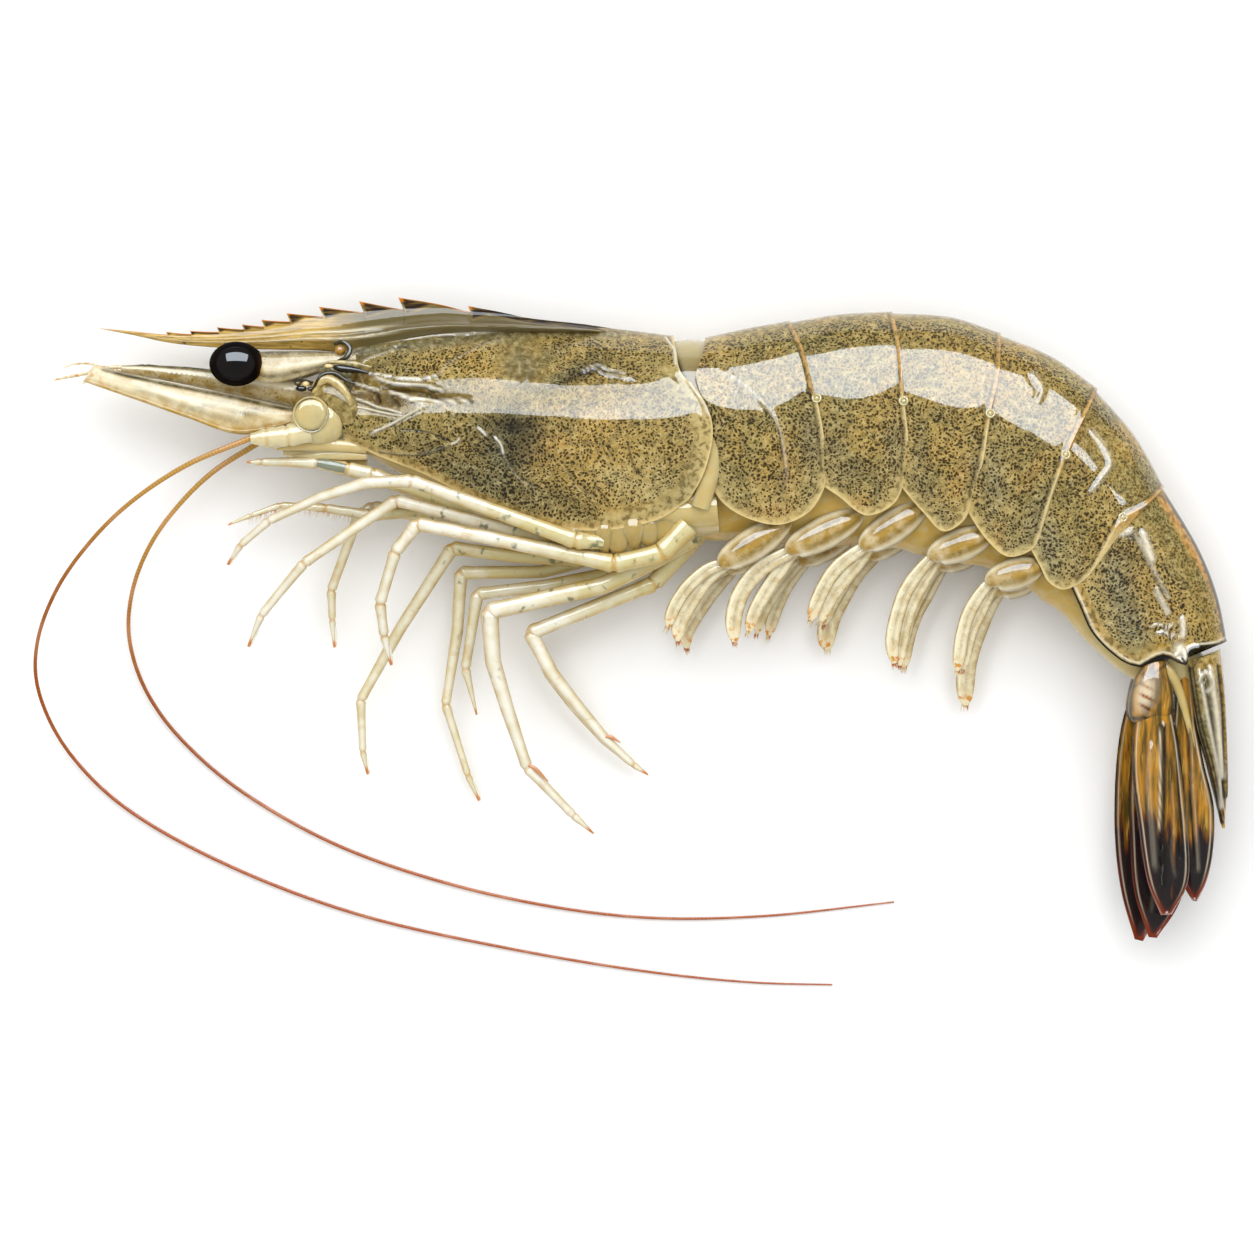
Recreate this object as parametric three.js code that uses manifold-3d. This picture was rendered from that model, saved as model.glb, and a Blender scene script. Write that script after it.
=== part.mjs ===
// A raw whiteleg shrimp, whole and head-on, lying on its right side.
//
// Units are millimetres. The plane that halves the animal lies level: +X runs from head to tail,
// +Y from belly to back, and +Z from the right side, which lies on the table, to the left side.
// The origin is on the table, in the flat that the rear of the carapace rests on.
//
// "Near" pieces belong to the left side, which faces up, and "far" pieces to the right side.
// Outlines are given in the halving plane, as [x, y]; half-widths are measured across it.

import * as THREE from "three";
import { mergeVertices } from "three/addons/utils/BufferGeometryUtils.js";
import Module from "manifold-3d";

const wasm = await Module();
wasm.setup();

// ---- Driving dimensions -------------------------------------------------------------------

const MID_Z = 7.3; // height of the halving plane above the table
const GAP = 0.3; // room left between pieces that meet
const CROWN = 0.42; // share of the body's depth that the round of the back takes
const BELLY_TAPER = 0.28; // how much narrower the body is at its lower edge than at its widest
const TILE_STEP = 0.22; // how far each ring's rear edge stands out over the next ring

const RINGS_ALONG = 6; // steps along an abdomen ring
const CROWN_STEPS = 4; // steps round the back, on each side
const SIDE_STEPS = 4; // steps down each side

const CHANNEL_HALF_WIDTH = 4.8; // the hollow between the left and right flaps of the abdomen
const KEEL_HALF_WIDTH = 2.6; // the fleshy underside that runs along that hollow

// The carapace: its edges, from head to tail and from back to belly.
const CARAPACE = {
  back: [[-33.4, 9.2], [-30.8, 10.3], [-26.5, 11.1], [-20.6, 11.8], [-13, 11.7], [-5.4, 11.1], [2.5, 10.2]],
  rear: [[2.5, 10.2], [3.3, 6], [5.1, 4], [6.4, 1.5], [6.7, -0.4], [6.3, -3], [5.4, -5.5], [4.1, -7.6]],
  belly: [[-32.8, -1.2], [-28.3, -3.2], [-24.5, -4.8], [-15.7, -8.8], [-10.9, -10.4], [-6.5, -10.9], [-2.2, -10.5],
    [1.3, -9.5], [4.1, -7.6]],
  front: [[-33.4, 9.2], [-32.5, 8], [-31.5, 6.3], [-32.2, 3.8], [-33.2, 0.5], [-32.8, -1.2]],
  halfWidths: [4.4, 5.9, 6.8, 7.3, 7.6, 7.7],
  along: 12,
};

// The pale joint skin that shows behind the carapace, at the top.
const NECK = {
  back: [[2.9, 9.7], [4.3, 9.9], [5.8, 9.7]],
  rear: [[5.8, 9.7], [5.6, 7.9], [5, 6.3], [4.6, 5.4]],
  belly: [[4.5, 5.4], [4.6, 5.4]],
  front: [[2.9, 9.7], [3.4, 7.8], [3.9, 6.3], [4.5, 5.4]],
  halfWidths: [7.2, 7.2],
  along: 3,
  depth: 0.25,
};

const FIRST_RING_FRONT = [[6.2, 10.1], [5.9, 7.9], [5.3, 5.7], [6.8, 2.4], [7.15, -0.3], [6.85, -2.7], [6.5, -3.9]];

// The six rings of the abdomen. Each starts a gap behind the rear edge of the one before it.
const RINGS = [
  {
    back: [[10.3, 10.9]],
    rear: [[15, 11.8], [16.6, 8], [17.4, 4.5], [17.9, 2.7], [18.5, -1.1], [18.8, -4.3]],
    belly: [[6.8, -6.6], [9, -8.9], [13.7, -10.3], [17, -8.9], [18.5, -6.5]],
    halfWidths: [7.35, 7.6, 7.65],
  },
  {
    back: [[20.5, 12.5]],
    rear: [[26.1, 12.8], [26.8, 8.6], [27, 4.9], [27.1, 2.9], [27.5, -0.5], [27.4, -4.5]],
    belly: [[20.1, -7.2], [23.2, -9.3], [26.2, -7.9]],
    halfWidths: [7.55, 7.7, 7.6],
  },
  {
    back: [[32.4, 12.2]],
    rear: [[37.8, 10.5], [37.3, 5.4], [36.4, 1.6], [35.7, -2.7], [34.7, -7.1]],
    belly: [[29.2, -8.9], [31.5, -11], [33.5, -9.9]],
    halfWidths: [7.5, 7.55, 7.3],
  },
  {
    back: [[43.4, 7.9]],
    rear: [[48.3, 4.5], [46.4, 0.9], [44.6, -2.8], [42.9, -7.3], [41.5, -12.1]],
    belly: [[36.1, -11.9], [38.4, -13.7], [40.6, -13.1]],
    halfWidths: [7.2, 7, 6.6],
  },
  {
    back: [[52.3, -0.6]],
    rear: [[55.5, -6.2], [52.7, -8.6], [50.8, -9.7], [48.9, -12.5], [47.5, -15.1], [46.3, -16.4]],
    belly: [[41.8, -14.6], [42.8, -16.4], [44.3, -17.2]],
    halfWidths: [6.5, 6.1, 5.5],
  },
  {
    back: [[59.4, -13.1], [61.3, -18]],
    rear: [[62.3, -22.8], [60.9, -23.3], [57.9, -23.8], [57.6, -25.3], [55.2, -24.3], [52.7, -25.5]],
    belly: [[46.2, -19.1], [47.4, -21.7], [49.2, -23.7], [51.2, -25.1]],
    halfWidths: [5.4, 4.7, 3.9],
  },
];

// The rostrum, a thin toothed blade in the halving plane. Each tooth leans forward.
const ROSTRUM = {
  tip: [-59.4, 11],
  teeth: [[-52.1, 10.6], [-49.5, 10.7], [-46.5, 11.1], [-43.8, 11.4], [-41.6, 11.9], [-38.8, 12.6], [-35.2, 13.3],
    [-30.8, 13.9], [-26.5, 14.3], [-19.3, 13.4]],
  toothDepths: [0.3, 0.35, 0.4, 0.5, 0.6, 0.75, 1, 1.25, 1.35, 1.1],
  crestEnd: [[-15.6, 12.5], [-12.5, 12], [-7, 11.45], [-1.5, 10.8]],
  root: [-20, 10.4],
  underside: [[-33, 8.4], [-36.4, 8.6], [-41.4, 8.7], [-47.4, 8.9], [-52.1, 9.4], [-55.6, 10.2]],
  thickness: 0.9,
  ridge: [[-58.6, 10.9, 0.2], [-50, 10.3, 0.42], [-42, 10.5, 0.55], [-34, 10.6, 0.8], [-29.5, 10.4, 1.1]],
};

// The eye and its stalk. "off" is the distance out from the halving plane.
const EYE = { at: [-44.5, 6.9], off: 4.6, radii: [2.85, 2.35, 2.4] };
const EYE_STALK = [[-33.9, 7.35, 2, 0.8, 0.8], [-36, 7.2, 2.5, 1.1, 1], [-39, 6.95, 3.4, 1.5, 1.3], [-42.4, 6.8, 4.3, 1.7, 1.5]];

// The first feeler of each side: a broad jointed stem and a fine whip. Stations in most of the
// lists below are [x, y, distance out, half-width in plan, half-thickness in height].
const ANTENNULE_STEM = [[-34.2, 3.6, 1.1, 0.9, 0.75], [-38, 3.8, 1.1, 1.05, 0.8], [-44, 4.8, 1.1, 1.05, 0.8],
  [-50, 5.75, 1.05, 0.9, 0.7], [-54.5, 6.3, 1, 0.6, 0.5], [-57, 6.55, 0.95, 0.35, 0.35]];
const ANTENNULE_WHIP = [[-56.6, 6.5, 0.95, 0.3, 0.3], [-60.5, 6.45, 0.9, 0.22, 0.22], [-64.4, 5.5, 0.8, 0.12, 0.12]];

// The scale of the second feeler, a long leaf beside the mouth.
const ANTENNAL_SCALE = {
  left: [[-39.1, 2.4], [-44.3, 3.6], [-50.8, 4.9], [-56, 6], [-59.6, 6.9]],
  right: [[-39.4, 0.6], [-44.5, -0.3], [-50.2, 1.4], [-55.3, 3.2], [-61.1, 5.1]],
  heights: [2.7, 2.6, 2.4, 2, 1.5],
  thickness: 0.55,
  arch: 0.8,
  across: 5,
};

// The base of the second feeler: a round body, a round segment on it, and the stem of the feeler.
const ANTENNA_BODY = { at: [-36.1, 0.9], off: 3.1, radii: [2.5, 2.6, 2.1] };
const ANTENNA_KNUCKLE = { at: [-36.6, 1.55], off: 4.1, radii: [1.95, 1.95, 1.7] };
const ANTENNA_STEM = [[-37.4, -0.3, 4.1, 1.1, 0.9], [-40.4, -0.8, 4.5, 1, 0.8], [-42.6, -1, 4.5, 0.75, 0.65]];

// The long second feelers, from the stem to the end, with the height above the table.
const FEELERS = {
  near: [[-42.97, -0.9, 11.5], [-50.04, -3.96, 10.4], [-56.34, -8.12, 8.8], [-60.84, -12.5, 6.9], [-64.31, -17.33, 5],
    [-66.44, -22.73, 3.3], [-66.63, -27.36, 2.1], [-64.5, -33, 1.1], [-60.3, -38.27, 0.5], [-54.9, -42.48, 0.3],
    [-44.85, -47.73, 0.28], [-31.95, -52.53, 0.26], [-15.76, -56.22, 0.24], [-0.19, -58.83, 0.22],
    [11.24, -60, 0.2], [19.9, -60.26, 0.18]],
  far: [[-42.97, -1.55, 3.1], [-47.47, -4.47, 3], [-51.32, -8.21, 2.6], [-54.28, -12.31, 2.1], [-56.21, -17.07, 1.5],
    [-56.72, -21.71, 1], [-55.69, -26.33, 0.6], [-53.25, -30.83, 0.4], [-49.2, -35.34, 0.3], [-43.8, -39.63, 0.28],
    [-34.2, -44.97, 0.26], [-22.5, -49.08, 0.24], [-10.04, -51.84, 0.23], [0.44, -52.98, 0.22],
    [12.51, -52.76, 0.2], [26.62, -51.24, 0.18]],
  radii: [0.4, 0.29, 0.26, 0.24, 0.22, 0.21, 0.2, 0.18, 0.13],
  steps: 45,
};

// Soft mouthparts below the feelers' bases.
const MOUTH = [[-33.4, -2.3, 0, 0.9, 3], [-35.4, -2.3, 0, 1, 2.8], [-37.6, -2.6, 0, 0.8, 2], [-39.4, -2.5, 0, 0.4, 1.2]];

// Jointed limbs, from the body to the tip, with the height above the table:
// [x, y, z, half-width in plan, half-thickness in height].
const MAXILLIPEDS = {
  near: [[-19, -8.8, 9.2, 0.7, 0.6], [-29.9, -4.9, 9.5, 0.75, 0.6], [-35.9, -3.75, 9.3, 0.55, 0.5],
    [-39.6, -3.6, 9, 0.45, 0.4], [-41.9, -3.5, 8.8, 0.4, 0.32], [-43.5, -3.5, 8.7, 0.12, 0.1]],
  far: [[-19, -8.4, 5.8, 0.6, 0.5], [-30.2, -9.2, 5.8, 0.6, 0.5], [-35.1, -8.4, 5.5, 0.45, 0.4],
    [-40, -8.1, 5.2, 0.35, 0.3], [-43.2, -9.2, 5, 0.25, 0.22], [-45.7, -10.2, 4.8, 0.1, 0.1]],
};

const LEGS = {
  near: [
    [[-5.1, -12.4, 12.4, 0.72, 0.5], [-8, -12, 13.2, 0.85, 0.55], [-25.6, -5.6, 13.3, 0.62, 0.55],
      [-30.6, -5.8, 12, 0.6, 0.5], [-35.5, -7.3, 10.4, 0.5, 0.45], [-41.1, -9.8, 8.4, 0.42, 0.4],
      [-44.2, -12.4, 6.9, 0.36, 0.35], [-45.7, -14.5, 6, 0.1, 0.1]],
    [[-1, -12, 10.4, 0.85, 0.65], [-4.2, -13.5, 10.4, 0.8, 0.6], [-16.2, -10.6, 10.4, 0.68, 0.6],
      [-27.3, -7.6, 10.6, 0.62, 0.55], [-37.3, -14.4, 8.8, 0.5, 0.45], [-39.7, -17.2, 7.6, 0.46, 0.42],
      [-42, -20, 6.6, 0.42, 0.38], [-43.5, -23.4, 5.6, 0.1, 0.1]],
    [[3.9, -10.9, 12, 1.15, 0.75], [1.2, -13.6, 12.1, 0.95, 0.75], [-3.9, -14.5, 12.1, 0.85, 0.7],
      [-17.7, -11.6, 12.1, 0.7, 0.6], [-25, -10.2, 11.8, 0.7, 0.6], [-27.4, -13.2, 11, 0.6, 0.55],
      [-29.1, -18.7, 9, 0.55, 0.5], [-28.7, -22.2, 7.6, 0.45, 0.4], [-28, -25.4, 6.6, 0.1, 0.1]],
    [[4.3, -11.9, 9.5, 1.1, 0.75], [-1.3, -15, 9.6, 0.92, 0.75], [-5.1, -16.8, 9.6, 0.92, 0.75],
      [-17.3, -19.6, 9.2, 0.88, 0.75], [-16.95, -25, 8, 0.85, 0.7], [-15.4, -30.2, 6.8, 0.7, 0.6],
      [-13.3, -36.5, 5.4, 0.55, 0.5], [-8.3, -41.7, 4, 0.42, 0.36], [-6.1, -43.7, 3.5, 0.1, 0.1]],
    [[5.1, -11.3, 7.4, 1, 0.65], [2.9, -13.9, 7.5, 0.85, 0.65], [0.4, -16.6, 7.5, 0.78, 0.65],
      [-12.9, -21.9, 7.2, 0.76, 0.65], [-10.6, -26.3, 6.5, 0.72, 0.6], [-7.9, -29.7, 5.8, 0.6, 0.55],
      [-4.8, -33.4, 5.2, 0.5, 0.48], [-1.8, -36.2, 4.6, 0.34, 0.3], [-0.2, -37.3, 4.4, 0.1, 0.1]],
  ],
  far: [
    [[-8.8, -12.3, 4.2, 0.7, 0.5], [-11.6, -12.4, 4.2, 0.65, 0.5], [-30, -8.2, 4.1, 0.6, 0.5],
      [-31.6, -9.2, 4, 0.55, 0.5], [-34.6, -17.3, 3, 0.45, 0.42], [-34.5, -20.5, 2.6, 0.35, 0.32],
      [-34.3, -23.5, 2.3, 0.1, 0.1]],
    [[-5.6, -12.9, 5.4, 0.75, 0.55], [-7.4, -14.1, 5.4, 0.7, 0.55], [-14.9, -13.6, 5.4, 0.68, 0.55],
      [-21.4, -12.7, 5.2, 0.66, 0.55], [-27.1, -21.5, 4, 0.6, 0.5], [-31.4, -29.2, 2.9, 0.48, 0.45], [-31.2, -34.8, 2.1, 0.35, 0.32],
      [-30.7, -37.3, 1.8, 0.1, 0.1]],
    [[-4.2, -12.7, 3.5, 0.75, 0.5], [-8.1, -14.4, 3.5, 0.7, 0.5], [-11.8, -15.3, 3.5, 0.66, 0.5],
      [-20.5, -15.4, 3.6, 0.62, 0.5], [-20.9, -21.8, 2.9, 0.6, 0.5], [-22.2, -29.7, 2.2, 0.45, 0.42], [-19.8, -37.4, 1.3, 0.33, 0.3],
      [-18.6, -40.2, 1, 0.1, 0.1]],
    [[0.6, -12.8, 4.6, 0.8, 0.55], [0, -14.6, 4.6, 0.72, 0.55], [-11.1, -16.8, 4.6, 0.66, 0.55],
      [-18.7, -17.7, 4.5, 0.62, 0.55], [-20, -25.8, 3.6, 0.45, 0.42], [-18.8, -30.8, 3, 0.1, 0.1]],
    [[4.2, -12, 3, 0.9, 0.55], [2.4, -14.1, 3, 0.8, 0.55], [0.1, -16.7, 3, 0.72, 0.55],
      [-13.2, -21.9, 2.9, 0.7, 0.55], [-11.7, -26.7, 2.5, 0.65, 0.5], [-9, -30.1, 2.1, 0.55, 0.45],
      [-5.3, -33.8, 1.7, 0.45, 0.42], [-2.4, -36, 1.4, 0.3, 0.28], [-1, -37, 1.3, 0.1, 0.1]],
  ],
};

// Swimmerets: a stout base from "from" to "joint", and leaves that hang from the joint.
// The leaves are [x, y] paths with a half-width; near ones lie out from the halving plane.
const SWIMMERET_OFF = 3.4;
const SWIMMERET_BASE = [1.15, 1.3, 1];
const LEAF_ROOT = 0.18; // how far into its base a leaf is rooted, as a share of the base's length
const SWIMMERETS = {
  near: [
    { from: [13.9, -10.5], joint: [8.1, -14.3], leaves: [
      [0.5, [[8, -14.4], [6.4, -15], [4.1, -16.9], [2.6, -19.2], [1.9, -21.3]]],
      [0.7, [[8.3, -14.4], [6.2, -16], [4.4, -18.6], [3.1, -21.2], [3, -22.8]]]] },
    { from: [21.7, -9.6], joint: [15.4, -12.9], leaves: [
      [0.85, [[15.2, -13.1], [11.9, -15], [9.8, -17.6], [9, -20.4], [9.1, -22.9]]],
      [0.7, [[15.6, -13.1], [13, -16.6], [11.3, -19.6], [10.6, -21.8]]]] },
    { from: [28.7, -8.7], joint: [23.3, -12.4], leaves: [
      [0.65, [[23.1, -12.6], [20, -15], [18.2, -18], [17.3, -20.6]]],
      [0.6, [[23.6, -12.8], [21.4, -15.6], [19.4, -18.2], [18.4, -20.6]]]] },
    { from: [35.9, -11.4], joint: [30.7, -13.6], leaves: [
      [0.65, [[30.4, -13.8], [27.7, -17.1], [26.6, -20.1], [26.1, -22.9], [26.3, -25.2]]],
      [0.6, [[31, -14], [29, -17.2], [27.7, -20.1], [27.1, -22.9], [26.9, -25.4]]]] },
    { from: [41.3, -14.9], joint: [36.9, -16.3], leaves: [
      [0.6, [[36.5, -16.6], [34.5, -19.4], [33.7, -21.8], [33.3, -24.3], [33.1, -26]]],
      [0.6, [[37.1, -16.8], [35.6, -19.6], [34.5, -22.1], [33.7, -25.8]]]] },
  ],
  far: [
    { from: [14.3, -10.9], joint: [8.9, -14.9], leaves: [
      [0.5, [[8.7, -15], [6.8, -16], [4.9, -18], [3.5, -20.4], [2.9, -21.8]]],
      [0.75, [[9.1, -15], [7.2, -17], [5.3, -19.6], [4, -22], [4, -23.6]]]] },
    { from: [22.3, -10], joint: [16.8, -14], leaves: [
      [0.6, [[16.5, -14.1], [14, -17], [12.2, -20], [11.6, -22]]],
      [0.65, [[17, -14.1], [15, -16.6], [13.6, -19.6], [12.9, -22.2]]]] },
    { from: [29.3, -9.1], joint: [24.1, -13.4], leaves: [
      [0.6, [[23.7, -13.5], [21.4, -16.2], [19.8, -19], [19, -21]]],
      [1.1, [[24.1, -13.6], [22.2, -15.5], [20.7, -18], [19.6, -20.3], [19.2, -22.4], [19.3, -23.8]]]] },
    { from: [36.5, -11.8], joint: [31.6, -14.6], leaves: [
      [0.6, [[31.3, -14.8], [29.4, -17.8], [28.2, -20.6], [27.4, -24]]],
      [0.65, [[31.8, -14.9], [30.1, -17.8], [28.9, -20], [28, -22.9], [27.7, -25.7]]]] },
    { from: [41.9, -15.3], joint: [37.8, -17.3], leaves: [
      [0.6, [[37.3, -17.5], [35.6, -20], [34.6, -22.6], [34.1, -25]]],
      [1, [[37.8, -17.5], [36.6, -19.4], [35.3, -22.4], [34.5, -25.2], [34.3, -27.5], [34.3, -29.8]]]] },
  ],
};

// The tail: the pointed telson in the middle, with two pairs of blades that are folded together.
const TELSON = {
  back: [[61.6, -24], [62.1, -28.3], [62.3, -36], [62.2, -40], [62, -42.9]],
  belly: [[58.4, -25.4], [59.2, -32], [60.2, -35.7], [61.3, -40.4], [61.9, -42.9]],
  front: [[61.6, -24], [60, -24.5], [58.4, -25.4]],
  rear: [[62, -42.9], [61.9, -42.9]],
  halfWidths: [2.7, 2.6, 2.2, 1.5, 0.35],
  along: 5,
};
const TAIL_JOINT = [[54.4, -26.3, 2.35, 1.7, 1.3], [54.2, -28.4, 2.4, 2.5, 1.4], [54.2, -30.6, 2.3, 2.6, 1.1],
  [54.25, -31.2, 2.2, 2.2, 0.8]];
const TAIL_BLADES = {
  tail_outer_blade_near: {
    left: [[51.9, -31.9], [51.9, -36], [52.5, -41.9], [53.6, -48.8], [55, -52.2]],
    right: [[56.7, -31.9], [57.3, -37], [57.9, -43.2], [57.9, -48.8], [56.2, -52.1]],
    heights: [2.3, 2.6, 2.6, 2.4, 2.2], thickness: 0.6, arch: 0.55, sign: 1,
  },
  tail_inner_blade_near: {
    left: [[57.2, -27.8], [56.3, -32.2], [55.2, -37], [55.6, -44], [57.7, -49.4], [58.4, -50.8]],
    right: [[57.9, -27.2], [58.8, -31.6], [59.8, -36.2], [60.8, -40.6], [60.7, -45.6], [60, -48.8], [59, -50.9]],
    heights: [0.6, 0.7, 0.9, 0.9, 0.8], thickness: 0.5, arch: 0.4, sign: 1,
  },
  tail_inner_blade_far: {
    left: [[52.4, -32], [51.8, -38], [51.9, -44], [52.4, -50], [53.9, -54.8]],
    right: [[57, -32.2], [58.6, -38], [58.8, -45], [57.2, -51.2], [54.8, -54.9]],
    heights: [0.9, 0.9, 0.9, 0.8], thickness: 0.5, arch: 0.4, sign: -1,
  },
  tail_outer_blade_far: {
    left: [[51.2, -32], [50.4, -38.2], [50.5, -44.4], [51.1, -50.1], [52.5, -55.1]],
    right: [[56, -32], [56.6, -38], [56.4, -45], [55.6, -51], [53.4, -55.3]],
    heights: [2.3, 2.6, 2.6, 2.4, 2.2], thickness: 0.6, arch: 0.55, sign: -1,
  },
};

// ---- Plain geometry helpers ---------------------------------------------------------------

const lerp = (a, b, t) => a + (b - a) * t;

/** Reads a list of values as a function of t, from 0 to 1, with straight runs between them. */
function readList(values, t) {
  const place = t * (values.length - 1);
  const index = Math.min(Math.floor(place), values.length - 2);
  return lerp(values[index], values[index + 1], place - index);
}

/** A smooth plane curve through [x, y] points, read by its length from 0 to 1. */
function planCurve(points) {
  const curve = new THREE.CatmullRomCurve3(points.map(([x, y]) => new THREE.Vector3(x, y, 0)), false, "centripetal");
  return (t) => curve.getPointAt(Math.min(Math.max(t, 0), 1));
}

/** The points of an edge, moved a distance to the side that faces the tail. */
function movedBack(points, distance) {
  return points.map(([x, y], i) => {
    const [ax, ay] = points[Math.max(i - 1, 0)];
    const [bx, by] = points[Math.min(i + 1, points.length - 1)];
    const length = Math.hypot(bx - ax, by - ay);
    return [x - ((by - ay) / length) * distance, y + ((bx - ax) / length) * distance];
  });
}

/** A closed, outward-facing geometry from corner points and triangles. */
function closed(points, triangles) {
  const volume = triangles.reduce((sum, [a, b, c]) => sum + points[a].dot(points[b].clone().cross(points[c])), 0);
  const faces = volume < 0 ? triangles.map(([a, b, c]) => [a, c, b]) : triangles;
  const geometry = new THREE.BufferGeometry();
  geometry.setAttribute("position", new THREE.Float32BufferAttribute(points.flatMap((p) => [p.x, p.y, p.z]), 3));
  return geometry.setIndex(faces.flat());
}

/** Triangles between successive rings of n points. */
function sleeve(count, n) {
  const faces = [];
  for (let ring = 0; ring < count - 1; ring += 1) {
    for (let k = 0; k < n; k += 1) {
      const [a, b] = [ring * n + k, ring * n + ((k + 1) % n)];
      faces.push([a, b, b + n], [a, b + n, a + n]);
    }
  }
  return faces;
}

/** Rings joined into a body whose ends are closed by strips between mirrored points of the ring. */
function stripEnded(rings) {
  const n = rings[0].length;
  const faces = sleeve(rings.length, n);
  for (const [start, outward] of [[0, false], [(rings.length - 1) * n, true]]) {
    for (let k = 0; k < Math.floor((n - 1) / 2); k += 1) {
      const [a, b, c, d] = [k, k + 1, n - 1 - k, (n - k) % n].map((index) => start + index);
      const pair = k === 0 ? [[a, b, c]] : [[a, b, c], [a, c, d]];
      faces.push(...pair.map(([p, q, r]) => (outward ? [p, r, q] : [p, q, r])).map(([p, q, r]) => [r, q, p]));
    }
  }
  return closed(rings.flat(), faces);
}

/** Rings joined into a body whose ends are closed by fans to a middle point. */
function fanEnded(rings) {
  const n = rings[0].length;
  const points = rings.flat();
  const faces = sleeve(rings.length, n);
  for (const start of [0, (rings.length - 1) * n]) {
    const middle = points.length;
    const ring = points.slice(start, start + n);
    points.push(ring.reduce((sum, p) => sum.add(p), new THREE.Vector3()).divideScalar(n));
    for (let k = 0; k < n; k += 1) {
      const [a, b] = [start + k, start + ((k + 1) % n)];
      faces.push(start === 0 ? [middle, b, a] : [middle, a, b]);
    }
  }
  return closed(points, faces);
}

// ---- Solids -------------------------------------------------------------------------------

/** A geometry as a solid that can be joined and cut. */
function solid(geometry) {
  const bare = geometry.index ? geometry.toNonIndexed() : geometry.clone();
  const onlyPlaces = new THREE.BufferGeometry().setAttribute("position", bare.getAttribute("position"));
  const merged = mergeVertices(onlyPlaces, 1e-4);
  return new wasm.Manifold(new wasm.Mesh({
    numProp: 3,
    vertProperties: new Float32Array(merged.getAttribute("position").array),
    triVerts: new Uint32Array(merged.index.array),
  }));
}

const joined = (...solids) => solids.reduce((all, one) => all.add(one));
const cutBy = (body, ...cutters) => cutters.reduce((rest, cutter) => rest.subtract(cutter), body);

/** The largest piece of a solid, without the scraps that cutting leaves. */
function largest(body) {
  return body.decompose().reduce((best, one) => (one.volume() > best.volume() ? one : best));
}

/** A solid's surface as a three.js geometry. */
function geometryOf(body) {
  const mesh = body.getMesh();
  const places = new Float32Array(mesh.numVert * 3);
  for (let i = 0; i < mesh.numVert; i += 1) {
    places.set(mesh.vertProperties.subarray(i * mesh.numProp, i * mesh.numProp + 3), i * 3);
  }
  const geometry = new THREE.BufferGeometry().setAttribute("position", new THREE.BufferAttribute(places, 3));
  return geometry.setIndex(new THREE.BufferAttribute(new Uint32Array(mesh.triVerts), 1));
}

/** Share of the full half-width at a depth below the back, from 0 to 1. */
function sideShare(depth) {
  if (depth < CROWN) return Math.sqrt(1 - (1 - depth / CROWN) ** 2);
  return 1 - BELLY_TAPER * ((depth - CROWN) / (1 - CROWN)) ** 2;
}

/** The depths at which a plate has points, closer together over the back. */
const DEPTHS = [
  ...Array.from({ length: CROWN_STEPS }, (_, k) => CROWN * (1 - Math.cos((Math.PI / 2) * (k / CROWN_STEPS)))),
  ...Array.from({ length: SIDE_STEPS + 1 }, (_, k) => lerp(CROWN, 1, k / SIDE_STEPS)),
];

/** A piece of the body between four edges, whole from the left side to the right. */
function plate({ back, belly, front, rear, halfWidths, along = RINGS_ALONG, depth = 1, flare = 0 }) {
  const [backAt, bellyAt, frontAt, rearAt] = [back, belly, front, rear].map(planCurve);
  const place = (t, w) => {
    const across = frontAt(w).lerp(rearAt(w), t);
    const down = backAt(t).lerp(bellyAt(t), w);
    const corners = backAt(0).lerp(backAt(1), t).lerp(bellyAt(0).lerp(bellyAt(1), t), w);
    return across.add(down).sub(corners);
  };
  const rings = [];
  for (let i = 0; i <= along; i += 1) {
    const t = i / along;
    const full = readList(halfWidths, t) + lerp(-flare, flare, t);
    const side = (w, sign) => {
      const { x, y } = place(t, w);
      return new THREE.Vector3(x, y, Math.max(0, MID_Z + sign * full * sideShare(w * depth)));
    };
    const near = DEPTHS.slice(1).map((w) => side(w, 1));
    const far = DEPTHS.slice(1).map((w) => side(w, -1)).reverse();
    rings.push([side(0, 1), ...near, ...far]);
  }
  return solid(stripEnded(rings));
}

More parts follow.
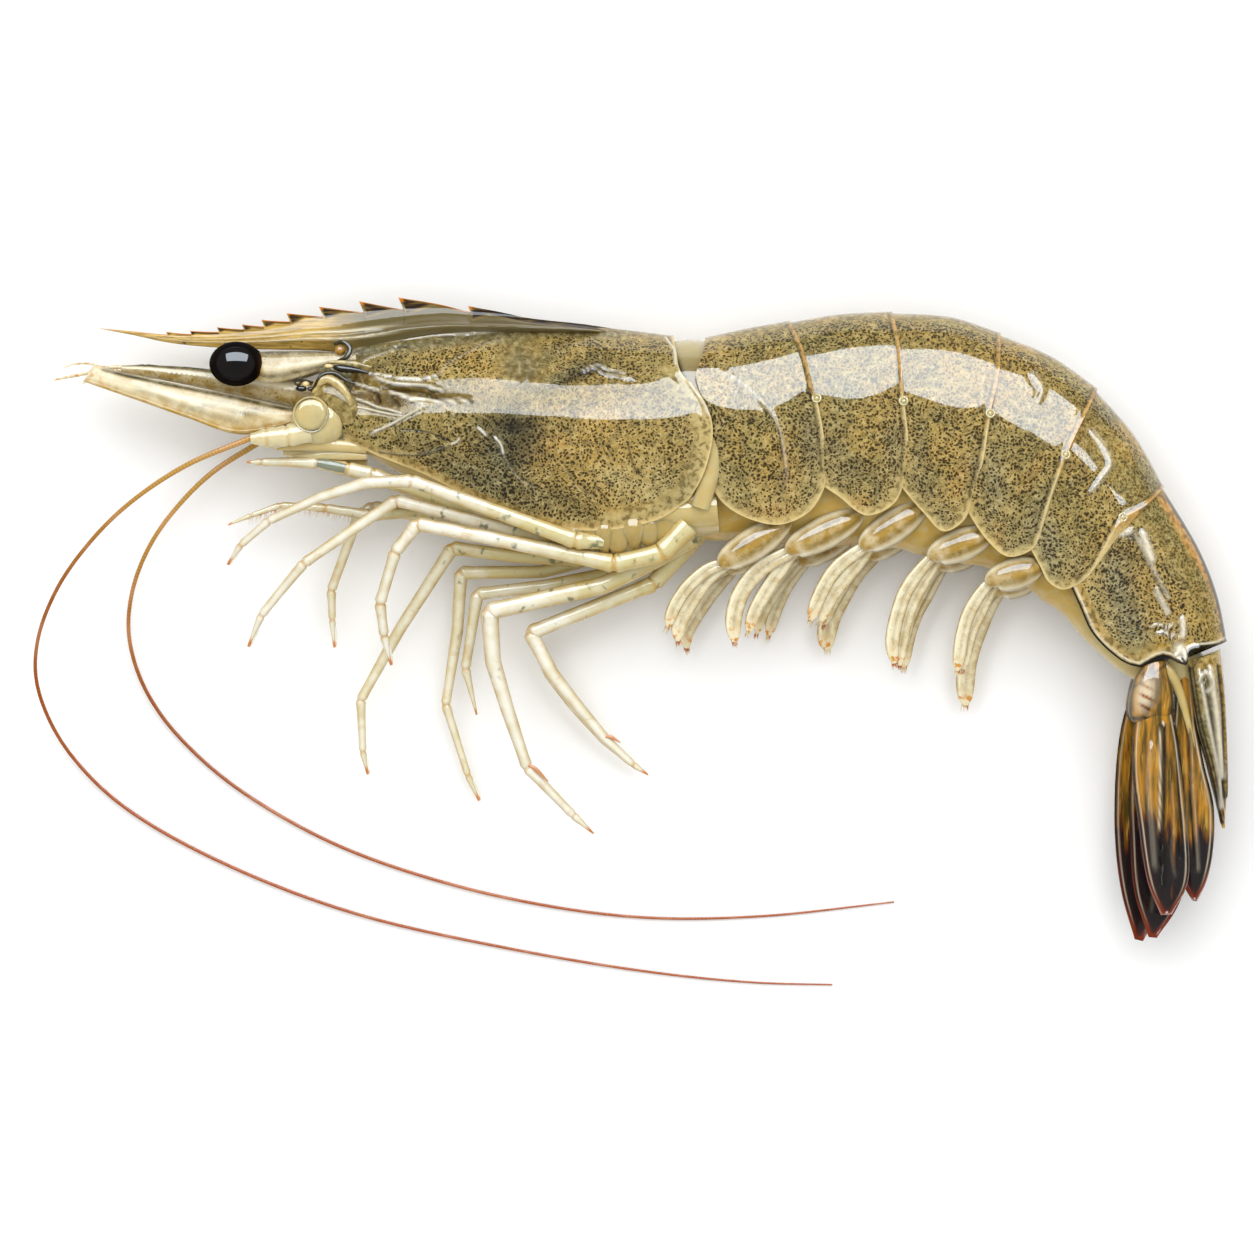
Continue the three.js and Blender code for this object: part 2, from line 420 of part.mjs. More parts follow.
/** Rings about a jointed line. Each station is [x, y, z, half-width in plan, half-thickness in height]. */
function limb(stations, { sides = 8, smooth = 0, grow = 0 } = {}) {
  const line = smooth ? smoothed(stations, smooth) : stations;
  const places = line.map(([x, y, z]) => new THREE.Vector3(x, y, z));
  places[0].addScaledVector(places[0].clone().sub(places[1]).normalize(), grow);
  places.at(-1).addScaledVector(places.at(-1).clone().sub(places.at(-2)).normalize(), grow);
  const rings = [];
  const addRing = (centre, along, wide, thick, inner = null, stretch = 1) => {
    const out = new THREE.Vector3(0, 0, 1).cross(along).normalize();
    const up = along.clone().cross(out);
    rings.push(Array.from({ length: sides }, (_, k) => {
      const angle = (2 * Math.PI * (k + 0.5)) / sides;
      const sideways = out.clone().multiplyScalar(Math.cos(angle) * (wide + grow));
      if (inner && sideways.dot(inner) > 0) sideways.multiplyScalar(stretch);
      return centre.clone().add(sideways).addScaledVector(up, Math.sin(angle) * (thick + grow));
    }));
  };
  const directions = places.slice(1).map((p, i) => p.clone().sub(places[i]).normalize());
  line.forEach(([, , , wide, thick = wide], i) => {
    const before = directions[Math.max(i - 1, 0)];
    const after = directions[Math.min(i, directions.length - 1)];
    const along = before.clone().add(after).normalize();
    const half = before.angleTo(after) / 2;
    const bends = !smooth && i > 0 && i < line.length - 1 && half > LEAST_KNEE;
    const reach = (wide + grow) * Math.tan(half) + JOINT_RUN;
    if (bends) addRing(places[i].clone().addScaledVector(before, -reach), before, wide, thick);
    const pinch = bends ? JOINT_PINCH : 1;
    addRing(places[i], along, wide * pinch, thick * pinch, after.clone().sub(before), 1 / Math.cos(half));
    if (bends) addRing(places[i].clone().addScaledVector(after, reach), after, wide, thick);
  });
  return solid(fanEnded(rings));
}

const LEG_SIDES = 6;
const LEAST_KNEE = 0.11; // half the bend, in radians, from which a station is a knee
const JOINT_RUN = 0.25; // length of the soft joint on each side of a knee
const JOINT_PINCH = 0.9; // how much slimmer a limb is at the joint itself

/** Stations of a limb that bends smoothly, with steps between its ends. */
function smoothed(stations, steps) {
  const curve = new THREE.CatmullRomCurve3(stations.map(([x, y, z]) => new THREE.Vector3(x, y, z)), false, "centripetal");
  return Array.from({ length: steps + 1 }, (_, i) => {
    const t = i / steps;
    const { x, y, z } = curve.getPoint(t);
    const [wide, thick] = [3, 4].map((k) => readList(stations.map((s) => s[k] ?? s[3]), t));
    return [x, y, z, wide, thick];
  });
}

/** A thin curved leaf between two edges. Its middle stands out by the arch, on the side of the sign. */
function leaf({ left, right, heights, thickness, arch, sign = 1, steps = 8, across = 4 }) {
  const [leftAt, rightAt] = [left, right].map(planCurve);
  const rings = [];
  for (let i = 0; i <= steps; i += 1) {
    const t = i / steps;
    const skin = (share, face) => {
      const { x, y } = leftAt(t).lerp(rightAt(t), share);
      const bulge = 1 - (2 * share - 1) ** 2;
      const off = readList(heights, t) + arch * bulge;
      return new THREE.Vector3(x, y, MID_Z + sign * off + (face * thickness * (0.35 + 0.65 * bulge)) / 2);
    };
    const upper = Array.from({ length: across + 1 }, (_, k) => skin(k / across, 1));
    const lower = Array.from({ length: across + 1 }, (_, k) => skin(1 - k / across, -1));
    rings.push([...upper, ...lower]);
  }
  return solid(fanEnded(rings));
}

/** A rounded body: its middle, and its three half-sizes. */
function egg([x, y, z], [rx, ry, rz], grow = 0, detail = [14, 9]) {
  const sphere = new THREE.SphereGeometry(1, ...detail);
  sphere.rotateX(Math.PI / 2).scale(rx + grow, ry + grow, rz + grow).translate(x, y, z);
  return solid(sphere);
}

// ---- Materials ----------------------------------------------------------------------------

const finish = (color, roughness) => new THREE.MeshStandardMaterial({ color, roughness, metalness: 0 });
const SHELL = finish(0x9a8a5a, 0.25);
const FLESH = finish(0xc4b07a, 0.35);
const LIMB = finish(0xe4dec6, 0.3);
const BLADE = finish(0xb0a579, 0.3);
const TAIL_BLADE = finish(0x8a6632, 0.25);
const EYE_BLACK = finish(0x0c0908, 0.08);
const FEELER = finish(0xa8643c, 0.35);

const shrimp = new THREE.Group();

/** Adds a solid to the model under its name. */
function add(name, body, material) {
  const mesh = new THREE.Mesh(geometryOf(largest(body)), material);
  mesh.name = name;
  shrimp.add(mesh);
}

// ---- Trunk --------------------------------------------------------------------------------

// The line of the abdomen's underside: [x, y, half-width in plan, share of the full half-width across].
const UNDERSIDE = [[7.6, -8.2, 3.2, 0.95], [17, -8.5, 3.7, 1], [23.5, -8.6, 3.8, 1], [31, -9.6, 3.8, 1],
  [38, -11.8, 3.4, 0.95], [43.6, -15, 2.8, 0.85],
  [46.9, -19, 2, 0.65], [49, -22.9, 1.7, 0.5], [51.3, -26, 0.9, 0.35]];
const BOX_CORNER = Math.SQRT2; // how far out the corners of a square of half-width 1 are

/** The fleshy underside of the abdomen. */
function underside(grow) {
  const stations = UNDERSIDE.map(([x, y, wide, share]) => [x, y, MID_Z, wide, KEEL_HALF_WIDTH * share]);
  return limb(stations, { sides: 10, smooth: 12, grow });
}

/** The square-sided hollow between the flaps, which holds the underside and the swimmerets' bases. */
function channel() {
  const stations = UNDERSIDE.map(([x, y, wide, share]) =>
    [x, y, MID_Z, wide * BOX_CORNER, CHANNEL_HALF_WIDTH * share * BOX_CORNER]);
  return limb([[4.5, -8.1, ...stations[0].slice(2)], ...stations], { sides: 4, smooth: 12, grow: GAP * BOX_CORNER });
}

/** The underside of the head and chest, between the lower edges of the carapace. */
function chestLine(grow) {
  const stations = [
    [-32.6, -0.2, 1.3, 2.2], [-28.3, -1.9, 1.9, 3], [-22.7, -4.5, 2.2, 3.5], [-15.5, -7.9, 2.5, 4], [-9, -9.4, 2.9, 4.3],
    [-3, -9.8, 3.1, 4.4], [2, -8.9, 3.1, 4.4], [6.9, -8.2, 3, 4.2],
  ];
  return limb(stations.map(([x, y, wide, thick]) => [x, y, MID_Z, wide, thick]), { sides: 10, smooth: 10, grow });
}

const COXA_PLACES = [[-9.6, -11.1], [-6.2, -11.6], [-2.9, -11.8], [0.3, -11.6], [3.4, -10.7]];
const COXA_OFF = 3.3;

/** The knobs that the legs grow from, on both sides. */
function coxae(grow) {
  return joined(...COXA_PLACES.flatMap(([x, y]) => [1, -1].map((sign) =>
    egg([x, y, MID_Z + sign * COXA_OFF], [1.55, 1.75, 1.2], grow, [8, 4]))));
}

/** The rostrum's outline, from its tip along the teeth and back along its lower edge. */
function rostrumShape() {
  const { tip, teeth, toothDepths, crestEnd, root, underside } = ROSTRUM;
  const outline = [tip];
  teeth.forEach(([x, y], i) => {
    const deep = toothDepths[i];
    outline.push([x - 0.2 * deep, y - 0.75 * deep], [x, y], [x + 0.75 * deep, y - 0.85 * deep]);
  });
  outline.push(...crestEnd, root, ...underside);
  return new THREE.Shape(outline.map(([x, y]) => new THREE.Vector2(x, y)));
}

function rostrum() {
  const { thickness, ridge } = ROSTRUM;
  const blade = new THREE.ExtrudeGeometry(rostrumShape(), { depth: thickness, bevelEnabled: false });
  blade.translate(0, 0, MID_Z - thickness / 2);
  const rib = limb(ridge.map(([x, y, wide]) => [x, y, MID_Z, wide * 0.8, wide + 0.25]), { sides: 6, smooth: 6 });
  return joined(solid(blade), rib);
}

function buildTrunk() {
  const chestRoom = joined(chestLine(GAP), coxae(GAP));
  const carapace = cutBy(plate(CARAPACE), chestRoom);
  add("carapace", joined(carapace, rostrum()), SHELL);
  add("neck_skin", plate(NECK), FLESH);

  const hollow = channel();
  let front = FIRST_RING_FRONT;
  RINGS.forEach(({ back, belly, rear, halfWidths }, i) => {
    const edges = {
      back: [front[0], ...back, rear[0]],
      belly: [front.at(-1), ...belly, rear.at(-1)],
      front,
      rear,
    };
    add(`abdomen_ring_${i + 1}`, cutBy(plate({ ...edges, halfWidths, flare: TILE_STEP }), hollow), SHELL);
    front = movedBack(rear, GAP + 0.08);
  });
  add("abdomen_underside", underside(0), FLESH);
  add("chest_underside", joined(chestLine(0), coxae(0)), FLESH);
}

// ---- Head, limbs and tail -----------------------------------------------------------------

const SIDES = [["near", 1], ["far", -1]];

/** Stations with their third value, a distance out from the halving plane, turned into a height. */
const outward = (stations, sign) => stations.map(([x, y, off, ...size]) => [x, y, MID_Z + sign * off, ...size]);

/** Buds round a place out from the halving plane. */
const bud = ({ at: [x, y], off, radii }, sign, grow = 0, detail = [11, 7]) =>
  egg([x, y, MID_Z + sign * off], radii, grow, detail);

function buildHead() {
  for (const [side, sign] of SIDES) {
    const eyeRoom = bud(EYE, sign, GAP);
    add(`eye_${side}`, bud(EYE, sign, 0, [14, 9]), EYE_BLACK);
    add(`eye_stalk_${side}`, cutBy(limb(outward(EYE_STALK, sign), { sides: 8, smooth: 5 }), eyeRoom), SHELL);
    const stem = limb(outward(ANTENNULE_STEM, sign), { sides: 7 });
    const whip = limb(outward(ANTENNULE_WHIP, sign), { sides: 5, smooth: 7 });
    add(`antennule_${side}`, joined(stem, whip), SHELL);

    const antennaStem = limb(outward(ANTENNA_STEM, sign), { sides: 8 });
    add(`antenna_base_${side}`, joined(bud(ANTENNA_BODY, sign), bud(ANTENNA_KNUCKLE, sign), antennaStem), FLESH);
    add(`antennal_scale_${side}`, leaf({ ...ANTENNAL_SCALE, sign }), BLADE);
    const line = FEELERS[side].map(([x, y, z], i) => {
      const radius = readList(FEELERS.radii, i / (FEELERS[side].length - 1));
      return [x, y, z, radius, radius];
    });
    add(`feeler_${side}`, limb(line, { sides: 5, smooth: FEELERS.steps }), FEELER);
  }
  add("mouthparts", cutBy(limb(outward(MOUTH, 1), { sides: 8 }), chestLine(GAP)), FLESH);
}

function buildLimbs() {
  const chestRoom = joined(chestLine(GAP), coxae(GAP));
  for (const [side] of SIDES) {
    add(`maxilliped_${side}`, cutBy(limb(MAXILLIPEDS[side], { sides: 6 }), chestRoom), LIMB);
    LEGS[side].forEach((stations, i) => {
      add(`leg_${side}_${i + 1}`, cutBy(limb(stations, { sides: LEG_SIDES }), chestRoom), LIMB);
    });
  }
}

/** One swimmeret: its stout base and the leaves that hang from it, in one piece. */
function swimmeret({ from, joint, leaves }, sign) {
  const height = MID_Z + sign * SWIMMERET_OFF;
  const [rootSize, middleSize, thick] = SWIMMERET_BASE;
  const middle = [lerp(from[0], joint[0], 0.5), lerp(from[1], joint[1], 0.5)];
  const base = limb([[...from, height, rootSize, thick], [...middle, height, middleSize, thick],
    [...joint, height, 0.9, 0.7]], { sides: 7, smooth: 3 });
  const blades = leaves.map(([half, path], k) => {
    const rooted = [[lerp(joint[0], from[0], LEAF_ROOT), lerp(joint[1], from[1], LEAF_ROOT)], ...path];
    const stations = rooted.map(([x, y], i) => {
      const t = i / (rooted.length - 1);
      const wide = half * Math.sqrt(Math.max(0.02, 1 - (2 * Math.max(t, 0.5) - 1) ** 4));
      return [x, y, height - 0.35 - (k ? 0.5 : 0) - 1.1 * t, wide * lerp(0.7, 1, Math.min(1, 3 * t)), lerp(0.4, 0.2, t)];
    });
    return limb(stations, { sides: 6, smooth: 5 });
  });
  return joined(base, ...blades);
}

function buildSwimmerets() {
  const bodyRoom = underside(GAP);
  for (const [side, sign] of SIDES) {
    SWIMMERETS[side].forEach((measures, i) => {
      add(`swimmeret_${side}_${i + 1}`, cutBy(swimmeret(measures, sign), bodyRoom), BLADE);
    });
  }
}

function buildTail() {
  add("telson", plate(TELSON), SHELL);
  for (const [side, sign] of SIDES) {
    add(`tail_joint_${side}`, limb(outward(TAIL_JOINT, sign), { sides: 8 }), SHELL);
  }
  Object.entries(TAIL_BLADES).forEach(([name, measures]) => add(name, leaf(measures), TAIL_BLADE));
}

buildTrunk();
buildHead();
buildLimbs();
buildSwimmerets();
buildTail();

export default shrimp;
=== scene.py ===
"""A raw whiteleg shrimp, whole and head-on, lying on its right side and seen from straight above.

The tables hold millimetres in the frame of the CAD part: +X from head to tail, +Y from belly to
back and +Z from the table up. "Near" pieces belong to the left side, which faces up, and "far"
pieces to the right side. Meshes are made in millimetres and scaled to metres when they are built.
"""

import logging
import math
from dataclasses import dataclass, field
from enum import Enum
from typing import Any, Callable, Optional, Sequence, Union

import bmesh
import bpy
import numpy as np
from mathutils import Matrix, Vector
from mathutils.geometry import tessellate_polygon


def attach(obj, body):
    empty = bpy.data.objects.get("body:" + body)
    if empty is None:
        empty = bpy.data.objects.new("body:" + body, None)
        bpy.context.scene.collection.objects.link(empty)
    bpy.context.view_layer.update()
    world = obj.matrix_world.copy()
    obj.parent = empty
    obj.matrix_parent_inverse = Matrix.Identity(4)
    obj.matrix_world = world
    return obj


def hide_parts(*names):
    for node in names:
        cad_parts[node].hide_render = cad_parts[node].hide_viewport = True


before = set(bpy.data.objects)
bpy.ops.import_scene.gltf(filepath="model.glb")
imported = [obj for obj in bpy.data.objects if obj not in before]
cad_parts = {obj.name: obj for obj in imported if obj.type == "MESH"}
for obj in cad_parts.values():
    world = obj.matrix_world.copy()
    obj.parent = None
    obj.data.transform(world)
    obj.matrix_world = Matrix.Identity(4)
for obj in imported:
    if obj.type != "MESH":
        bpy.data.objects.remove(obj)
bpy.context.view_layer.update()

log = logging.getLogger("shrimp")

Floats = np.ndarray
Marks = dict[str, Floats]
Points = Sequence[Sequence[float]]
Colour = tuple[float, float, float]

MM = 0.001
MID = 7.3  # height of the plane that halves the animal
SHARP_EDGE = math.radians(55.0)  # the least angle of an edge that stays sharp


class Side(Enum):
    """The two sides of the animal, with the way each faces across the halving plane."""

    NEAR = 1
    FAR = -1

    @property
    def word(self) -> str:
        """The side's name as the CAD nodes spell it."""
        return self.name.lower()


def rgb(red: float, green: float, blue: float) -> Colour:
    """Turns a screen colour from 0 to 255 into the linear one that shaders take.

    Args:
        red, green, blue: the screen values.

    Returns:
        The three linear values.
    """
    def linear(value: float) -> float:
        """One channel."""
        share = value / 255
        return share / 12.92 if share <= 0.04045 else ((share + 0.055) / 1.055) ** 2.4

    return linear(red), linear(green), linear(blue)


# ---- Lines and grids ------------------------------------------------------------------------


class Path:
    """A smooth line through points, read by its length from 0 to 1. Extra columns ride along."""

    def __init__(self, points: Points, steps: int = 16) -> None:
        """Works out a dense line.

        Args:
            points: rows that begin with a place in the plane or in space.
            steps: how many places are worked out between two points.
        """
        rows = np.asarray(points, float)
        if len(rows) == 2:
            rows = np.array([rows[0], rows.mean(axis=0), rows[1]])
        ends = np.vstack([2 * rows[0] - rows[1], rows, 2 * rows[-1] - rows[-2]])
        gap = np.maximum(np.linalg.norm(np.diff(ends[:, :3], axis=0), axis=1), 1e-9) ** 0.5
        a, b, c, d = ends[:-3], ends[1:-2], ends[2:-1], ends[3:]
        before, here, after = (g[:, None] for g in (gap[:-2], gap[1:-1], gap[2:]))
        leave = ((b - a) / before - (c - a) / (before + here) + (c - b) / here) * here
        arrive = ((c - b) / here - (d - b) / (here + after) + (d - c) / after) * here
        u = np.linspace(0, 1, steps, endpoint=False)[None, :, None]
        b, c, leave, arrive = (v[:, None, :] for v in (b, c, leave, arrive))
        curve = ((2 * u**3 - 3 * u**2 + 1) * b + (u**3 - 2 * u**2 + u) * leave
                 + (3 * u**2 - 2 * u**3) * c + (u**3 - u**2) * arrive)
        self.dense: Floats = np.vstack([curve.reshape(-1, rows.shape[1]), rows[-1]])
        step = np.linalg.norm(np.diff(self.dense[:, :3], axis=0), axis=1)
        self.reach: Floats = np.concatenate([[0], np.cumsum(step)])

    def at(self, share: Floats) -> Floats:
        """The rows at shares of the line's length.

        Args:
            share: values from 0 to 1, of any shape.

        Returns:
            An array of that shape with one more axis, for the columns.
        """
        place = np.clip(share, 0, 1) * self.reach[-1]
        return np.stack([np.interp(place, self.reach, column) for column in self.dense.T], axis=-1)

    def at_x(self, x: Floats) -> Floats:
        """The line's height over x, for a line that never turns back."""
        order = np.argsort(self.dense[:, 0])
        return np.interp(x, self.dense[order, 0], self.dense[order, 1])


def eased(value: Floats, low: float, high: float) -> Floats:
    """A smooth step from 0 at low to 1 at high; low may lie above high."""
    share = np.clip((value - low) / (high - low), 0, 1)
    return share * share * (3 - 2 * share)


def outward(stations: Points, side: Side) -> list[list[float]]:
    """Stations whose third value, a distance out from the halving plane, becomes a height."""
    return [[x, y, MID + side.value * off, *size] for x, y, off, *size in stations]


def smooth_rows(stations: Points, count: int) -> Floats:
    """A number of rows along a smooth line through stations."""
    return Path(stations).at(np.linspace(0, 1, count))


def bell(value: Floats, width: float, middle: float = 0.0) -> Floats:
    """A smooth hump: 1 at the middle, falling away on both sides over the width."""
    return np.exp(-(((value - middle) / width) ** 2))


def turns(count: int) -> Floats:
    """The angles of a number of points spread evenly round a ring."""
    return 2 * np.pi * np.arange(count) / count


def read_list(values: Sequence[float], share: Floats) -> Floats:
    """Reads a list as a function from 0 to 1, with straight runs between its values."""
    return np.interp(share, np.linspace(0, 1, len(values)), values)


def from_line(x: Floats, y: Floats, line: Points) -> tuple[Floats, Floats, Floats]:
    """How places lie beside a line in the plane.

    Args:
        x, y: the places.
        line: the line's corner points.

    Returns:
        The distance, the share of the line's length at the nearest place on it, and the distance
        with its sign, which is positive on the left of the line's direction.
    """
    corners = np.asarray(line, float)[:, :2]
    lengths = np.linalg.norm(np.diff(corners, axis=0), axis=1)
    starts = np.concatenate([[0], np.cumsum(lengths)])
    best = np.full(np.shape(x), 1e9)
    share, signed = np.zeros(np.shape(x)), np.zeros(np.shape(x))
    for (ax, ay), (bx, by), length, start in zip(corners[:-1], corners[1:], lengths, starts[:-1]):
        dx, dy = (bx - ax) / length, (by - ay) / length
        along = np.clip((x - ax) * dx + (y - ay) * dy, 0, length)
        ox, oy = x - ax - along * dx, y - ay - along * dy
        distance = np.hypot(ox, oy)
        closer = distance < best
        best = np.where(closer, distance, best)
        share = np.where(closer, (start + along) / starts[-1], share)
        signed = np.where(closer, np.where(dx * oy - dy * ox > 0, distance, -distance), signed)
    return best, share, signed


@dataclass(frozen=True)
class Ridge:
    """A line that stands up from a shell or is sunk into it, as it shows in the halving plane."""

    line: tuple
    width: float = 0.32
    height: float = 0.16
    crease: float = 0.6  # how dark the furrow beside it is
    side: float = -1.0  # the side that the furrow lies on: 1 left of the line, -1 right
    pale: float = 0.0  # how pale the line itself is: a painted highlight along its crest
    fade: float = 0.12  # share of the line over which each end sinks away
    ink: float = 0.0  # how dark the line itself is

    def shape(self, x: Floats, y: Floats) -> tuple[Floats, Floats, Floats]:
        """What the ridge does to a surface.

        Args:
            x, y: places on the surface.

        Returns:
            The height that it adds, how dark its furrow is, and how strong the painted highlight on its crest
            is.
        """
        path = Path(self.line).dense if len(self.line) > 2 else np.asarray(self.line, float)
        low, high = path[:, :2].min(axis=0) - 3 * self.width, path[:, :2].max(axis=0) + 3 * self.width
        near = (x > low[0]) & (x < high[0]) & (y > low[1]) & (y < high[1])
        lift, dark, pale = (np.zeros(np.shape(x)) for _ in range(3))
        if not near.any():
            return lift, dark, pale
        distance, share, signed = from_line(x[near], y[near], path[::4] if len(path) > 12 else path)
        ends = eased(np.minimum(share, 1 - share), 0, self.fade) if self.fade else 1.0
        crest = bell(distance, self.width) * ends
        beside = bell(signed, 0.8 * self.width, self.side * 1.5 * self.width) * ends
        lift[near] = self.height * (crest - 0.6 * beside)
        dark[near] = np.maximum(self.crease * beside, self.ink * crest)
        pale[near] = self.pale * crest
        return lift, dark, pale


@dataclass(frozen=True)
class Patch:
    """A soft spot of a tone: its middle, its two half-sizes, its turn in degrees, and its strength."""

    x: float
    y: float
    wide: float
    high: float
    turn: float = 0.0
    strength: float = 1.0

    def at(self, x: Floats, y: Floats) -> Floats:
        """The patch's strength at places."""
        turn = math.radians(self.turn)
        along = (x - self.x) * math.cos(turn) + (y - self.y) * math.sin(turn)
        across = (y - self.y) * math.cos(turn) - (x - self.x) * math.sin(turn)
        return self.strength * np.exp(-((along / self.wide) ** 2 + (across / self.high) ** 2))


def patches(x: Floats, y: Floats, spots: Sequence[Patch]) -> Floats:
    """The sum of several patches, at most 1."""
    return np.clip(sum((spot.at(x, y) for spot in spots), np.zeros(np.shape(x))), 0, 1)


def sweep(line: Floats, sides: int = 16, ripple: Optional[Callable[[Floats], Floats]] = None) -> Floats:
    """Oval rings along a line that stays roughly level.

    Args:
        line: rows of x, y, z, half-width in plan and half-thickness in height.
        sides: points on each ring.
        ripple: a factor on the ring's size as a function of the angle round it.

    Returns:
        The points, ring by ring.
    """
    centre = line[:, :3]
    ahead = np.gradient(centre, axis=0)
    ahead /= np.maximum(np.linalg.norm(ahead, axis=1, keepdims=True), 1e-9)
    out = np.cross([0.0, 0.0, 1.0], ahead)
    out /= np.maximum(np.linalg.norm(out, axis=1, keepdims=True), 1e-9)
    up = np.cross(ahead, out)
    angle = turns(sides)
    size = ripple(angle) if ripple else np.ones(sides)
    wide = line[:, 3:4] * np.cos(angle) * size
    thick = line[:, 4:5] * np.sin(angle) * size
    return centre[:, None] + out[:, None] * wide[..., None] + up[:, None] * thick[..., None]


@dataclass
class Jointed:
    """A limb of stiff segments: its stations from the body to the tip.

    Each station is x, y, z, half-width in plan and half-thickness in height.
    """

    stations: Points
    step: float = 0.16
    least_bend: float = 0.2  # a smaller bend, in radians, is part of a segment and no joint
    bulge: float = 0.13
    pinch: float = 0.3

    def line(self) -> tuple[Floats, Floats, Floats]:
        """The line that the limb is swept along.

        Returns:
            Rows for sweep(), the distance of each to the nearest joint, and the share of the length.
        """
        rows = np.asarray(self.stations, float)
        ways = np.diff(rows[:, :3], axis=0)
        lengths = np.linalg.norm(ways, axis=1)
        ways /= lengths[:, None]
        bends = np.arccos(np.clip((ways[:-1] * ways[1:]).sum(axis=1), -1, 1))
        starts = np.concatenate([[0], np.cumsum(lengths)])
        joints = starts[1:-1][bends > self.least_bend]
        last = starts[-2]
        joints = np.append(joints, last) if last not in joints else joints
        reach = np.linspace(0, starts[-1], max(12, int(starts[-1] / self.step)))
        dense = np.stack([np.interp(reach, starts, column) for column in rows.T], axis=-1)
        for _ in range(4):
            dense[1:-1, :3] = 0.25 * dense[:-2, :3] + 0.5 * dense[1:-1, :3] + 0.25 * dense[2:, :3]
        beside = np.abs(reach[:, None] - joints[None, :]).min(axis=1)
        swell = 1 + self.bulge * bell(beside, 0.9) - self.pinch * bell(beside, 0.2)
        dense[:, 3:] *= swell[:, None]
        return dense, beside, reach / starts[-1]


# ---- Meshes ---------------------------------------------------------------------------------


class PieceMaker:
    """Gathers the points, faces and named values of one piece and builds its object."""

    def __init__(self) -> None:
        """Starts empty."""
        self.points: list[Floats] = []
        self.faces: list[list[int]] = []
        self.marks: dict[str, list[tuple[int, Floats]]] = {}
        self.count = 0

    def add(self, points: Floats, faces: list[list[int]], marks: Optional[Marks] = None) -> "PieceMaker":
        """Adds a closed part.

        Args:
            points: rows of x, y, z in millimetres.
            faces: corner numbers of each face, counted within the part.
            marks: values on the points, by name.

        Returns:
            The maker itself.
        """
        start = self.count
        self.points.append(points)
        self.faces.extend([[start + corner for corner in face] for face in faces])
        for name, values in (marks or {}).items():
            self.marks.setdefault(name, []).append((start, np.ravel(values)))
        self.count += len(points)
        return self

    def loft(self, rings: Floats, marks: Optional[Marks] = None, hollow_ends: bool = False) -> "PieceMaker":
        """Adds a body of rings that are closed sideways, with its two ends filled.

        Args:
            rings: points, ring by ring.
            marks: values on those points, by name.
            hollow_ends: whether the end rings bend inwards, as a letter C does.

        Returns:
            The maker itself.
        """
        count, around = rings.shape[:2]
        corner = np.arange(count * around).reshape(count, around)
        beside = np.roll(corner, -1, axis=1)
        quads = np.stack([corner[:-1], beside[:-1], beside[1:], corner[1:]], axis=-1).reshape(-1, 4)
        faces: list[list[int]] = quads.tolist()
        points = rings.reshape(-1, 3)
        values = {name: np.ravel(np.broadcast_to(v, (count, around))) for name, v in (marks or {}).items()}
        if hollow_ends:
            for row in (corner[0], corner[-1]):
                caps = tessellate_polygon([[Vector(points[i]) for i in row]])
                faces.extend([int(row[a]), int(row[b]), int(row[c])] for a, b, c in caps)
            return self.add(points, faces, values)
        for row in (corner[0], corner[-1]):
            middle = len(points)
            points = np.vstack([points, points[row].mean(axis=0)])
            values = {name: np.append(v, v[row].mean()) for name, v in values.items()}
            faces.extend([middle, int(a), int(b)] for a, b in zip(row, np.roll(row, -1)))
        return self.add(points, faces, values)

    def rod(self, stations: Points, rows: int, sides: int, marks: Optional[Marks] = None) -> "PieceMaker":
        """Adds a smooth oval rod.

        Args:
            stations: rows of x, y, z, half-width in plan and half-thickness in height.
            rows: how many rings it gets.
            sides: points on each ring.
            marks: values on its points, by name.

        Returns:
            The maker itself.
        """
        return self.loft(sweep(smooth_rows(stations, rows), sides), marks)

    def ball(self, centre: Sequence[float], radii: Sequence[float], marks: Optional[Marks] = None,
             detail: int = 24, ripple: Optional[Callable[[Floats], Floats]] = None) -> "PieceMaker":
        """Adds a rounded body.

        Args:
            centre: its middle.
            radii: its three half-sizes.
            marks: single values for the whole body, by name.
            detail: points round it.
            ripple: a factor on the size, as a function of the directions of the points.

        Returns:
            The maker itself.
        """
        polar = np.linspace(0.02, np.pi - 0.02, detail // 2 + 1)
        around = turns(detail)
        way = np.stack([np.cos(polar)[:, None] * np.ones(detail), np.sin(polar)[:, None] * np.cos(around),
                        np.sin(polar)[:, None] * np.sin(around)], axis=-1)
        size = ripple(way)[..., None] if ripple else 1.0
        return self.loft(np.asarray(centre, float) + way * np.asarray(radii, float) * size, marks)

    def build(self, name: str, finish: "Finish", nodes: Sequence[str] = ()) -> bpy.types.Object:
        """Makes the object, dresses it and hands it to the frame.

        Args:
            name: the piece's name.
            finish: what it is dressed with.
            nodes: the CAD nodes that it stands for.

        Returns:
            The object.
        """
        mesh = bpy.data.meshes.new(name)
        mesh.from_pydata((np.vstack(self.points) * MM).tolist(), [], self.faces)
        for mark, parts in self.marks.items():
            values = np.zeros(self.count, np.float32)
            for start, part in parts:
                values[start:start + len(part)] = part
            mesh.attributes.new(mark, "FLOAT", "POINT").data.foreach_set("value", values)
        shape = bmesh.new()
        shape.from_mesh(mesh)
        bmesh.ops.recalc_face_normals(shape, faces=shape.faces)
        shape.to_mesh(mesh)
        shape.free()
        mesh.shade_smooth()
        mesh.set_sharp_from_angle(angle=SHARP_EDGE)
        return show(name, mesh, finish, nodes)


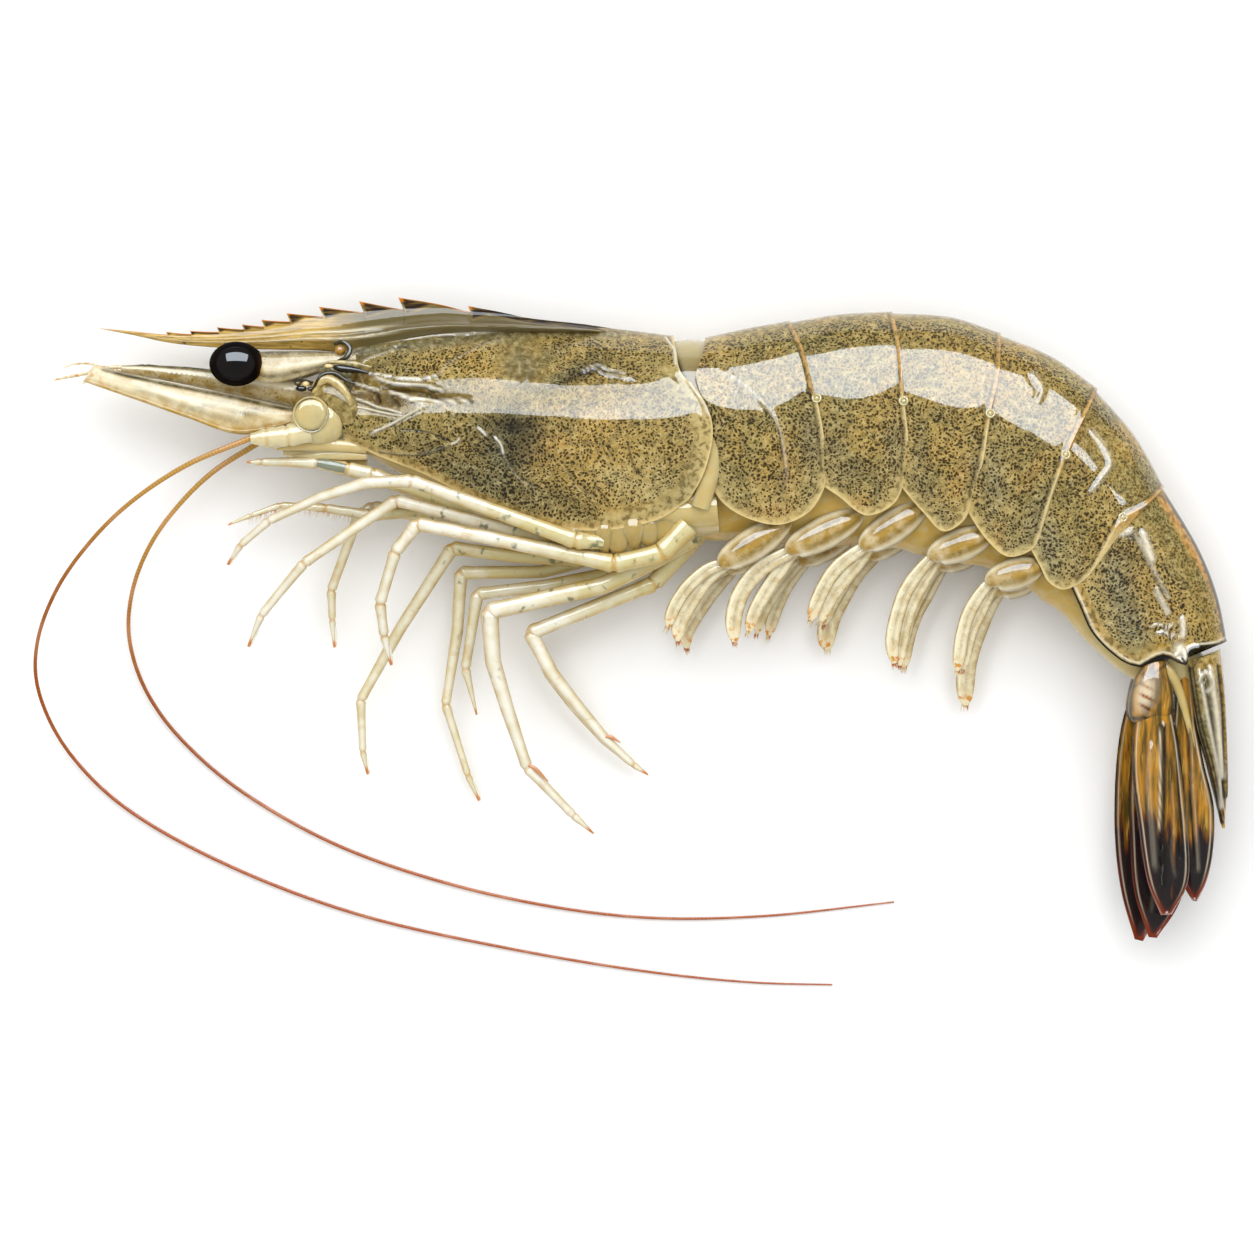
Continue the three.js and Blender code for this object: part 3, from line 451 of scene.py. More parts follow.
def show(name: str, mesh: bpy.types.Mesh, finish: "Finish", nodes: Sequence[str] = ()) -> bpy.types.Object:
    """Puts a finished mesh in the scene as a piece that rides on the body.

    Args:
        name: the piece's name.
        mesh: its mesh, in metres.
        finish: what it is dressed with.
        nodes: the CAD nodes that it stands for.

    Returns:
        The object.
    """
    mesh.name = name
    mesh.materials.clear()
    mesh.materials.append(finish.material())
    piece = bpy.data.objects.new(name, mesh)
    bpy.context.scene.collection.objects.link(piece)
    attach(piece, "root")
    if nodes:
        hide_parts(*nodes)
    log.info("%s: %d points, %d faces", name, len(mesh.vertices), len(mesh.polygons))
    return piece


# ---- Trees of nodes -------------------------------------------------------------------------


class Graph:
    """Adds nodes to a tree through one method."""

    def __init__(self, tree: bpy.types.NodeTree) -> None:
        """Keeps the tree."""
        self.tree = tree

    def node(self, kind: str, settings: Optional[dict[str, Any]] = None,
             inputs: Optional[dict[Union[str, int], Any]] = None) -> bpy.types.Node:
        """Adds a node.

        Args:
            kind: the node's type.
            settings: its own settings, set first.
            inputs: values, values of nodes or sockets for its inputs, by name or number.

        Returns:
            The node.
        """
        node = self.tree.nodes.new(kind)
        for key, value in (settings or {}).items():
            setattr(node, key, value)
        for key, value in (inputs or {}).items():
            socket = node.inputs[key]
            if isinstance(value, Value):
                self.tree.links.new(value.socket, socket)
            elif isinstance(value, bpy.types.NodeSocket):
                self.tree.links.new(value, socket)
            elif socket.type == "RGBA":
                socket.default_value = (*value, 1.0)
            else:
                socket.default_value = value
        return node


class Value:
    """A number that changes over a surface. Plain arithmetic on it adds Math nodes."""

    def __init__(self, graph: Graph, socket: bpy.types.NodeSocket) -> None:
        """Keeps the socket that gives the number."""
        self.graph = graph
        self.socket = socket

    def math(self, operation: str, *others: Union["Value", float]) -> "Value":
        """Adds a Math node with this number first."""
        inputs = dict(enumerate((self, *others)))
        node = self.graph.node("ShaderNodeMath", {"operation": operation}, inputs)
        return Value(self.graph, node.outputs[0])

    def __add__(self, other: Union["Value", float]) -> "Value":
        """Sum."""
        return self.math("ADD", other)

    __radd__ = __add__

    def __mul__(self, other: Union["Value", float]) -> "Value":
        """Product."""
        return self.math("MULTIPLY", other)

    __rmul__ = __mul__

    def __sub__(self, other: Union["Value", float]) -> "Value":
        """Difference."""
        return self.math("SUBTRACT", other)

    def __rsub__(self, other: float) -> "Value":
        """Difference from a plain number."""
        return self.math("MULTIPLY", -1.0).math("ADD", other)

    def __abs__(self) -> "Value":
        """The number without its sign."""
        return self.math("ABSOLUTE")

    def most(self, other: Union["Value", float]) -> "Value":
        """The larger of two numbers."""
        return self.math("MAXIMUM", other)

    def step(self, low: float, high: float) -> "Value":
        """A smooth step from 0 at low to 1 at high."""
        flip = low > high
        node = self.graph.node("ShaderNodeMapRange", {"interpolation_type": "SMOOTHSTEP"},
                               {0: self, 1: min(low, high), 2: max(low, high)})
        share = Value(self.graph, node.outputs[0])
        return 1 - share if flip else share


class Paint(Graph):
    """The nodes of one material, in millimetres on the piece's own object coordinates."""

    def __init__(self, name: str) -> None:
        """Makes an empty material.

        Args:
            name: the material's name.
        """
        self.material = bpy.data.materials.new(name)
        self.material.use_nodes = True
        super().__init__(self.material.node_tree)
        self.tree.nodes.clear()
        place = self.node("ShaderNodeTexCoord").outputs["Object"]
        self.place = self.vector("SCALE", place, scale=1000.0)

    def vector(self, operation: str, first: Any, second: Any = None,
               scale: float = 1.0) -> bpy.types.NodeSocket:
        """A Vector Math node.

        Args:
            operation: what it does.
            first, second: vectors or sockets.
            scale: the factor, where the operation takes one.

        Returns:
            The vector that comes out.
        """
        inputs: dict[Union[str, int], Any] = {0: first}
        if second is not None:
            inputs[1] = second
        if operation == "SCALE":
            inputs["Scale"] = scale
        return self.node("ShaderNodeVectorMath", {"operation": operation}, inputs).outputs[0]

    def mark(self, name: str) -> Value:
        """A value that is kept on the mesh's points."""
        return Value(self, self.node("ShaderNodeAttribute", {"attribute_name": name}).outputs["Fac"])

    def noise(self, scale: float, detail: float = 2.0, place: Any = None, distortion: float = 0.0) -> Value:
        """Soft noise from about 0.25 to 0.75, with scale in cells per millimetre."""
        node = self.node("ShaderNodeTexNoise", None, {
            "Vector": place or self.place, "Scale": scale, "Detail": detail, "Distortion": distortion})
        return Value(self, node.outputs[0])

    def warped(self, scale: float, amount: float, place: Any = None) -> bpy.types.NodeSocket:
        """The place, pushed about by noise.

        Args:
            scale: cells of the noise per millimetre.
            amount: how far it pushes, in millimetres.
            place: what is pushed; the plain place if left out.

        Returns:
            The pushed place.
        """
        start = place or self.place
        node = self.node("ShaderNodeTexNoise", None, {"Vector": start, "Scale": scale, "Detail": 1.0})
        push = self.vector("SUBTRACT", node.outputs[1], (0.5, 0.5, 0.5))
        return self.vector("ADD", start, self.vector("SCALE", push, scale=2 * amount))

    def cells(self, scale: float, place: Any = None, random: float = 1.0) -> Value:
        """The distance to the middle of a cell, with scale in cells per millimetre."""
        node = self.node("ShaderNodeTexVoronoi", None, {
            "Vector": place or self.place, "Scale": scale, "Randomness": random})
        return Value(self, node.outputs["Distance"])

    def mix(self, first: Any, second: Any, share: Union[Value, str]) -> bpy.types.NodeSocket:
        """A colour between two colours.

        Args:
            first, second: colours or sockets.
            share: how much of the second, as a number over the surface or the name of a mark.

        Returns:
            The colour that comes out.
        """
        settings = {"data_type": "RGBA", "clamp_factor": True}
        share = self.mark(share) if isinstance(share, str) else share
        return self.node("ShaderNodeMix", settings, {0: share, 6: first, 7: second}).outputs[2]

    def layers(self, colour: Any, layers: Sequence[tuple[Any, Union[Value, str]]]) -> bpy.types.NodeSocket:
        """A colour with others laid over it in order, each with its share."""
        for upper, share in layers:
            colour = self.mix(colour, upper, share)
        return colour

    def finish(self, gloss: "Gloss", colour: Any, roughness: Union[Value, float],
               height: Optional[Value] = None, depth: float = 0.03,
               wet: Union[Value, float, None] = None) -> bpy.types.Material:
        """Ends the material in one shader.

        Args:
            gloss: the values that are the same all over.
            colour: the base colour.
            roughness: how blurred the reflection is.
            height: relief from 0 to 1.
            depth: how deep that relief is, in millimetres.
            wet: how strong the wet coat is, where it changes over the surface.

        Returns:
            The material.
        """
        inputs: dict[Union[str, int], Any] = {
            "Base Color": colour, "Roughness": roughness, "IOR": gloss.ior, "Specular IOR Level": gloss.shine,
            "Coat Weight": gloss.coat if wet is None else wet, "Coat Roughness": gloss.coat_roughness,
            "Coat IOR": gloss.coat_ior}
        if gloss.soft:
            inputs.update({"Subsurface Weight": gloss.soft, "Subsurface Scale": gloss.soft_reach * MM,
                           "Subsurface Radius": gloss.soft_colour})
        if height is not None:
            inputs["Normal"] = self.node("ShaderNodeBump", None, {
                "Strength": 1.0, "Distance": depth * MM, "Height": height}).outputs[0]
        shader = self.node("ShaderNodeBsdfPrincipled", None, inputs)
        self.node("ShaderNodeOutputMaterial", None, {0: shader.outputs[0]})
        return self.material


@dataclass(frozen=True)
class Gloss:
    """The parts of a wet surface's shader that are the same all over it."""

    coat: float = 1.0
    coat_roughness: float = 0.035
    coat_ior: float = 1.5
    ior: float = 1.4
    shine: float = 0.2
    soft: float = 0.0  # share of light that goes through the skin
    soft_reach: float = 1.0  # in millimetres
    soft_colour: Colour = (1.0, 0.75, 0.4)


# ---- Finishes -------------------------------------------------------------------------------


class Finish:
    """A finish of the shrimp, made into a material once."""

    slot: str = "shell"
    _made: dict[str, bpy.types.Material] = {}

    def material(self) -> bpy.types.Material:
        """The finish's material, made at its first use."""
        name = type(self).__name__
        if name not in Finish._made:
            Finish._made[name] = self.paint(Paint(name))
        return Finish._made[name]

    def paint(self, paint: Paint) -> bpy.types.Material:
        """Adds the finish's nodes.

        Args:
            paint: an empty material.

        Returns:
            The finished material.
        """
        raise NotImplementedError


@dataclass(frozen=True)
class SpeckledShell(Finish):
    """The wet shell: olive and gold under dark worm-like specks, clouded with teal and grey, with painted
    highlight lines.
    """

    slot = "shell"
    gold: Colour = rgb(176, 140, 60)
    olive: Colour = rgb(124, 112, 56)
    moss: Colour = rgb(88, 72, 28)
    teal: Colour = rgb(36, 48, 34)
    # The shell's own grey, which under the carapace's back edge also paints a reflection of the bright
    # surroundings.
    grey: Colour = rgb(112, 110, 86)
    pale: Colour = rgb(204, 188, 134)
    amber: Colour = rgb(190, 136, 48)
    umber: Colour = rgb(84, 58, 18)
    rim: Colour = rgb(226, 202, 140)
    # Near-white painted highlight along ridge crests and edges, standing in for the wet sheen.
    line: Colour = rgb(240, 234, 214)
    speck: Colour = rgb(28, 19, 4)
    furrow: Colour = rgb(20, 17, 8)
    gloss: Gloss = Gloss(shine=0.04, soft=0.08, soft_reach=0.4)

    def paint(self, paint: Paint) -> bpy.types.Material:
        """Clouds, specks, rims, furrows and painted highlight lines."""
        broad = paint.noise(0.13, 3.0).step(0.38, 0.62)
        middle = paint.noise(0.6, 4.0, paint.warped(0.4, 0.8)).step(0.32, 0.68)
        colour = paint.mix(self.olive, self.gold, broad * 0.5 + middle * 0.4 + 0.05)
        colour = paint.layers(colour, [
            (self.grey, "grey"),
            (self.teal, paint.mark("teal") * (middle * 0.3 + 0.85)),
            (self.pale, paint.mark("pale") * (middle * 0.3 + 0.7)),
            (self.amber, "amber"),
            (self.umber, paint.mark("umber") * (middle * 0.5 + 0.5))])
        mottle = paint.noise(1.6, 4.0, paint.warped(0.9, 0.5))
        colour = paint.layers(colour, [
            (self.pale, mottle.step(0.52, 0.68) * 0.42),
            (self.moss, mottle.step(0.52, 0.38) * 0.7)])

        bent = paint.warped(2.0, 0.13, paint.warped(0.3, 0.7))
        bare = paint.mark("bare")
        sparse = paint.mark("sparse")
        patchy = paint.noise(0.35, 2.0)
        cell = paint.cells(3.0, bent, 0.85) + sparse * 0.06 + bare * 0.6 - (patchy - 0.5) * 0.2
        dots = cell.step(0.46, 0.34)
        halo = cell.step(0.46, 0.58) * cell.step(0.85, 0.62) * (1 - bare)
        colour = paint.mix(colour, self.pale, halo * 0.3)
        worm = abs(paint.noise(2.9, 1.0, bent, 0.6) - 0.5) + bare * 0.4 + sparse * 0.02
        worms = worm.step(0.04, 0.016) * patchy.step(0.4, 0.56)
        # The specks fade where the highlight band falls: a painted highlight.
        specks = dots.most(worms * 0.85) * (1 - paint.mark("painted_highlight_fade") * 0.45)
        # Specks, furrows and rims, and last the painted highlight lines.
        colour = paint.layers(colour, [
            (self.speck, specks * 0.88),
            (self.furrow, "dark"),
            (self.rim, "rim"),
            (self.line, "line")])
        height = 0.6 - specks * 0.35 + mottle * 0.5 + paint.noise(1.1, 1.0) * 1.5
        dry = paint.mark("umber").most(paint.mark("veil"))
        return paint.finish(self.gloss, colour, specks * 0.2 + 0.35 + dry * 0.35, height, 0.055,
                            1 - dry * 0.94)


@dataclass(frozen=True)
class RostrumHorn(Finish):
    """The rostrum: straw below, brown-black flanks behind the teeth, orange at their tips, and painted
    highlight lines along the midrib.
    """

    slot = "shell"
    straw: Colour = rgb(206, 172, 90)
    olive: Colour = rgb(158, 130, 64)
    brown: Colour = rgb(34, 20, 8)
    orange: Colour = rgb(200, 116, 8)
    # Painted highlight: the pale lines along the midrib's two ribs.
    light: Colour = rgb(232, 222, 190)
    shade: Colour = rgb(104, 92, 56)
    gloss: Gloss = Gloss(coat=0.55, shine=0.05, soft=0.1)

    def paint(self, paint: Paint) -> bpy.types.Material:
        """Long streaks, dark flanks and bright tips."""
        streak = paint.noise(1.6, 3.0, paint.vector("MULTIPLY", paint.place, (0.22, 2.0, 1.0)))
        colour = paint.mix(self.straw, self.olive, streak.step(0.35, 0.65))
        flecks = paint.cells(1.1, paint.warped(0.8, 0.5)).step(0.22, 0.12)
        colour = paint.layers(colour, [
            (self.brown, flecks * 0.8 * paint.mark("low")),
            (self.brown, paint.mark("flank") * (streak.step(0.25, 0.55) * 0.25 + 0.75)),
            (self.shade, paint.mark("rear") * (1 - paint.mark("flank"))),
            (self.light, "line"),
            (self.orange, "tip")])
        return paint.finish(self.gloss, colour, streak * 0.2 + 0.25, streak + paint.noise(6.0) * 0.4, 0.03)


@dataclass(frozen=True)
class ClearFlesh(Finish):
    """Joint skin, coxae and the underside: pale, cloudy and yellowish."""

    slot = "flesh"
    cream: Colour = rgb(206, 192, 142)
    honey: Colour = rgb(186, 152, 66)
    glass: Colour = rgb(182, 176, 134)
    spot: Colour = rgb(236, 228, 198)
    # Dark spots and rims, and painted shade at both ends of the neck skin where it runs under the plates.
    dark_tone_and_shade: Colour = rgb(44, 42, 22)
    gloss: Gloss = Gloss(coat_roughness=0.05, shine=0.1, soft=0.4, soft_reach=1.2,
                         soft_colour=(1.0, 0.85, 0.5))

    def paint(self, paint: Paint) -> bpy.types.Material:
        """Soft clouds of honey and glass, with amber rims."""
        cloud = paint.noise(0.5, 3.0, paint.warped(0.3, 1.0)).step(0.36, 0.64)
        colour = paint.mix(self.cream, self.honey, cloud * 0.2 + paint.mark("honey") * 0.75)
        colour = paint.layers(colour, [
            (self.glass, paint.noise(1.1, 2.0).step(0.5, 0.68) * 0.35),
            (self.spot, "pale"),
            (self.dark_tone_and_shade, "dark")])
        return paint.finish(self.gloss, colour, cloud * 0.15 + 0.28, paint.noise(2.2, 3.0), 0.05)


@dataclass(frozen=True)
class GlassyLimb(Finish):
    """Legs: milky and clear, with amber joints, blue-grey flecks and orange tips."""

    slot = "limb"
    milk: Colour = rgb(240, 238, 226)
    cream: Colour = rgb(206, 196, 146)
    straw: Colour = rgb(184, 148, 48)
    amber: Colour = rgb(194, 140, 14)
    slate: Colour = rgb(92, 102, 76)
    orange: Colour = rgb(196, 112, 4)
    gloss: Gloss = Gloss(shine=0.1, soft=0.25, soft_reach=0.4, soft_colour=(1.0, 0.9, 0.6))

    def paint(self, paint: Paint) -> bpy.types.Material:
        """Cloudy segments between amber joints."""
        cloud = paint.noise(0.55, 3.0).step(0.35, 0.65)
        colour = paint.mix(self.milk, self.cream, cloud * 0.3 + paint.mark("warm"))
        colour = paint.mix(colour, self.straw, paint.mark("edge") * (cloud * 0.3 + 0.7))
        fleck = paint.noise(0.8, 2.0, paint.warped(0.8, 0.6)).step(0.6, 0.74)
        colour = paint.layers(colour, [
            (self.slate, fleck * paint.mark("fleck") * 0.6),
            (self.slate, paint.mark("band") * 0.85),
            (self.amber, paint.mark("joint") * (cloud * 0.3 + 0.35))])
        blush = paint.noise(0.6, 2.0, paint.warped(0.5, 1.5)).step(0.58, 0.68)
        colour = paint.layers(colour, [
            (self.amber, blush * 0.2),
            (self.orange, paint.mark("tip") * 0.9)])
        return paint.finish(self.gloss, colour, cloud * 0.12 + 0.22, paint.noise(1.6, 3.0), 0.03)


@dataclass(frozen=True)
class SwimLeaf(Finish):
    """Swimmerets and the antennal scale: straw-coloured leaves with pale rims and green veins."""

    slot = "leaf"
    straw: Colour = rgb(228, 219, 186)
    honey: Colour = rgb(174, 140, 60)
    green: Colour = rgb(48, 48, 24)
    # Pale rims; along the antennal scale's rib and the eye stalk's ridge it paints a highlight line.
    rim: Colour = rgb(242, 236, 208)
    amber: Colour = rgb(200, 134, 22)
    hem: Colour = rgb(226, 214, 180)
    gloss: Gloss = Gloss(shine=0.1, soft=0.25, soft_reach=0.8, soft_colour=(1.0, 0.85, 0.55))

    def paint(self, paint: Paint) -> bpy.types.Material:
        """Streaks along each leaf, between pale rims."""
        cloud = paint.noise(0.8, 3.0, paint.warped(0.5, 1.0)).step(0.35, 0.65)
        colour = paint.mix(self.straw, self.honey, cloud * 0.4 + paint.mark("honey") * 0.7)
        colour = paint.mix(colour, self.green, paint.mark("vein") * (cloud * 0.3 + 0.7))
        dots = paint.cells(2.6, paint.warped(1.2, 0.3)).step(0.34, 0.24)
        colour = paint.layers(colour, [
            (self.green, dots * paint.mark("dots") * 0.6),
            (self.rim, "edge")])
        tip = paint.mark("tip")
        colour = paint.layers(colour, [
            (self.hem, tip * 0.8),
            (self.amber, tip * paint.noise(1.6, 2.0).step(0.5, 0.62))])
        return paint.finish(self.gloss, colour, cloud * 0.1 + 0.25, paint.noise(2.5, 3.0), 0.05,
                            1 - paint.mark("dull") * 0.8)


@dataclass(frozen=True)
class TailBlade(Finish):
    """Tail blades: amber at the root, smoke-black towards the end, with a fine red edge and painted
    highlights.
    """

    slot = "tail_blade"
    olive: Colour = rgb(84, 68, 24)
    amber: Colour = rgb(182, 128, 34)
    smoke: Colour = rgb(30, 25, 26)
    wine: Colour = rgb(84, 22, 8)
    orange: Colour = rgb(150, 56, 10)
    # Pale hairlines inside the rims; along the ribs and on the tail joint it is a painted highlight.
    hair: Colour = rgb(236, 220, 190)
    streak: Colour = rgb(216, 172, 84)
    dark: Colour = rgb(18, 15, 11)
    gloss: Gloss = Gloss(shine=0.06, soft=0.08)

    def paint(self, paint: Paint) -> bpy.types.Material:
        """Lengthwise streaks that darken towards the end."""
        long = paint.vector("MULTIPLY", paint.place, (1.0, 0.12, 1.0))
        streak = paint.noise(1.5, 3.0, long).step(0.35, 0.65)
        colour = paint.mix(self.olive, self.amber, streak)
        colour = paint.mix(colour, self.streak, paint.noise(2.4, 2.0, long).step(0.56, 0.7) * 0.5)
        dark = paint.mark("smoke") * 1.4 + (paint.noise(0.9, 3.0, long) - 0.5) * 3.2
        colour = paint.layers(colour, [
            (self.wine, dark.step(0.3, 0.62) * 0.75),
            (self.smoke, dark.step(0.48, 0.85)),
            (self.wine, paint.mark("wine") * (streak * 0.5 + 0.5)),
            (self.orange, "edge"),
            (self.dark, "vein"),
            (self.hair, "hair")])
        return paint.finish(self.gloss, colour, streak * 0.12 + 0.25, streak * 0.6 + paint.noise(4.0) * 0.4,
                            0.05)


@dataclass(frozen=True)
class EyeGlass(Finish):
    """The eye: black glass with a brown rim."""

    slot = "eye"
    black: Colour = rgb(6, 5, 5)
    brown: Colour = rgb(58, 34, 18)
    gloss: Gloss = Gloss(coat_roughness=0.015, ior=1.2, shine=0.0)

    def paint(self, paint: Paint) -> bpy.types.Material:
        """Black, browner towards the stalk."""
        shade = paint.noise(0.5, 2.0).step(0.35, 0.7)
        colour = paint.mix(self.black, self.brown, paint.mark("brown") + shade * 0.08)
        return paint.finish(self.gloss, colour, shade * 0.05 + 0.3, None, 0.0,
                            paint.mark("top") * 0.95 + 0.05)


@dataclass(frozen=True)
class FeelerRod(Finish):
    """The long feelers: yellowish at the base, then reddish brown, in fine rings."""

    slot = "feeler"
    straw: Colour = rgb(190, 148, 70)
    brown: Colour = rgb(150, 80, 22)
    red: Colour = rgb(170, 86, 34)
    joint: Colour = rgb(96, 44, 22)
    bloom: Colour = rgb(206, 150, 110)
    gloss: Gloss = Gloss(coat=0.5, coat_roughness=0.12, shine=0.05)

    def paint(self, paint: Paint) -> bpy.types.Material:
        """Fine rings along the length."""
        reach = paint.mark("reach")
        colour = paint.mix(self.straw, self.brown, reach.step(8.0, 34.0))
        colour = paint.mix(colour, self.red, reach.step(30.0, 70.0))
        ring = (reach * 16.0).math("SINE") * 0.5 + 0.5
        colour = paint.layers(colour, [
            (self.joint, ring.step(0.6, 1.0) * 0.35),
            (self.bloom, paint.noise(0.25, 2.0).step(0.5, 0.7) * 0.35)])
        return paint.finish(self.gloss, colour, ring * 0.15 + 0.3, ring, 0.02)


@dataclass(frozen=True)
class Bristle(Finish):
    """Fine hairs at the ends of leaves and limbs."""

    slot = "leaf"
    root: Colour = rgb(222, 206, 166)
    end: Colour = rgb(188, 110, 56)
    gloss: Gloss = Gloss(coat=0.3, coat_roughness=0.2, soft=0.3, soft_reach=0.3)

    def paint(self, paint: Paint) -> bpy.types.Material:
        """Pale, with amber ends here and there."""
        colour = paint.mix(self.root, self.end, paint.noise(1.4, 2.0).step(0.48, 0.62))
        return paint.finish(self.gloss, colour, paint.noise(3.0) * 0.2 + 0.3)


@dataclass(frozen=True)
class PaleTable(Finish):
    """The plain pale table."""

    colour: Colour = (0.93, 0.93, 0.925)
    gloss: Gloss = Gloss(coat=0.0, coat_roughness=0.5, ior=1.3)

    def paint(self, paint: Paint) -> bpy.types.Material:
        """Even, with the faintest cloud."""
        colour = paint.mix(self.colour, (0.915, 0.915, 0.91), paint.noise(0.004, 1.0))
        return paint.finish(self.gloss, colour, paint.noise(0.01) * 0.1 + 0.85)


# ---- Shapes that repeat or follow a path ----------------------------------------------------


class Recipe(Graph):
    """A geometry tree that runs once on a mesh and leaves a plain mesh."""

    def __init__(self, name: str) -> None:
        """Makes the tree with its way in and out.

        Args:
            name: the tree's name.
        """
        super().__init__(bpy.data.node_groups.new(name, "GeometryNodeTree"))
        self.tree.interface.new_socket("Geometry", in_out="INPUT", socket_type="NodeSocketGeometry")
        self.tree.interface.new_socket("Geometry", in_out="OUTPUT", socket_type="NodeSocketGeometry")
        self.names: dict[str, str] = {}
        self.start = self.node("NodeGroupInput")

    def size(self, name: str, default: float, kind: str = "NodeSocketFloat") -> bpy.types.NodeSocket:
        """Adds a named input.

        Args:
            name: the input's name.
            default: its value where none is given.
            kind: its socket's type.

        Returns:
            The socket inside the tree.
        """
        made = self.tree.interface.new_socket(name, in_out="INPUT", socket_type=kind)
        if kind != "NodeSocketMaterial":
            made.default_value = default
        self.names[name] = made.identifier
        return self.start.outputs[name]

    def named(self, name: str, kind: str = "FLOAT") -> bpy.types.NodeSocket:
        """Reads a value that is kept on the points."""
        return self.node("GeometryNodeInputNamedAttribute", {"data_type": kind}, {"Name": name}).outputs[0]

    def circle(self, sides: Any, radius: float) -> bpy.types.NodeSocket:
        """A circle, as a curve."""
        return self.node("GeometryNodeCurvePrimitiveCircle", {"mode": "RADIUS"}, {
            "Resolution": sides, "Radius": radius}).outputs[0]

    def end(self, geometry: bpy.types.NodeSocket) -> None:
        """Realizes what was repeated, gives it its material and ends the tree."""
        plain = self.node("GeometryNodeRealizeInstances", None, {"Geometry": geometry}).outputs[0]
        smooth = self.node("GeometryNodeSetShadeSmooth", None, {"Geometry": plain}).outputs[0]
        dressed = self.node("GeometryNodeSetMaterial", None, {
            "Geometry": smooth, "Material": self.size("Material", 0.0, "NodeSocketMaterial")}).outputs[0]
        self.node("NodeGroupOutput", None, {"Geometry": dressed})

    def run(self, points: Floats, edges: list[tuple[int, int]], marks: Marks, sizes: dict[str, Any],
            finish: Finish) -> bpy.types.Mesh:
        """Runs the tree on a set of points.

        Args:
            points: rows of x, y, z in millimetres.
            edges: pairs of point numbers.
            marks: values or vectors on the points, by name.
            sizes: values of the tree's inputs, by name.
            finish: what the result is dressed with.

        Returns:
            A plain mesh in metres.
        """
        mesh = bpy.data.meshes.new(self.tree.name)
        mesh.from_pydata((np.asarray(points) * MM).tolist(), edges, [])
        for name, values in marks.items():
            flat = values.ndim == 1
            kept = mesh.attributes.new(name, "FLOAT" if flat else "FLOAT_VECTOR", "POINT")
            kept.data.foreach_set("value" if flat else "vector", np.ravel(values).astype(np.float32))
        carrier = bpy.data.objects.new(self.tree.name, mesh)
        bpy.context.scene.collection.objects.link(carrier)
        modifier = carrier.modifiers.new("recipe", "NODES")
        modifier.node_group = self.tree
        for name, value in {**sizes, "Material": finish.material()}.items():
            modifier[self.names[name]] = value
        bpy.context.view_layer.update()
        graph = bpy.context.evaluated_depsgraph_get()
        made = bpy.data.meshes.new_from_object(carrier.evaluated_get(graph))
        carrier.modifiers.remove(modifier)
        bpy.data.objects.remove(carrier)
        return made


class Rod(Recipe):
    """A round rod along a line whose points carry their radius."""

    def __init__(self) -> None:
        """Line to curve, radius, and a round profile along it."""
        super().__init__("rod_along_a_line")
        sides = self.size("Sides", 10, "NodeSocketInt")
        curve = self.node("GeometryNodeMeshToCurve", None, {"Mesh": self.start.outputs[0]}).outputs[0]
        sized = self.node("GeometryNodeSetCurveRadius", None,
                          {"Curve": curve, "Radius": self.named("thickness")})
        rod = self.node("GeometryNodeCurveToMesh", None, {
            "Curve": sized.outputs[0], "Profile Curve": self.circle(sides, 1.0), "Fill Caps": True})
        scale = rod.inputs.get("Scale")
        if scale is not None:
            self.tree.links.new(self.named("thickness"), scale)
            self.tree.links.remove(sized.inputs["Radius"].links[0])
            sized.inputs["Radius"].default_value = 1.0
        self.end(rod.outputs[0])


class Fringe(Recipe):
    """Tapered bristles that stand on points, each along the way that the point carries."""

    def __init__(self) -> None:
        """A slim cone on each point, turned and scaled at random."""
        super().__init__("fringe_of_bristles")
        length = self.size("Length", 0.001)
        width = self.size("Width", 0.00003)
        spread = self.size("Spread", 0.25)
        seed = self.size("Seed", 1, "NodeSocketInt")
        hair = self.node("GeometryNodeMeshCone", {"fill_type": "NGON"}, {
            "Vertices": 5, "Side Segments": 3, "Radius Top": 0.08, "Radius Bottom": 1.0,
            "Depth": 1.0}).outputs[0]
        random = self.node("FunctionNodeRandomValue", {"data_type": "FLOAT_VECTOR"}, {
            0: (-1.0, -1.0, -1.0), 1: (1.0, 1.0, 1.0), 8: seed}).outputs[0]
        stray = self.node("ShaderNodeVectorMath", {"operation": "SCALE"},
                          {0: random, "Scale": spread}).outputs[0]
        way = self.node("ShaderNodeVectorMath", {"operation": "ADD"}, {
            0: self.named("way", "FLOAT_VECTOR"), 1: stray}).outputs[0]
        turn = self.node("FunctionNodeAlignRotationToVector", {"axis": "Z"}, {"Vector": way}).outputs[0]
        share = self.node("FunctionNodeRandomValue", {"data_type": "FLOAT"}, {2: 0.5, 3: 1.0}).outputs[1]
        long = self.node("ShaderNodeMath", {"operation": "MULTIPLY"}, {0: length, 1: share}).outputs[0]
        scale = self.node("ShaderNodeCombineXYZ", None, {0: width, 1: width, 2: long}).outputs[0]
        placed = self.node("GeometryNodeInstanceOnPoints", None, {
            "Points": self.start.outputs[0], "Instance": hair, "Rotation": turn, "Scale": scale}).outputs[0]
        self.end(placed)


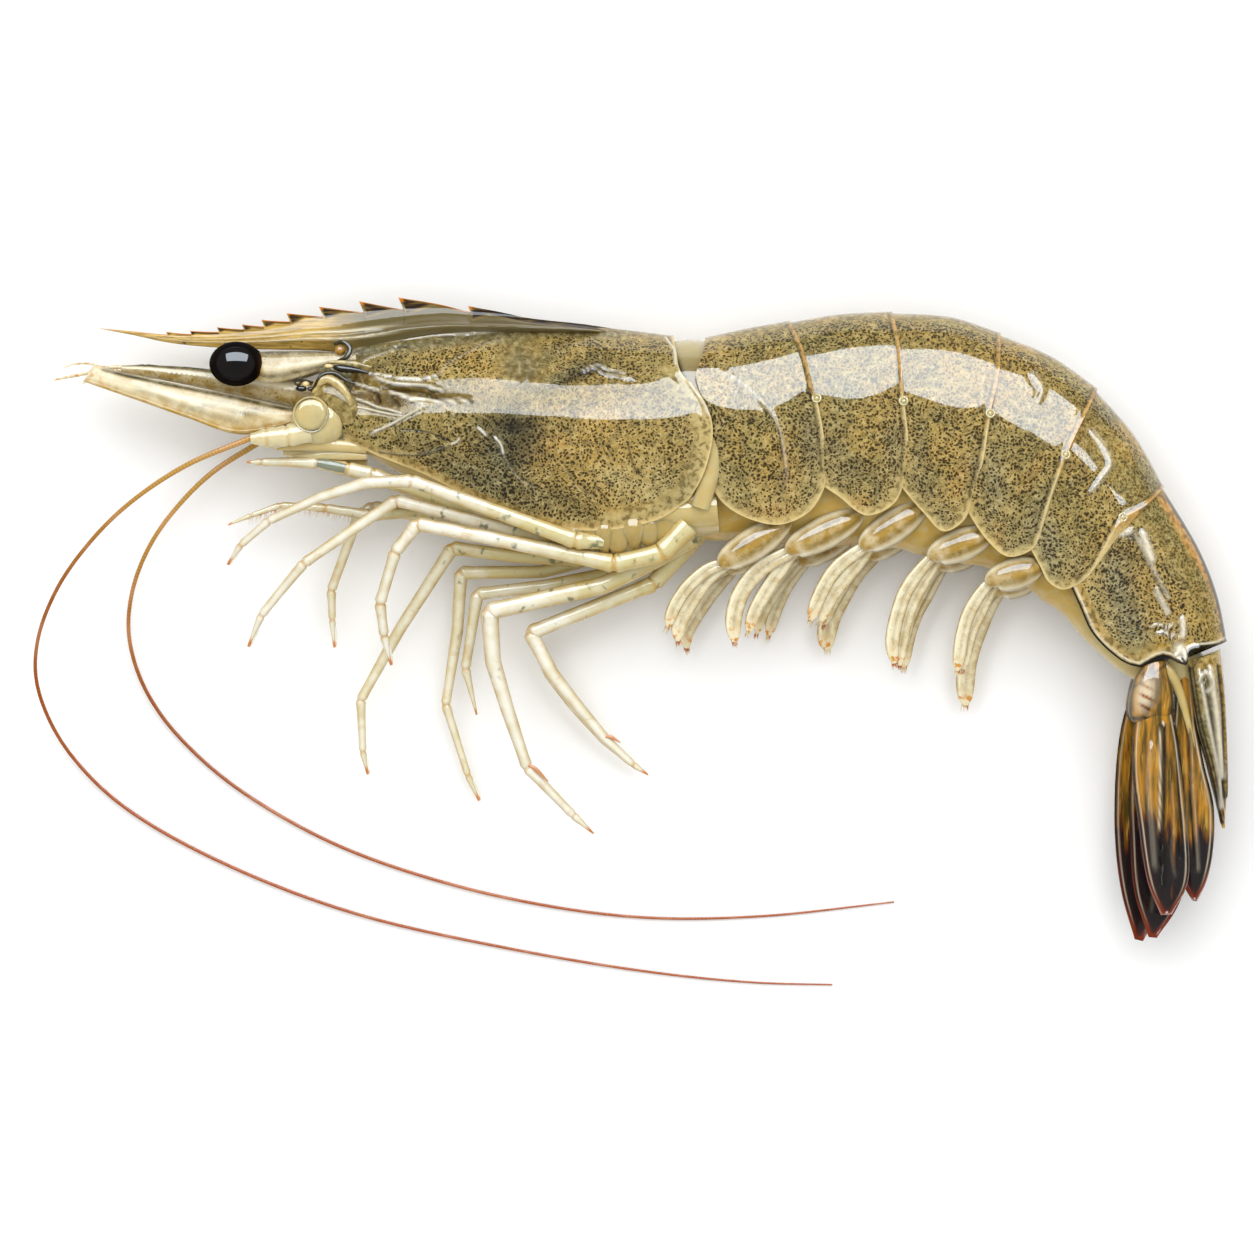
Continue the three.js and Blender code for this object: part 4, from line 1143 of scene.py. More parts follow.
class HingeKnobs(Recipe):
    """The small ringed knobs on which the rings of the abdomen turn."""

    def __init__(self) -> None:
        """A ball in a ring on each point, turned as the point says."""
        super().__init__("hinge_knobs")
        radius = self.size("Radius", 0.0004)
        ball = self.node("GeometryNodeMeshUVSphere", None, {
            "Segments": 16, "Rings": 10, "Radius": 0.62}).outputs[0]
        squashed = self.node("GeometryNodeTransform", None, {
            "Geometry": ball, "Scale": (1.0, 1.0, 0.75)}).outputs[0]
        band = self.node("GeometryNodeCurveToMesh", None, {
            "Curve": self.circle(24, 1.0), "Profile Curve": self.circle(8, 0.3)}).outputs[0]
        both = self.node("GeometryNodeJoinGeometry")
        for part in (squashed, band):
            self.tree.links.new(part, both.inputs[0])
        turn = self.node("FunctionNodeAlignRotationToVector", {"axis": "Z"}, {
            "Vector": self.named("way", "FLOAT_VECTOR")}).outputs[0]
        placed = self.node("GeometryNodeInstanceOnPoints", None, {
            "Points": self.start.outputs[0], "Instance": both.outputs[0], "Rotation": turn, "Scale": radius})
        self.end(placed.outputs[0])


# ---- Shell ----------------------------------------------------------------------------------


@dataclass
class Plate:
    """A plate of the shell between four edges, whole from the left side to the right."""

    back: Points
    rear: Points
    belly: Points
    front: Points
    half_widths: Sequence[float]
    along: int = 84
    crown_steps: int = 34
    side_steps: int = 44
    crown: Sequence[float] = (0.52, 0.52)  # share of the depth that the round of the back takes
    round: Sequence[float] = (0.5, 0.5)  # 0.5 is an oval back, and more makes it a ridge
    taper: float = 0.28
    depth: float = 1.0  # share of a full plate's depth that this one reaches
    flare: float = 0.14  # how far the rear edge stands out and the front edge is tucked in
    roof: float = 0.6  # the depth from which the sides hang down as flaps
    flap: float = 0.35
    core: float = 2.2
    ridges: Sequence[Ridge] = ()
    tones: dict[str, Sequence[Patch]] = field(default_factory=dict)
    rim: float = 0.9
    dense_front: float = 1.0

    def place(self, along: Floats, down: Floats) -> Floats:
        """Places in the halving plane between the four edges.

        Args:
            along: shares from the front edge to the rear one, as a column.
            down: shares from the back to the belly, as a row.

        Returns:
            The places, with x and y on the last axis.
        """
        back, rear, belly, front = (Path(edge) for edge in (self.back, self.rear, self.belly, self.front))
        t, w = along[..., None], down[..., None]
        across = front.at(down) + (rear.at(down) - front.at(down)) * t
        upright = back.at(along) + (belly.at(along) - back.at(along)) * w
        corners = [path.at(np.array([0.0, 1.0])) for path in (back, belly)]
        flat = [pair[0] + (pair[1] - pair[0]) * t for pair in corners]
        return across + upright - (flat[0] + (flat[1] - flat[0]) * w)

    def half_width(self, along: Floats, down: Floats) -> Floats:
        """The half-width across the halving plane at shares along and down the plate."""
        deep = down * self.depth
        crown, power = read_list(self.crown, along), read_list(self.round, along)
        back = np.clip(1 - (1 - np.minimum(deep, crown) / crown) ** 2, 0, 1) ** power
        side = 1 - self.taper * (np.maximum(deep - crown, 0) / (1 - crown)) ** 2
        return read_list(self.half_widths, along) * np.where(deep < crown, back, side)

    def marks(self, x: Floats, y: Floats, down: Floats) -> tuple[Marks, Floats]:
        """The tones of the plate, its painted highlight lines and the relief on it.

        Args:
            x, y: places on it.
            down: their shares from the back to the belly.

        Returns:
            The values on the points by name, and the relief in millimetres.
        """
        values = {name: patches(x, y, spots) for name, spots in self.tones.items()}
        lift, dark, pale = (np.zeros(x.shape) for _ in range(3))
        for ridge in self.ridges:
            up, furrow, crest = ridge.shape(x, y)
            lift, dark, pale = lift + up, np.maximum(dark, furrow), np.maximum(pale, crest)
        rear_gap = from_line(x, y, Path(self.rear).dense[::4])[0]
        low_gap = from_line(x, y, Path(self.belly).dense[::4])[0]
        gap = np.minimum(rear_gap, low_gap)
        rim = bell(gap, 0.22) * self.rim
        lift = lift + 0.09 * bell(gap, 0.26) - 0.05 * bell(gap, 0.3, 0.7)
        values["rim"] = np.clip(rim + values.get("rim", 0.0), 0, 1)
        # The painted highlight lines: the ridges' pale crests and any line patches.
        values["line"] = np.clip(pale + values.get("line", 0.0), 0, 1)
        values["dark"] = np.clip(dark + values.get("dark", 0.0), 0, 1)
        return values, lift

    def rings(self) -> tuple[Floats, Marks]:
        """The plate's points and values, in rings from its front edge to its rear one.

        Returns:
            The points and the values on them.
        """
        along = (np.linspace(0, 1, self.along + 1) ** self.dense_front)[:, None]
        turn = np.linspace(0, np.pi / 2, self.crown_steps, endpoint=False)
        top = min(0.9, float(np.mean(self.crown)) / self.depth)
        down = np.concatenate([top * (1 - np.cos(turn)), np.linspace(top, 1, self.side_steps + 1)])[None, :]
        plan = self.place(along, down)
        skin = np.concatenate([plan, self.half_width(along, down)[..., None]], axis=-1)
        normal = np.cross(np.gradient(skin, axis=1), np.gradient(skin, axis=0))
        normal /= np.maximum(np.linalg.norm(normal, axis=-1, keepdims=True), 1e-9)
        normal *= np.sign(normal[..., 2].mean())
        normal[:, 0, 2] = 0
        values, lift = self.marks(plan[..., 0], plan[..., 1], down * np.ones_like(along))
        stand = self.flare * (2 * along**2 - 1) * eased(down, 0.0, 0.2)
        lift = lift * (0.15 + 0.85 * eased(down, 0.0, 0.12)) + stand
        tilt = np.degrees(np.arctan2(normal[..., 1], normal[..., 2]))
        # Painted highlight: where the surface tilts towards the lamps, so that the highlight band falls
        # there, the specks are faded.
        values["painted_highlight_fade"] = eased(tilt, 4.0, 9.0) * eased(tilt, 33.0, 28.0)
        skin = skin + normal * lift[..., None]
        skin[:, 0, 2] = 0

        hang = np.linspace(1, self.roof, 7)[None, :] if self.roof < 1 else np.array([[0.98]])
        wall = self.flap + self.core * ((1 - hang) / max(1 - self.roof, 0.02)) ** 1.6
        inner = np.concatenate([self.place(along, hang),
                                np.maximum(self.half_width(along, hang) - wall, 0.3)[..., None]], axis=-1)
        nearest = np.abs(down[0][None, :] - hang[0][:, None]).argmin(axis=1)
        loop = np.concatenate([skin, inner], axis=1)
        kept = {name: np.concatenate([v, v[:, nearest]], axis=1) for name, v in values.items()}
        near, far = loop.copy(), loop[:, :0:-1].copy()
        near[..., 2] = MID + near[..., 2]
        far[..., 2] = np.maximum(MID - far[..., 2], 0.0)
        points = np.concatenate([near, far], axis=1)
        return points, {name: np.concatenate([v, v[:, :0:-1]], axis=1) for name, v in kept.items()}


def moved(points: Points, distance: float) -> list[list[float]]:
    """The corner points of an edge, moved to the side that faces the tail.

    Args:
        points: the corners.
        distance: how far they move; below zero towards the head.

    Returns:
        The moved corners.
    """
    rows = np.asarray(points, float)
    way = np.vstack([rows[1] - rows[0], rows[2:] - rows[:-2], rows[-1] - rows[-2]])
    way /= np.linalg.norm(way, axis=1, keepdims=True)
    return (rows + np.stack([-way[:, 1], way[:, 0]], axis=-1) * distance).tolist()


# Ridges of the carapace. Where a ridge has a pale value, it paints a highlight along its crest.
CARAPACE_RIDGES = (
    Ridge(((-33.6, 9.2), (-30.2, 9.45), (-26.9, 9.85), (-23.4, 10.25), (-19.4, 10.4), (-15.4, 10.8),
           # Where a ridge has a pale value, it paints a highlight along it.
           (-9.0, 11.0)),
          0.16, 0.2, 0.25, -1, 0.55, 0.06),
    Ridge(((-23.6, 10.15), (-21.4, 10.15), (-19.8, 10.35)), 0.09, -0.05, 0.0, -1, 0.0, 0.1, 0.9),
    Ridge(((-28.0, 8.6), (-26.8, 8.95), (-25.6, 8.75)), 0.12, -0.08, 0.0, -1, 0.0, 0.3, 0.85),
    Ridge(((-31.3, 7.2), (-30.2, 7.8), (-28.6, 8.3), (-26.9, 8.85)), 0.12, 0.08, 0.5, 1, 0.25, 0.1),
    Ridge(((-23.0, 5.7), (-21.6, 7.1), (-19.7, 8.2), (-18.1, 9.05), (-15.4, 9.95)), 0.12, 0.1, 0.5, 1, 0.2),
    Ridge(((-30.5, 6.05), (-29.3, 5.9), (-27.5, 5.6), (-25.6, 5.4), (-24.2, 5.45), (-22.7, 5.8)), 0.08, 0.14,
          0.9, -1, 0.9, 0.05),
    Ridge(((-29.9, 5.8), (-28.1, 5.0), (-26.2, 4.75), (-24.2, 4.6), (-22.7, 4.2), (-21.9, 3.8)), 0.15, 0.22,
          0.9, -1, 0.8, 0.1),
    Ridge(((-29.0, 4.9), (-27.5, 4.6), (-24.2, 4.1), (-22.5, 3.4), (-18.5, 3.15)), 0.22, 0.26, 0.6, -1, 0.0,
          0.08),
    Ridge(((-23.9, 4.2), (-23.3, 3.9), (-22.8, 3.75)), 0.22, -0.12, 0.0, -1, 0.0, 0.3, 0.95),
    Ridge(((-28.2, 4.1), (-26.5, 3.6), (-24.8, 3.25), (-22.1, 2.95), (-18.6, 2.95)), 0.11, 0.14, 0.4, -1,
          0.95, 0.05),
    Ridge(((-28.2, 4.05), (-26.7, 3.55), (-25.4, 3.0), (-24.2, 2.7)), 0.12, 0.14, 0.8, -1, 0.9, 0.06),
    Ridge(((-34.6, 5.65), (-33.0, 5.3), (-31.2, 4.75), (-29.8, 4.35), (-29.0, 4.2)), 0.11, 0.2, 0.9, -1,
          0.95, 0.05),
    Ridge(((-31.8, 3.3), (-30.5, 2.85), (-29.2, 2.3), (-28.1, 2.05), (-26.5, 1.6)), 0.11, 0.2, 0.8, -1, 0.95,
          0.05),
    Ridge(((-32.9, 2.3), (-31.2, 2.3), (-29.2, 1.85), (-27.5, 1.5), (-26.5, 1.4)), 0.11, 0.16, 0.5, -1, 0.95,
          0.05),
    Ridge(((-29.9, -0.4), (-28.2, 0.25), (-26.2, 1.35), (-23.8, 2.6)), 0.12, 0.2, 0.35, -1, 0.85, 0.08),
    Ridge(((-29.8, 4.3), (-29.2, 3.5), (-28.9, 2.5)), 0.17, -0.14, 0.0, 1, 0.0, 0.15, 0.9),
    Ridge(((-31.0, 5.0), (-30.2, 4.3), (-29.6, 3.4)), 0.12, 0.08, 0.7, 1, 0.0, 0.2),
    Ridge(((-28.1, 3.6), (-27.3, 2.9), (-26.7, 2.2)), 0.2, -0.1, 0.0, 1, 0.0, 0.25, 0.8),
    Ridge(((-28.1, 0.5), (-27.0, 0.95), (-26.2, 1.3)), 0.12, -0.06, 0.0, 1, 0.0, 0.2, 0.8),
    Ridge(((-22.1, 1.65), (-20.8, 1.2), (-19.6, 0.95)), 0.08, -0.05, 0.0, -1, 0.0, 0.2, 0.8),
    Ridge(((-27.3, -0.05), (-25.6, -0.15), (-23.8, -0.4), (-22.1, -1.05), (-21.0, -1.55)), 0.1, -0.06, 0.0,
          -1, 0.0, 0.1, 0.85),
    Ridge(((-21.4, -1.7), (-20.7, -1.4), (-20.4, -1.0)), 0.09, 0.08, 0.6, -1, 0.9, 0.1),
    Ridge(((-29.7, -2.2), (-27.0, -2.6), (-24.9, -2.7), (-22.7, -2.2), (-21.0, -1.6)), 0.12, 0.1, 0.8, -1,
          0.1),
    Ridge(((-18.5, 0.1), (-17.5, -0.8)), 0.11, 0.1, 0.54, -1, 0.9, 0.05),
    Ridge(((-16.7, -0.9), (-16.0, -1.7), (-15.7, -2.8)), 0.11, 0.1, 0.54, -1, 0.85, 0.05),
    Ridge(((-12.6, 6.5), (-13.3, 5.3), (-13.9, 4.2)), 0.12, 0.06, 0.3, 1, 0.1),
    Ridge(((-7.6, 6.0), (-5.6, 6.8), (-4.4, 6.3), (-2.4, 5.9)), 0.12, 0.12, 0.8, -1, 0.55, 0.1),
    Ridge(((-6.0, 6.5), (-5.0, 5.9), (-3.4, 5.6), (-1.4, 5.2)), 0.1, 0.1, 0.7, -1, 0.4, 0.1),
    Ridge(((-2.4, -1.4), (-1.8, -3.9), (-1.0, -5.3)), 0.12, -0.06, 0.0, 1, 0.0, 0.15, 0.7),
    Ridge(((-5.9, -6.2), (-4.6, -7.7), (-4.2, -8.6)), 0.12, -0.06, 0.0, 1, 0.0, 0.15, 0.75),
    Ridge(((-17.0, -0.3), (-15.3, -3.6), (-14.1, -5.3), (-12.0, -6.6)), 0.13, 0.06, 0.5, 1, 0.1),
    Ridge(((-9.4, -4.2), (-7.5, -6.6), (-5.6, -7.6)), 0.12, 0.05, 0.5, 1, 0.05),
    Ridge(((1.6, 10.1), (2.6, 8.4), (2.7, 6.8)), 0.12, 0.12, 0.8, 1, 0.7, 0.05),
    Ridge(((3.9, 6.3), (4.4, 4.6), (5.6, 2.9), (6.3, 1.3)), 0.14, 0.16, 0.75, 1, 0.9, 0.05),
)

CARAPACE_TONES: dict[str, Sequence[Patch]] = {
    "teal": (Patch(-10.4, 8.0, 4.2, 0.8, 35, 0.55), Patch(-14.6, -1.0, 3.2, 2.6, 0, 1.1),
             Patch(-15.6, -3.4, 3.2, 2.4, -35, 0.7), Patch(-19.8, -4.9, 5.4, 1.7, -24, 0.75),
             Patch(-11.5, -7.6, 5.0, 1.8, -16, 0.5), Patch(-24.8, -1.4, 5.5, 1.7, -14, 0.3),
             Patch(-9.0, 5.7, 3.6, 0.9, 30, 0.9), Patch(-5.4, 10.5, 3.2, 0.5, 5, 0.4)),
    "dark": (Patch(-6.6, 6.2, 2.2, 0.55, 22, 0.8), Patch(-14.6, 0.5, 3.6, 1.2, 0, 0.6),
             Patch(-14.2, -1.7, 2.6, 1.9, 0, 0.45),
             Patch(-29.0, 6.9, 2.0, 0.35, 24, 0.5), Patch(-32.5, 6.2, 1.4, 0.5, -15, 0.7)),
    # Grey: the long bands just under the back edge partly paint the reflection of the bright surroundings;
    # the other patches are the shell's own grey.
    "grey": (Patch(-14.0, 6.9, 2.6, 2.4, 0, 0.75), Patch(-22.7, 9.4, 10.3, 0.9, 6, 0.9),
             Patch(-5.4, 10.3, 6.5, 0.6, 0, 0.6), Patch(4.3, 0.0, 1.1, 9.7, 0, 0.3),
             Patch(-31.5, 8.3, 2.4, 0.7, 10, 0.6)),
    "pale": (Patch(-0.2, -6.5, 3.9, 2.6, 0, 0.35), Patch(-4.1, -5.2, 1.7, 1.1, 0, 0.5)),
    "amber": (Patch(-9.7, -2.4, 4.4, 2.6, 0, 0.3), Patch(-3.2, 1.0, 2.6, 1.6, 0, 0.2),
              Patch(-19.4, 6.3, 2.8, 1.7, 0, 0.15), Patch(-10.2, -1.6, 1.4, 0.7, 0, 0.3)),
    "umber": (Patch(-30.3, 3.4, 2.6, 1.2, -24, 0.95), Patch(-27.2, 2.9, 2.0, 1.3, -20, 0.95),
              Patch(-23.4, 3.8, 5.0, 0.75, -8, 1.0), Patch(-31.5, 6.2, 2.2, 1.0, -10, 0.8),
              Patch(-6.6, 5.8, 2.2, 0.4, 20, 0.6)),
    "bare": (Patch(-13.8, 6.9, 2.4, 2.6), Patch(-22.1, 9.7, 11.9, 0.7, 6),
             Patch(-1.1, 10.3, 6.5, 0.5, 0, 0.8),
             Patch(-30.2, 3.4, 3.0, 1.5, -20), Patch(-23.5, 3.7, 5.5, 0.8, -8),
             Patch(-32.2, 6.6, 2.0, 1.6, 0)),
    "veil": (Patch(-20.0, 7.2, 3.8, 2.2, 10, 1.0), Patch(-11.0, 3.4, 11.0, 2.2, 5, 0.46),
             Patch(-28.0, 2.0, 4.0, 2.0, -20, 0.5)),
    # A small painted highlight.
    "line": (Patch(-29.6, -0.35, 0.5, 0.2, 30, 0.4),),
    "sparse": (Patch(-0.5, -2.7, 5.9, 5.4, 0, 0.9), Patch(-30.2, 0.4, 3.2, 2.2, 0, 0.5)),
}


class CarapacePlate(Plate):
    """The carapace, with its smooth, pale lower edge and rear margin."""

    def marks(self, x: Floats, y: Floats, down: Floats) -> tuple[Marks, Floats]:
        """Adds the two margins to the plate's own tones."""
        values, lift = super().marks(x, y, down)
        rear = from_line(x, y, Path(self.rear).dense[::4])[0]
        low = from_line(x, y, Path(self.belly).dense[::4])[0]
        low_band = eased(low, 1.0, 0.45) * eased(x, 0.0, -6.0)
        margin = eased(np.minimum(rear, low + 8 * eased(x, -4, -12)), 2.4, 1.2) * eased(y, 8.0, 4.0)
        values["amber"] = np.maximum(values["amber"], 0.22 * low_band)
        values["bare"] = np.clip(values["bare"] + low_band + margin, 0, 1)
        values["pale"] = np.maximum(values["pale"], np.maximum(0.55 * margin, 0.5 * low_band))
        lift = lift + 0.12 * bell(low, 0.4, 0.75) * eased(x, 0.0, -6.0)
        return values, lift


@dataclass
class Carapace:
    """The shield over head and chest, with its keel and the rostrum in front of it."""

    tooth_tips: Points = ((-52.1, 10.6), (-49.5, 10.7), (-46.5, 11.1), (-43.8, 11.4), (-41.6, 11.9),
                          (-38.8, 12.6), (-35.2, 13.3), (-30.8, 13.9), (-26.5, 14.3), (-19.3, 13.4))
    tooth_sizes: Sequence[float] = (0.3, 0.35, 0.42, 0.5, 0.62, 0.8, 1.0, 1.25, 1.4, 1.15)
    crest: Points = ((-59.4, 10.98), (-55.5, 10.62), (-52.1, 10.3), (-46.5, 10.6), (-41.6, 11.2),
                     (-38.8, 11.75), (-35.2, 12.3), (-30.8, 12.75), (-26.5, 13.05), (-22, 13.1),
                     (-19.3, 12.75), (-15.6, 12.45), (-12.5, 12.0), (-7, 11.4), (-3.5, 10.85), (-1.5, 10.4))
    underside: Points = ((-59.4, 10.92), (-55.6, 10.2), (-52.1, 9.45), (-47.4, 8.95), (-41.4, 8.7),
                         (-36.4, 8.6), (-33, 8.4), (-29, 8.9), (-22, 9.9), (-12, 10.3), (-1.5, 10.2))
    midrib: Points = ((-59, 0.1), (-52, 0.32), (-46, 0.45), (-40, 0.6), (-34, 0.9), (-29, 1.3), (-22, 1.9),
                      (-12, 2.2), (-1.5, 1.6))

    def shield(self) -> bpy.types.Object:
        """The shield itself.

        Returns:
            The piece.
        """
        plate = CarapacePlate(
            ridges=CARAPACE_RIDGES, tones=CARAPACE_TONES, dense_front=1.25, roof=0.7,
            back=((-33.4, 9.2), (-30.8, 10.3), (-26.5, 11.1), (-20.6, 11.8), (-13, 11.7), (-5.4, 11.1),
                  (2.5, 10.2)),
            rear=((2.5, 10.2), (3.3, 6), (5.1, 4), (6.4, 1.5), (6.7, -0.4), (6.3, -3), (5.4, -5.5),
                  (4.1, -7.6)),
            belly=((-32.8, -1.2), (-28.3, -3.2), (-24.5, -4.7), (-20.1, -6.9), (-15.7, -8.7), (-10.9, -10.4),
                   (-6.5, -10.9), (-2.2, -10.5), (1.3, -9.5), (4.1, -7.6)),
            front=((-33.4, 9.2), (-32.5, 8), (-31.5, 6.3), (-32.2, 3.8), (-33.2, 0.5), (-32.8, -1.2)),
            half_widths=(4.4, 5.9, 6.8, 7.3, 7.6, 7.7), along=300, crown_steps=60, side_steps=56, flare=0.0,
            crown=(0.78, 0.66, 0.58, 0.53, 0.54, 0.56), round=(1.4, 1.35, 1.2, 1.1, 0.8, 0.55))
        return PieceMaker().loft(*plate.rings(), hollow_ends=True).build("carapace_shield", SpeckledShell())

    def crest_at(self, x: Floats) -> tuple[Floats, Floats, Floats]:
        """The saw of the rostrum over x.

        Args:
            x: places along it.

        Returns:
            The height of its edge, how far that stands over the plain crest, and the tooth's own
            share, which is 0 at its tip and 1 where it has run out.
        """
        tips, sizes = np.array(self.tooth_tips), np.array(self.tooth_sizes)
        crest = Path(self.crest)
        reach = np.append(np.diff(tips[:, 0]), 6.0) * 0.93
        rise, share = np.zeros(x.shape), np.ones(x.shape)
        for (tip, height), length in zip(tips, reach):
            here = (x >= tip) & (x < tip + length)
            run = (x - tip) / length
            top = height - float(crest.at_x(np.array(tip)))
            rise = np.where(here, top * (1 - run) ** 1.15, rise)
            share = np.where(here, run * length / (2.6 * sizes[tips[:, 0] == tip][0]), share)
        return crest.at_x(x) + rise, rise, share

    def blade(self, maker: PieceMaker) -> None:
        """The thin toothed blade of the rostrum and the keel that it runs out into.

        Args:
            maker: where it is added.
        """
        tips = np.array(self.tooth_tips)[:, 0]
        x = np.unique(np.concatenate([np.linspace(-59.35, -1.6, 520), tips, tips - 0.004]))[:, None]
        down = np.concatenate([np.linspace(0, 0.25, 12), np.linspace(0.3, 1, 22)])[None, :]
        top, rise, share = self.crest_at(x)
        low = Path(self.underside).at_x(x)
        y = top + (low - top) * down
        rib = np.interp(x, *np.asarray(self.midrib).T)
        base = top - rise
        flat = (base - y) / (base - low)
        swell = rib * bell(flat, 0.24, 0.62) + 0.08 + 0.3 * np.clip(flat, 0, 0.3) / 0.3 * eased(x, -40, -34)
        gate = eased(x, -57, -44) * eased(x, -26, -31)
        groove = 0.2 * bell(flat, 0.05, 0.56) * gate
        # Two thin ribs along the midrib, whose pale colour paints their highlights.
        line = bell(flat, 0.035, 0.46) + bell(flat, 0.035, 0.66)
        line = line * eased(x, -57, -48) * eased(x, -26, -31)
        half = (swell - groove + 0.09 * line) * eased(x, -59.5, -56.5) * (0.1 + 0.9 * eased(x, -1.5, -9))
        size = np.interp(x, tips, self.tooth_sizes)
        below = (top - y) / size
        wedge = eased(share, 0.0, 0.06) * eased(share + below * 0.75, 1.15, 0.85) * eased(below, 0.06, 0.16)
        edge = eased(top - y, 0.32, 0.22) * eased(x, -53, -48)
        rest = eased(x, -20, -17) * eased(top - y, 0.65, 0.45)
        tip = eased(share, 0.14, 0.06) * eased(below, 0.4, 0.2)
        tip = tip + 0.55 * eased(top - y, 0.11, 0.07) * eased(x, -17, -21)
        near = np.stack([x - 0.55 * np.maximum(y - base, 0), y, MID + half], axis=-1)
        far = near[:, ::-1].copy()
        far[..., 2] = MID - half[:, ::-1]
        brow = eased(top - y, 0.1, 0.06) * eased(x, -54, -50) * eased(x, -18, -20)
        sole = eased(down, 0.955, 0.975) * eased(x, -32, -36)
        end = eased(x, -58.2, -59.3)
        flank = np.maximum(np.maximum(wedge, edge * 0.85), np.maximum(rest, 0.8 * sole))
        marks = {"flank": flank, "line": line * 0.75, "low": eased(down, 0.6, 0.75),
                 "rear": eased(x, -37, -30),
                 "tip": np.maximum(np.maximum(tip, brow), end)}
        wide = {name: np.broadcast_to(v, y.shape) for name, v in marks.items()}
        maker.loft(np.concatenate([near, far], axis=1),
                   {name: np.concatenate([v, v[:, ::-1]], axis=1) for name, v in wide.items()})

    def build(self) -> None:
        """Makes the shield and the rostrum."""
        shield = self.shield()
        maker = PieceMaker()
        self.blade(maker)
        maker.build("rostrum", RostrumHorn())
        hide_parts("carapace")


@dataclass
class NeckSkin:
    """The pale joint skin that shows behind the carapace."""

    half_widths: Sequence[float] = (7.0, 7.1)
    flank: Points = ((5.2, 4.2, 5.9), (6.3, 2.0, 6.1), (6.9, -1.0, 6.2), (6.7, -3.6, 6.0), (6.1, -6.0, 5.7),
                     (5.4, -8.4, 5.2))

    def build(self) -> None:
        """Makes the skin over the back and the folds down both flanks."""
        plate = Plate(back=((2.0, 9.6), (4.3, 9.75), (6.6, 9.6)),
                      rear=((6.6, 9.6), (6.3, 7.9), (5.9, 6.3), (5.9, 3.6)),
                      belly=((4.6, 3.6), (5.9, 3.6)), front=((2.0, 9.6), (2.6, 7.8), (3.4, 5.8), (4.6, 3.6)),
                      half_widths=self.half_widths, along=20, crown_steps=20, side_steps=8, depth=0.4,
                      roof=1.0, flap=1.6, flare=0.0, rim=0.0)
        rings = plate.rings()[0]
        y = rings[..., 1]
        share = np.linspace(0, 1, len(rings))[:, None] * np.ones(y.shape)
        hem = bell(np.minimum(share, 1 - share), 0.12)
        # The skin is darker towards the belly; the extra dark at both ends, where it runs under the plates,
        # is painted shade.
        maker = PieceMaker().loft(rings, {
            "honey": 0.6 * eased(y, 9.4, 6.0),
            "dark": np.clip(0.25 + 0.3 * eased(y, 9.2, 6.5) + 0.6 * hem, 0, 1)}, hollow_ends=True)
        for side in Side:
            line = [[x, y, MID + side.value * off, 1.0, 0.8] for x, y, off in self.flank]
            maker.rod(line, 60, 24, {"honey": 0.3})
        maker.build("neck_skin_fold", ClearFlesh(), ["neck_skin"])


@dataclass
class RingPlate(Plate):
    """A ring of the abdomen, with an amber band at its rear edge and clear lower lobes."""

    band: float = 0.8

    def marks(self, x: Floats, y: Floats, down: Floats) -> tuple[Marks, Floats]:
        """Adds the band, a faint painted highlight line at the rear edge, and the lobes to the plate's own
        tones.
        """
        values, lift = super().marks(x, y, down)
        rear = from_line(x, y, Path(self.rear).dense[::4])[0]
        low = from_line(x, y, Path(self.belly).dense[::4])[0]
        upper = eased(down, 0.62, 0.45)
        band = eased(rear, 0.42, 0.26) * upper * self.band
        lobe = eased(down, 0.66, 1.0)
        zero = np.zeros(x.shape)
        values["amber"] = np.maximum(values.get("amber", zero), band)
        values["dark"] = np.maximum(values["dark"], 0.7 * bell(rear, 0.13, 0.52) * self.band)
        # A faint painted highlight line just inside the rear edge.
        values["line"] = np.maximum(values["line"], 0.18 * bell(rear, 0.09, 0.14) * self.band)
        values["bare"] = np.clip(values.get("bare", zero) + band + eased(low, 0.9, 0.3)
                                 + eased(down, 0.05, 0.02), 0, 1)
        values["pale"] = np.maximum(values.get("pale", zero), 0.3 * lobe + 0.35 * eased(low, 1.0, 0.3))
        values["sparse"] = 0.35 * lobe
        values["rim"] = np.maximum(values["rim"] * (1 - upper), 0.9 * bell(low, 0.22))
        if not self.band:
            self.outline(values, x, y, np.minimum(rear, low))
        return values, lift

    def outline(self, values: Marks, x: Floats, y: Floats, gap: Floats) -> None:
        """Draws the black outline of the last ring, with its amber and clear margins and a painted highlight
        line inside it.

        Args:
            values: the marks that are changed.
            x, y: places on the ring.
            gap: their distance to the lower and the rear edge.
        """
        keel = from_line(x, y, Path(self.back).dense[::4])[0]
        width = 1.4 - 0.8 * eased(y, -13.0, -19.0)
        seam = eased(keel, width, 0.8 * width) * eased(y, -6.4, -7.6)
        margin = eased(gap, 1.5, 0.8) * eased(x, 57.0, 54.0)
        ink = np.maximum(eased(keel, 0.46, 0.36) * eased(y, -6.4, -7.4), eased(gap, 0.27, 0.17))
        values["amber"] = np.maximum(values["amber"] * (1 - margin), np.maximum(0.9 * seam, 0.2 * margin))
        values["pale"] = np.maximum(values["pale"], 0.75 * eased(gap, 1.1, 0.5) * eased(x, 57.0, 54.0))
        values["bare"] = np.clip(values["bare"] + seam + margin, 0, 1)
        values["rim"] = 0 * gap
        # A painted highlight line just inside the outline.
        values["line"] = np.maximum(values["line"], 0.7 * bell(gap, 0.08, 0.38))
        values["dark"] = np.maximum(values["dark"], ink)


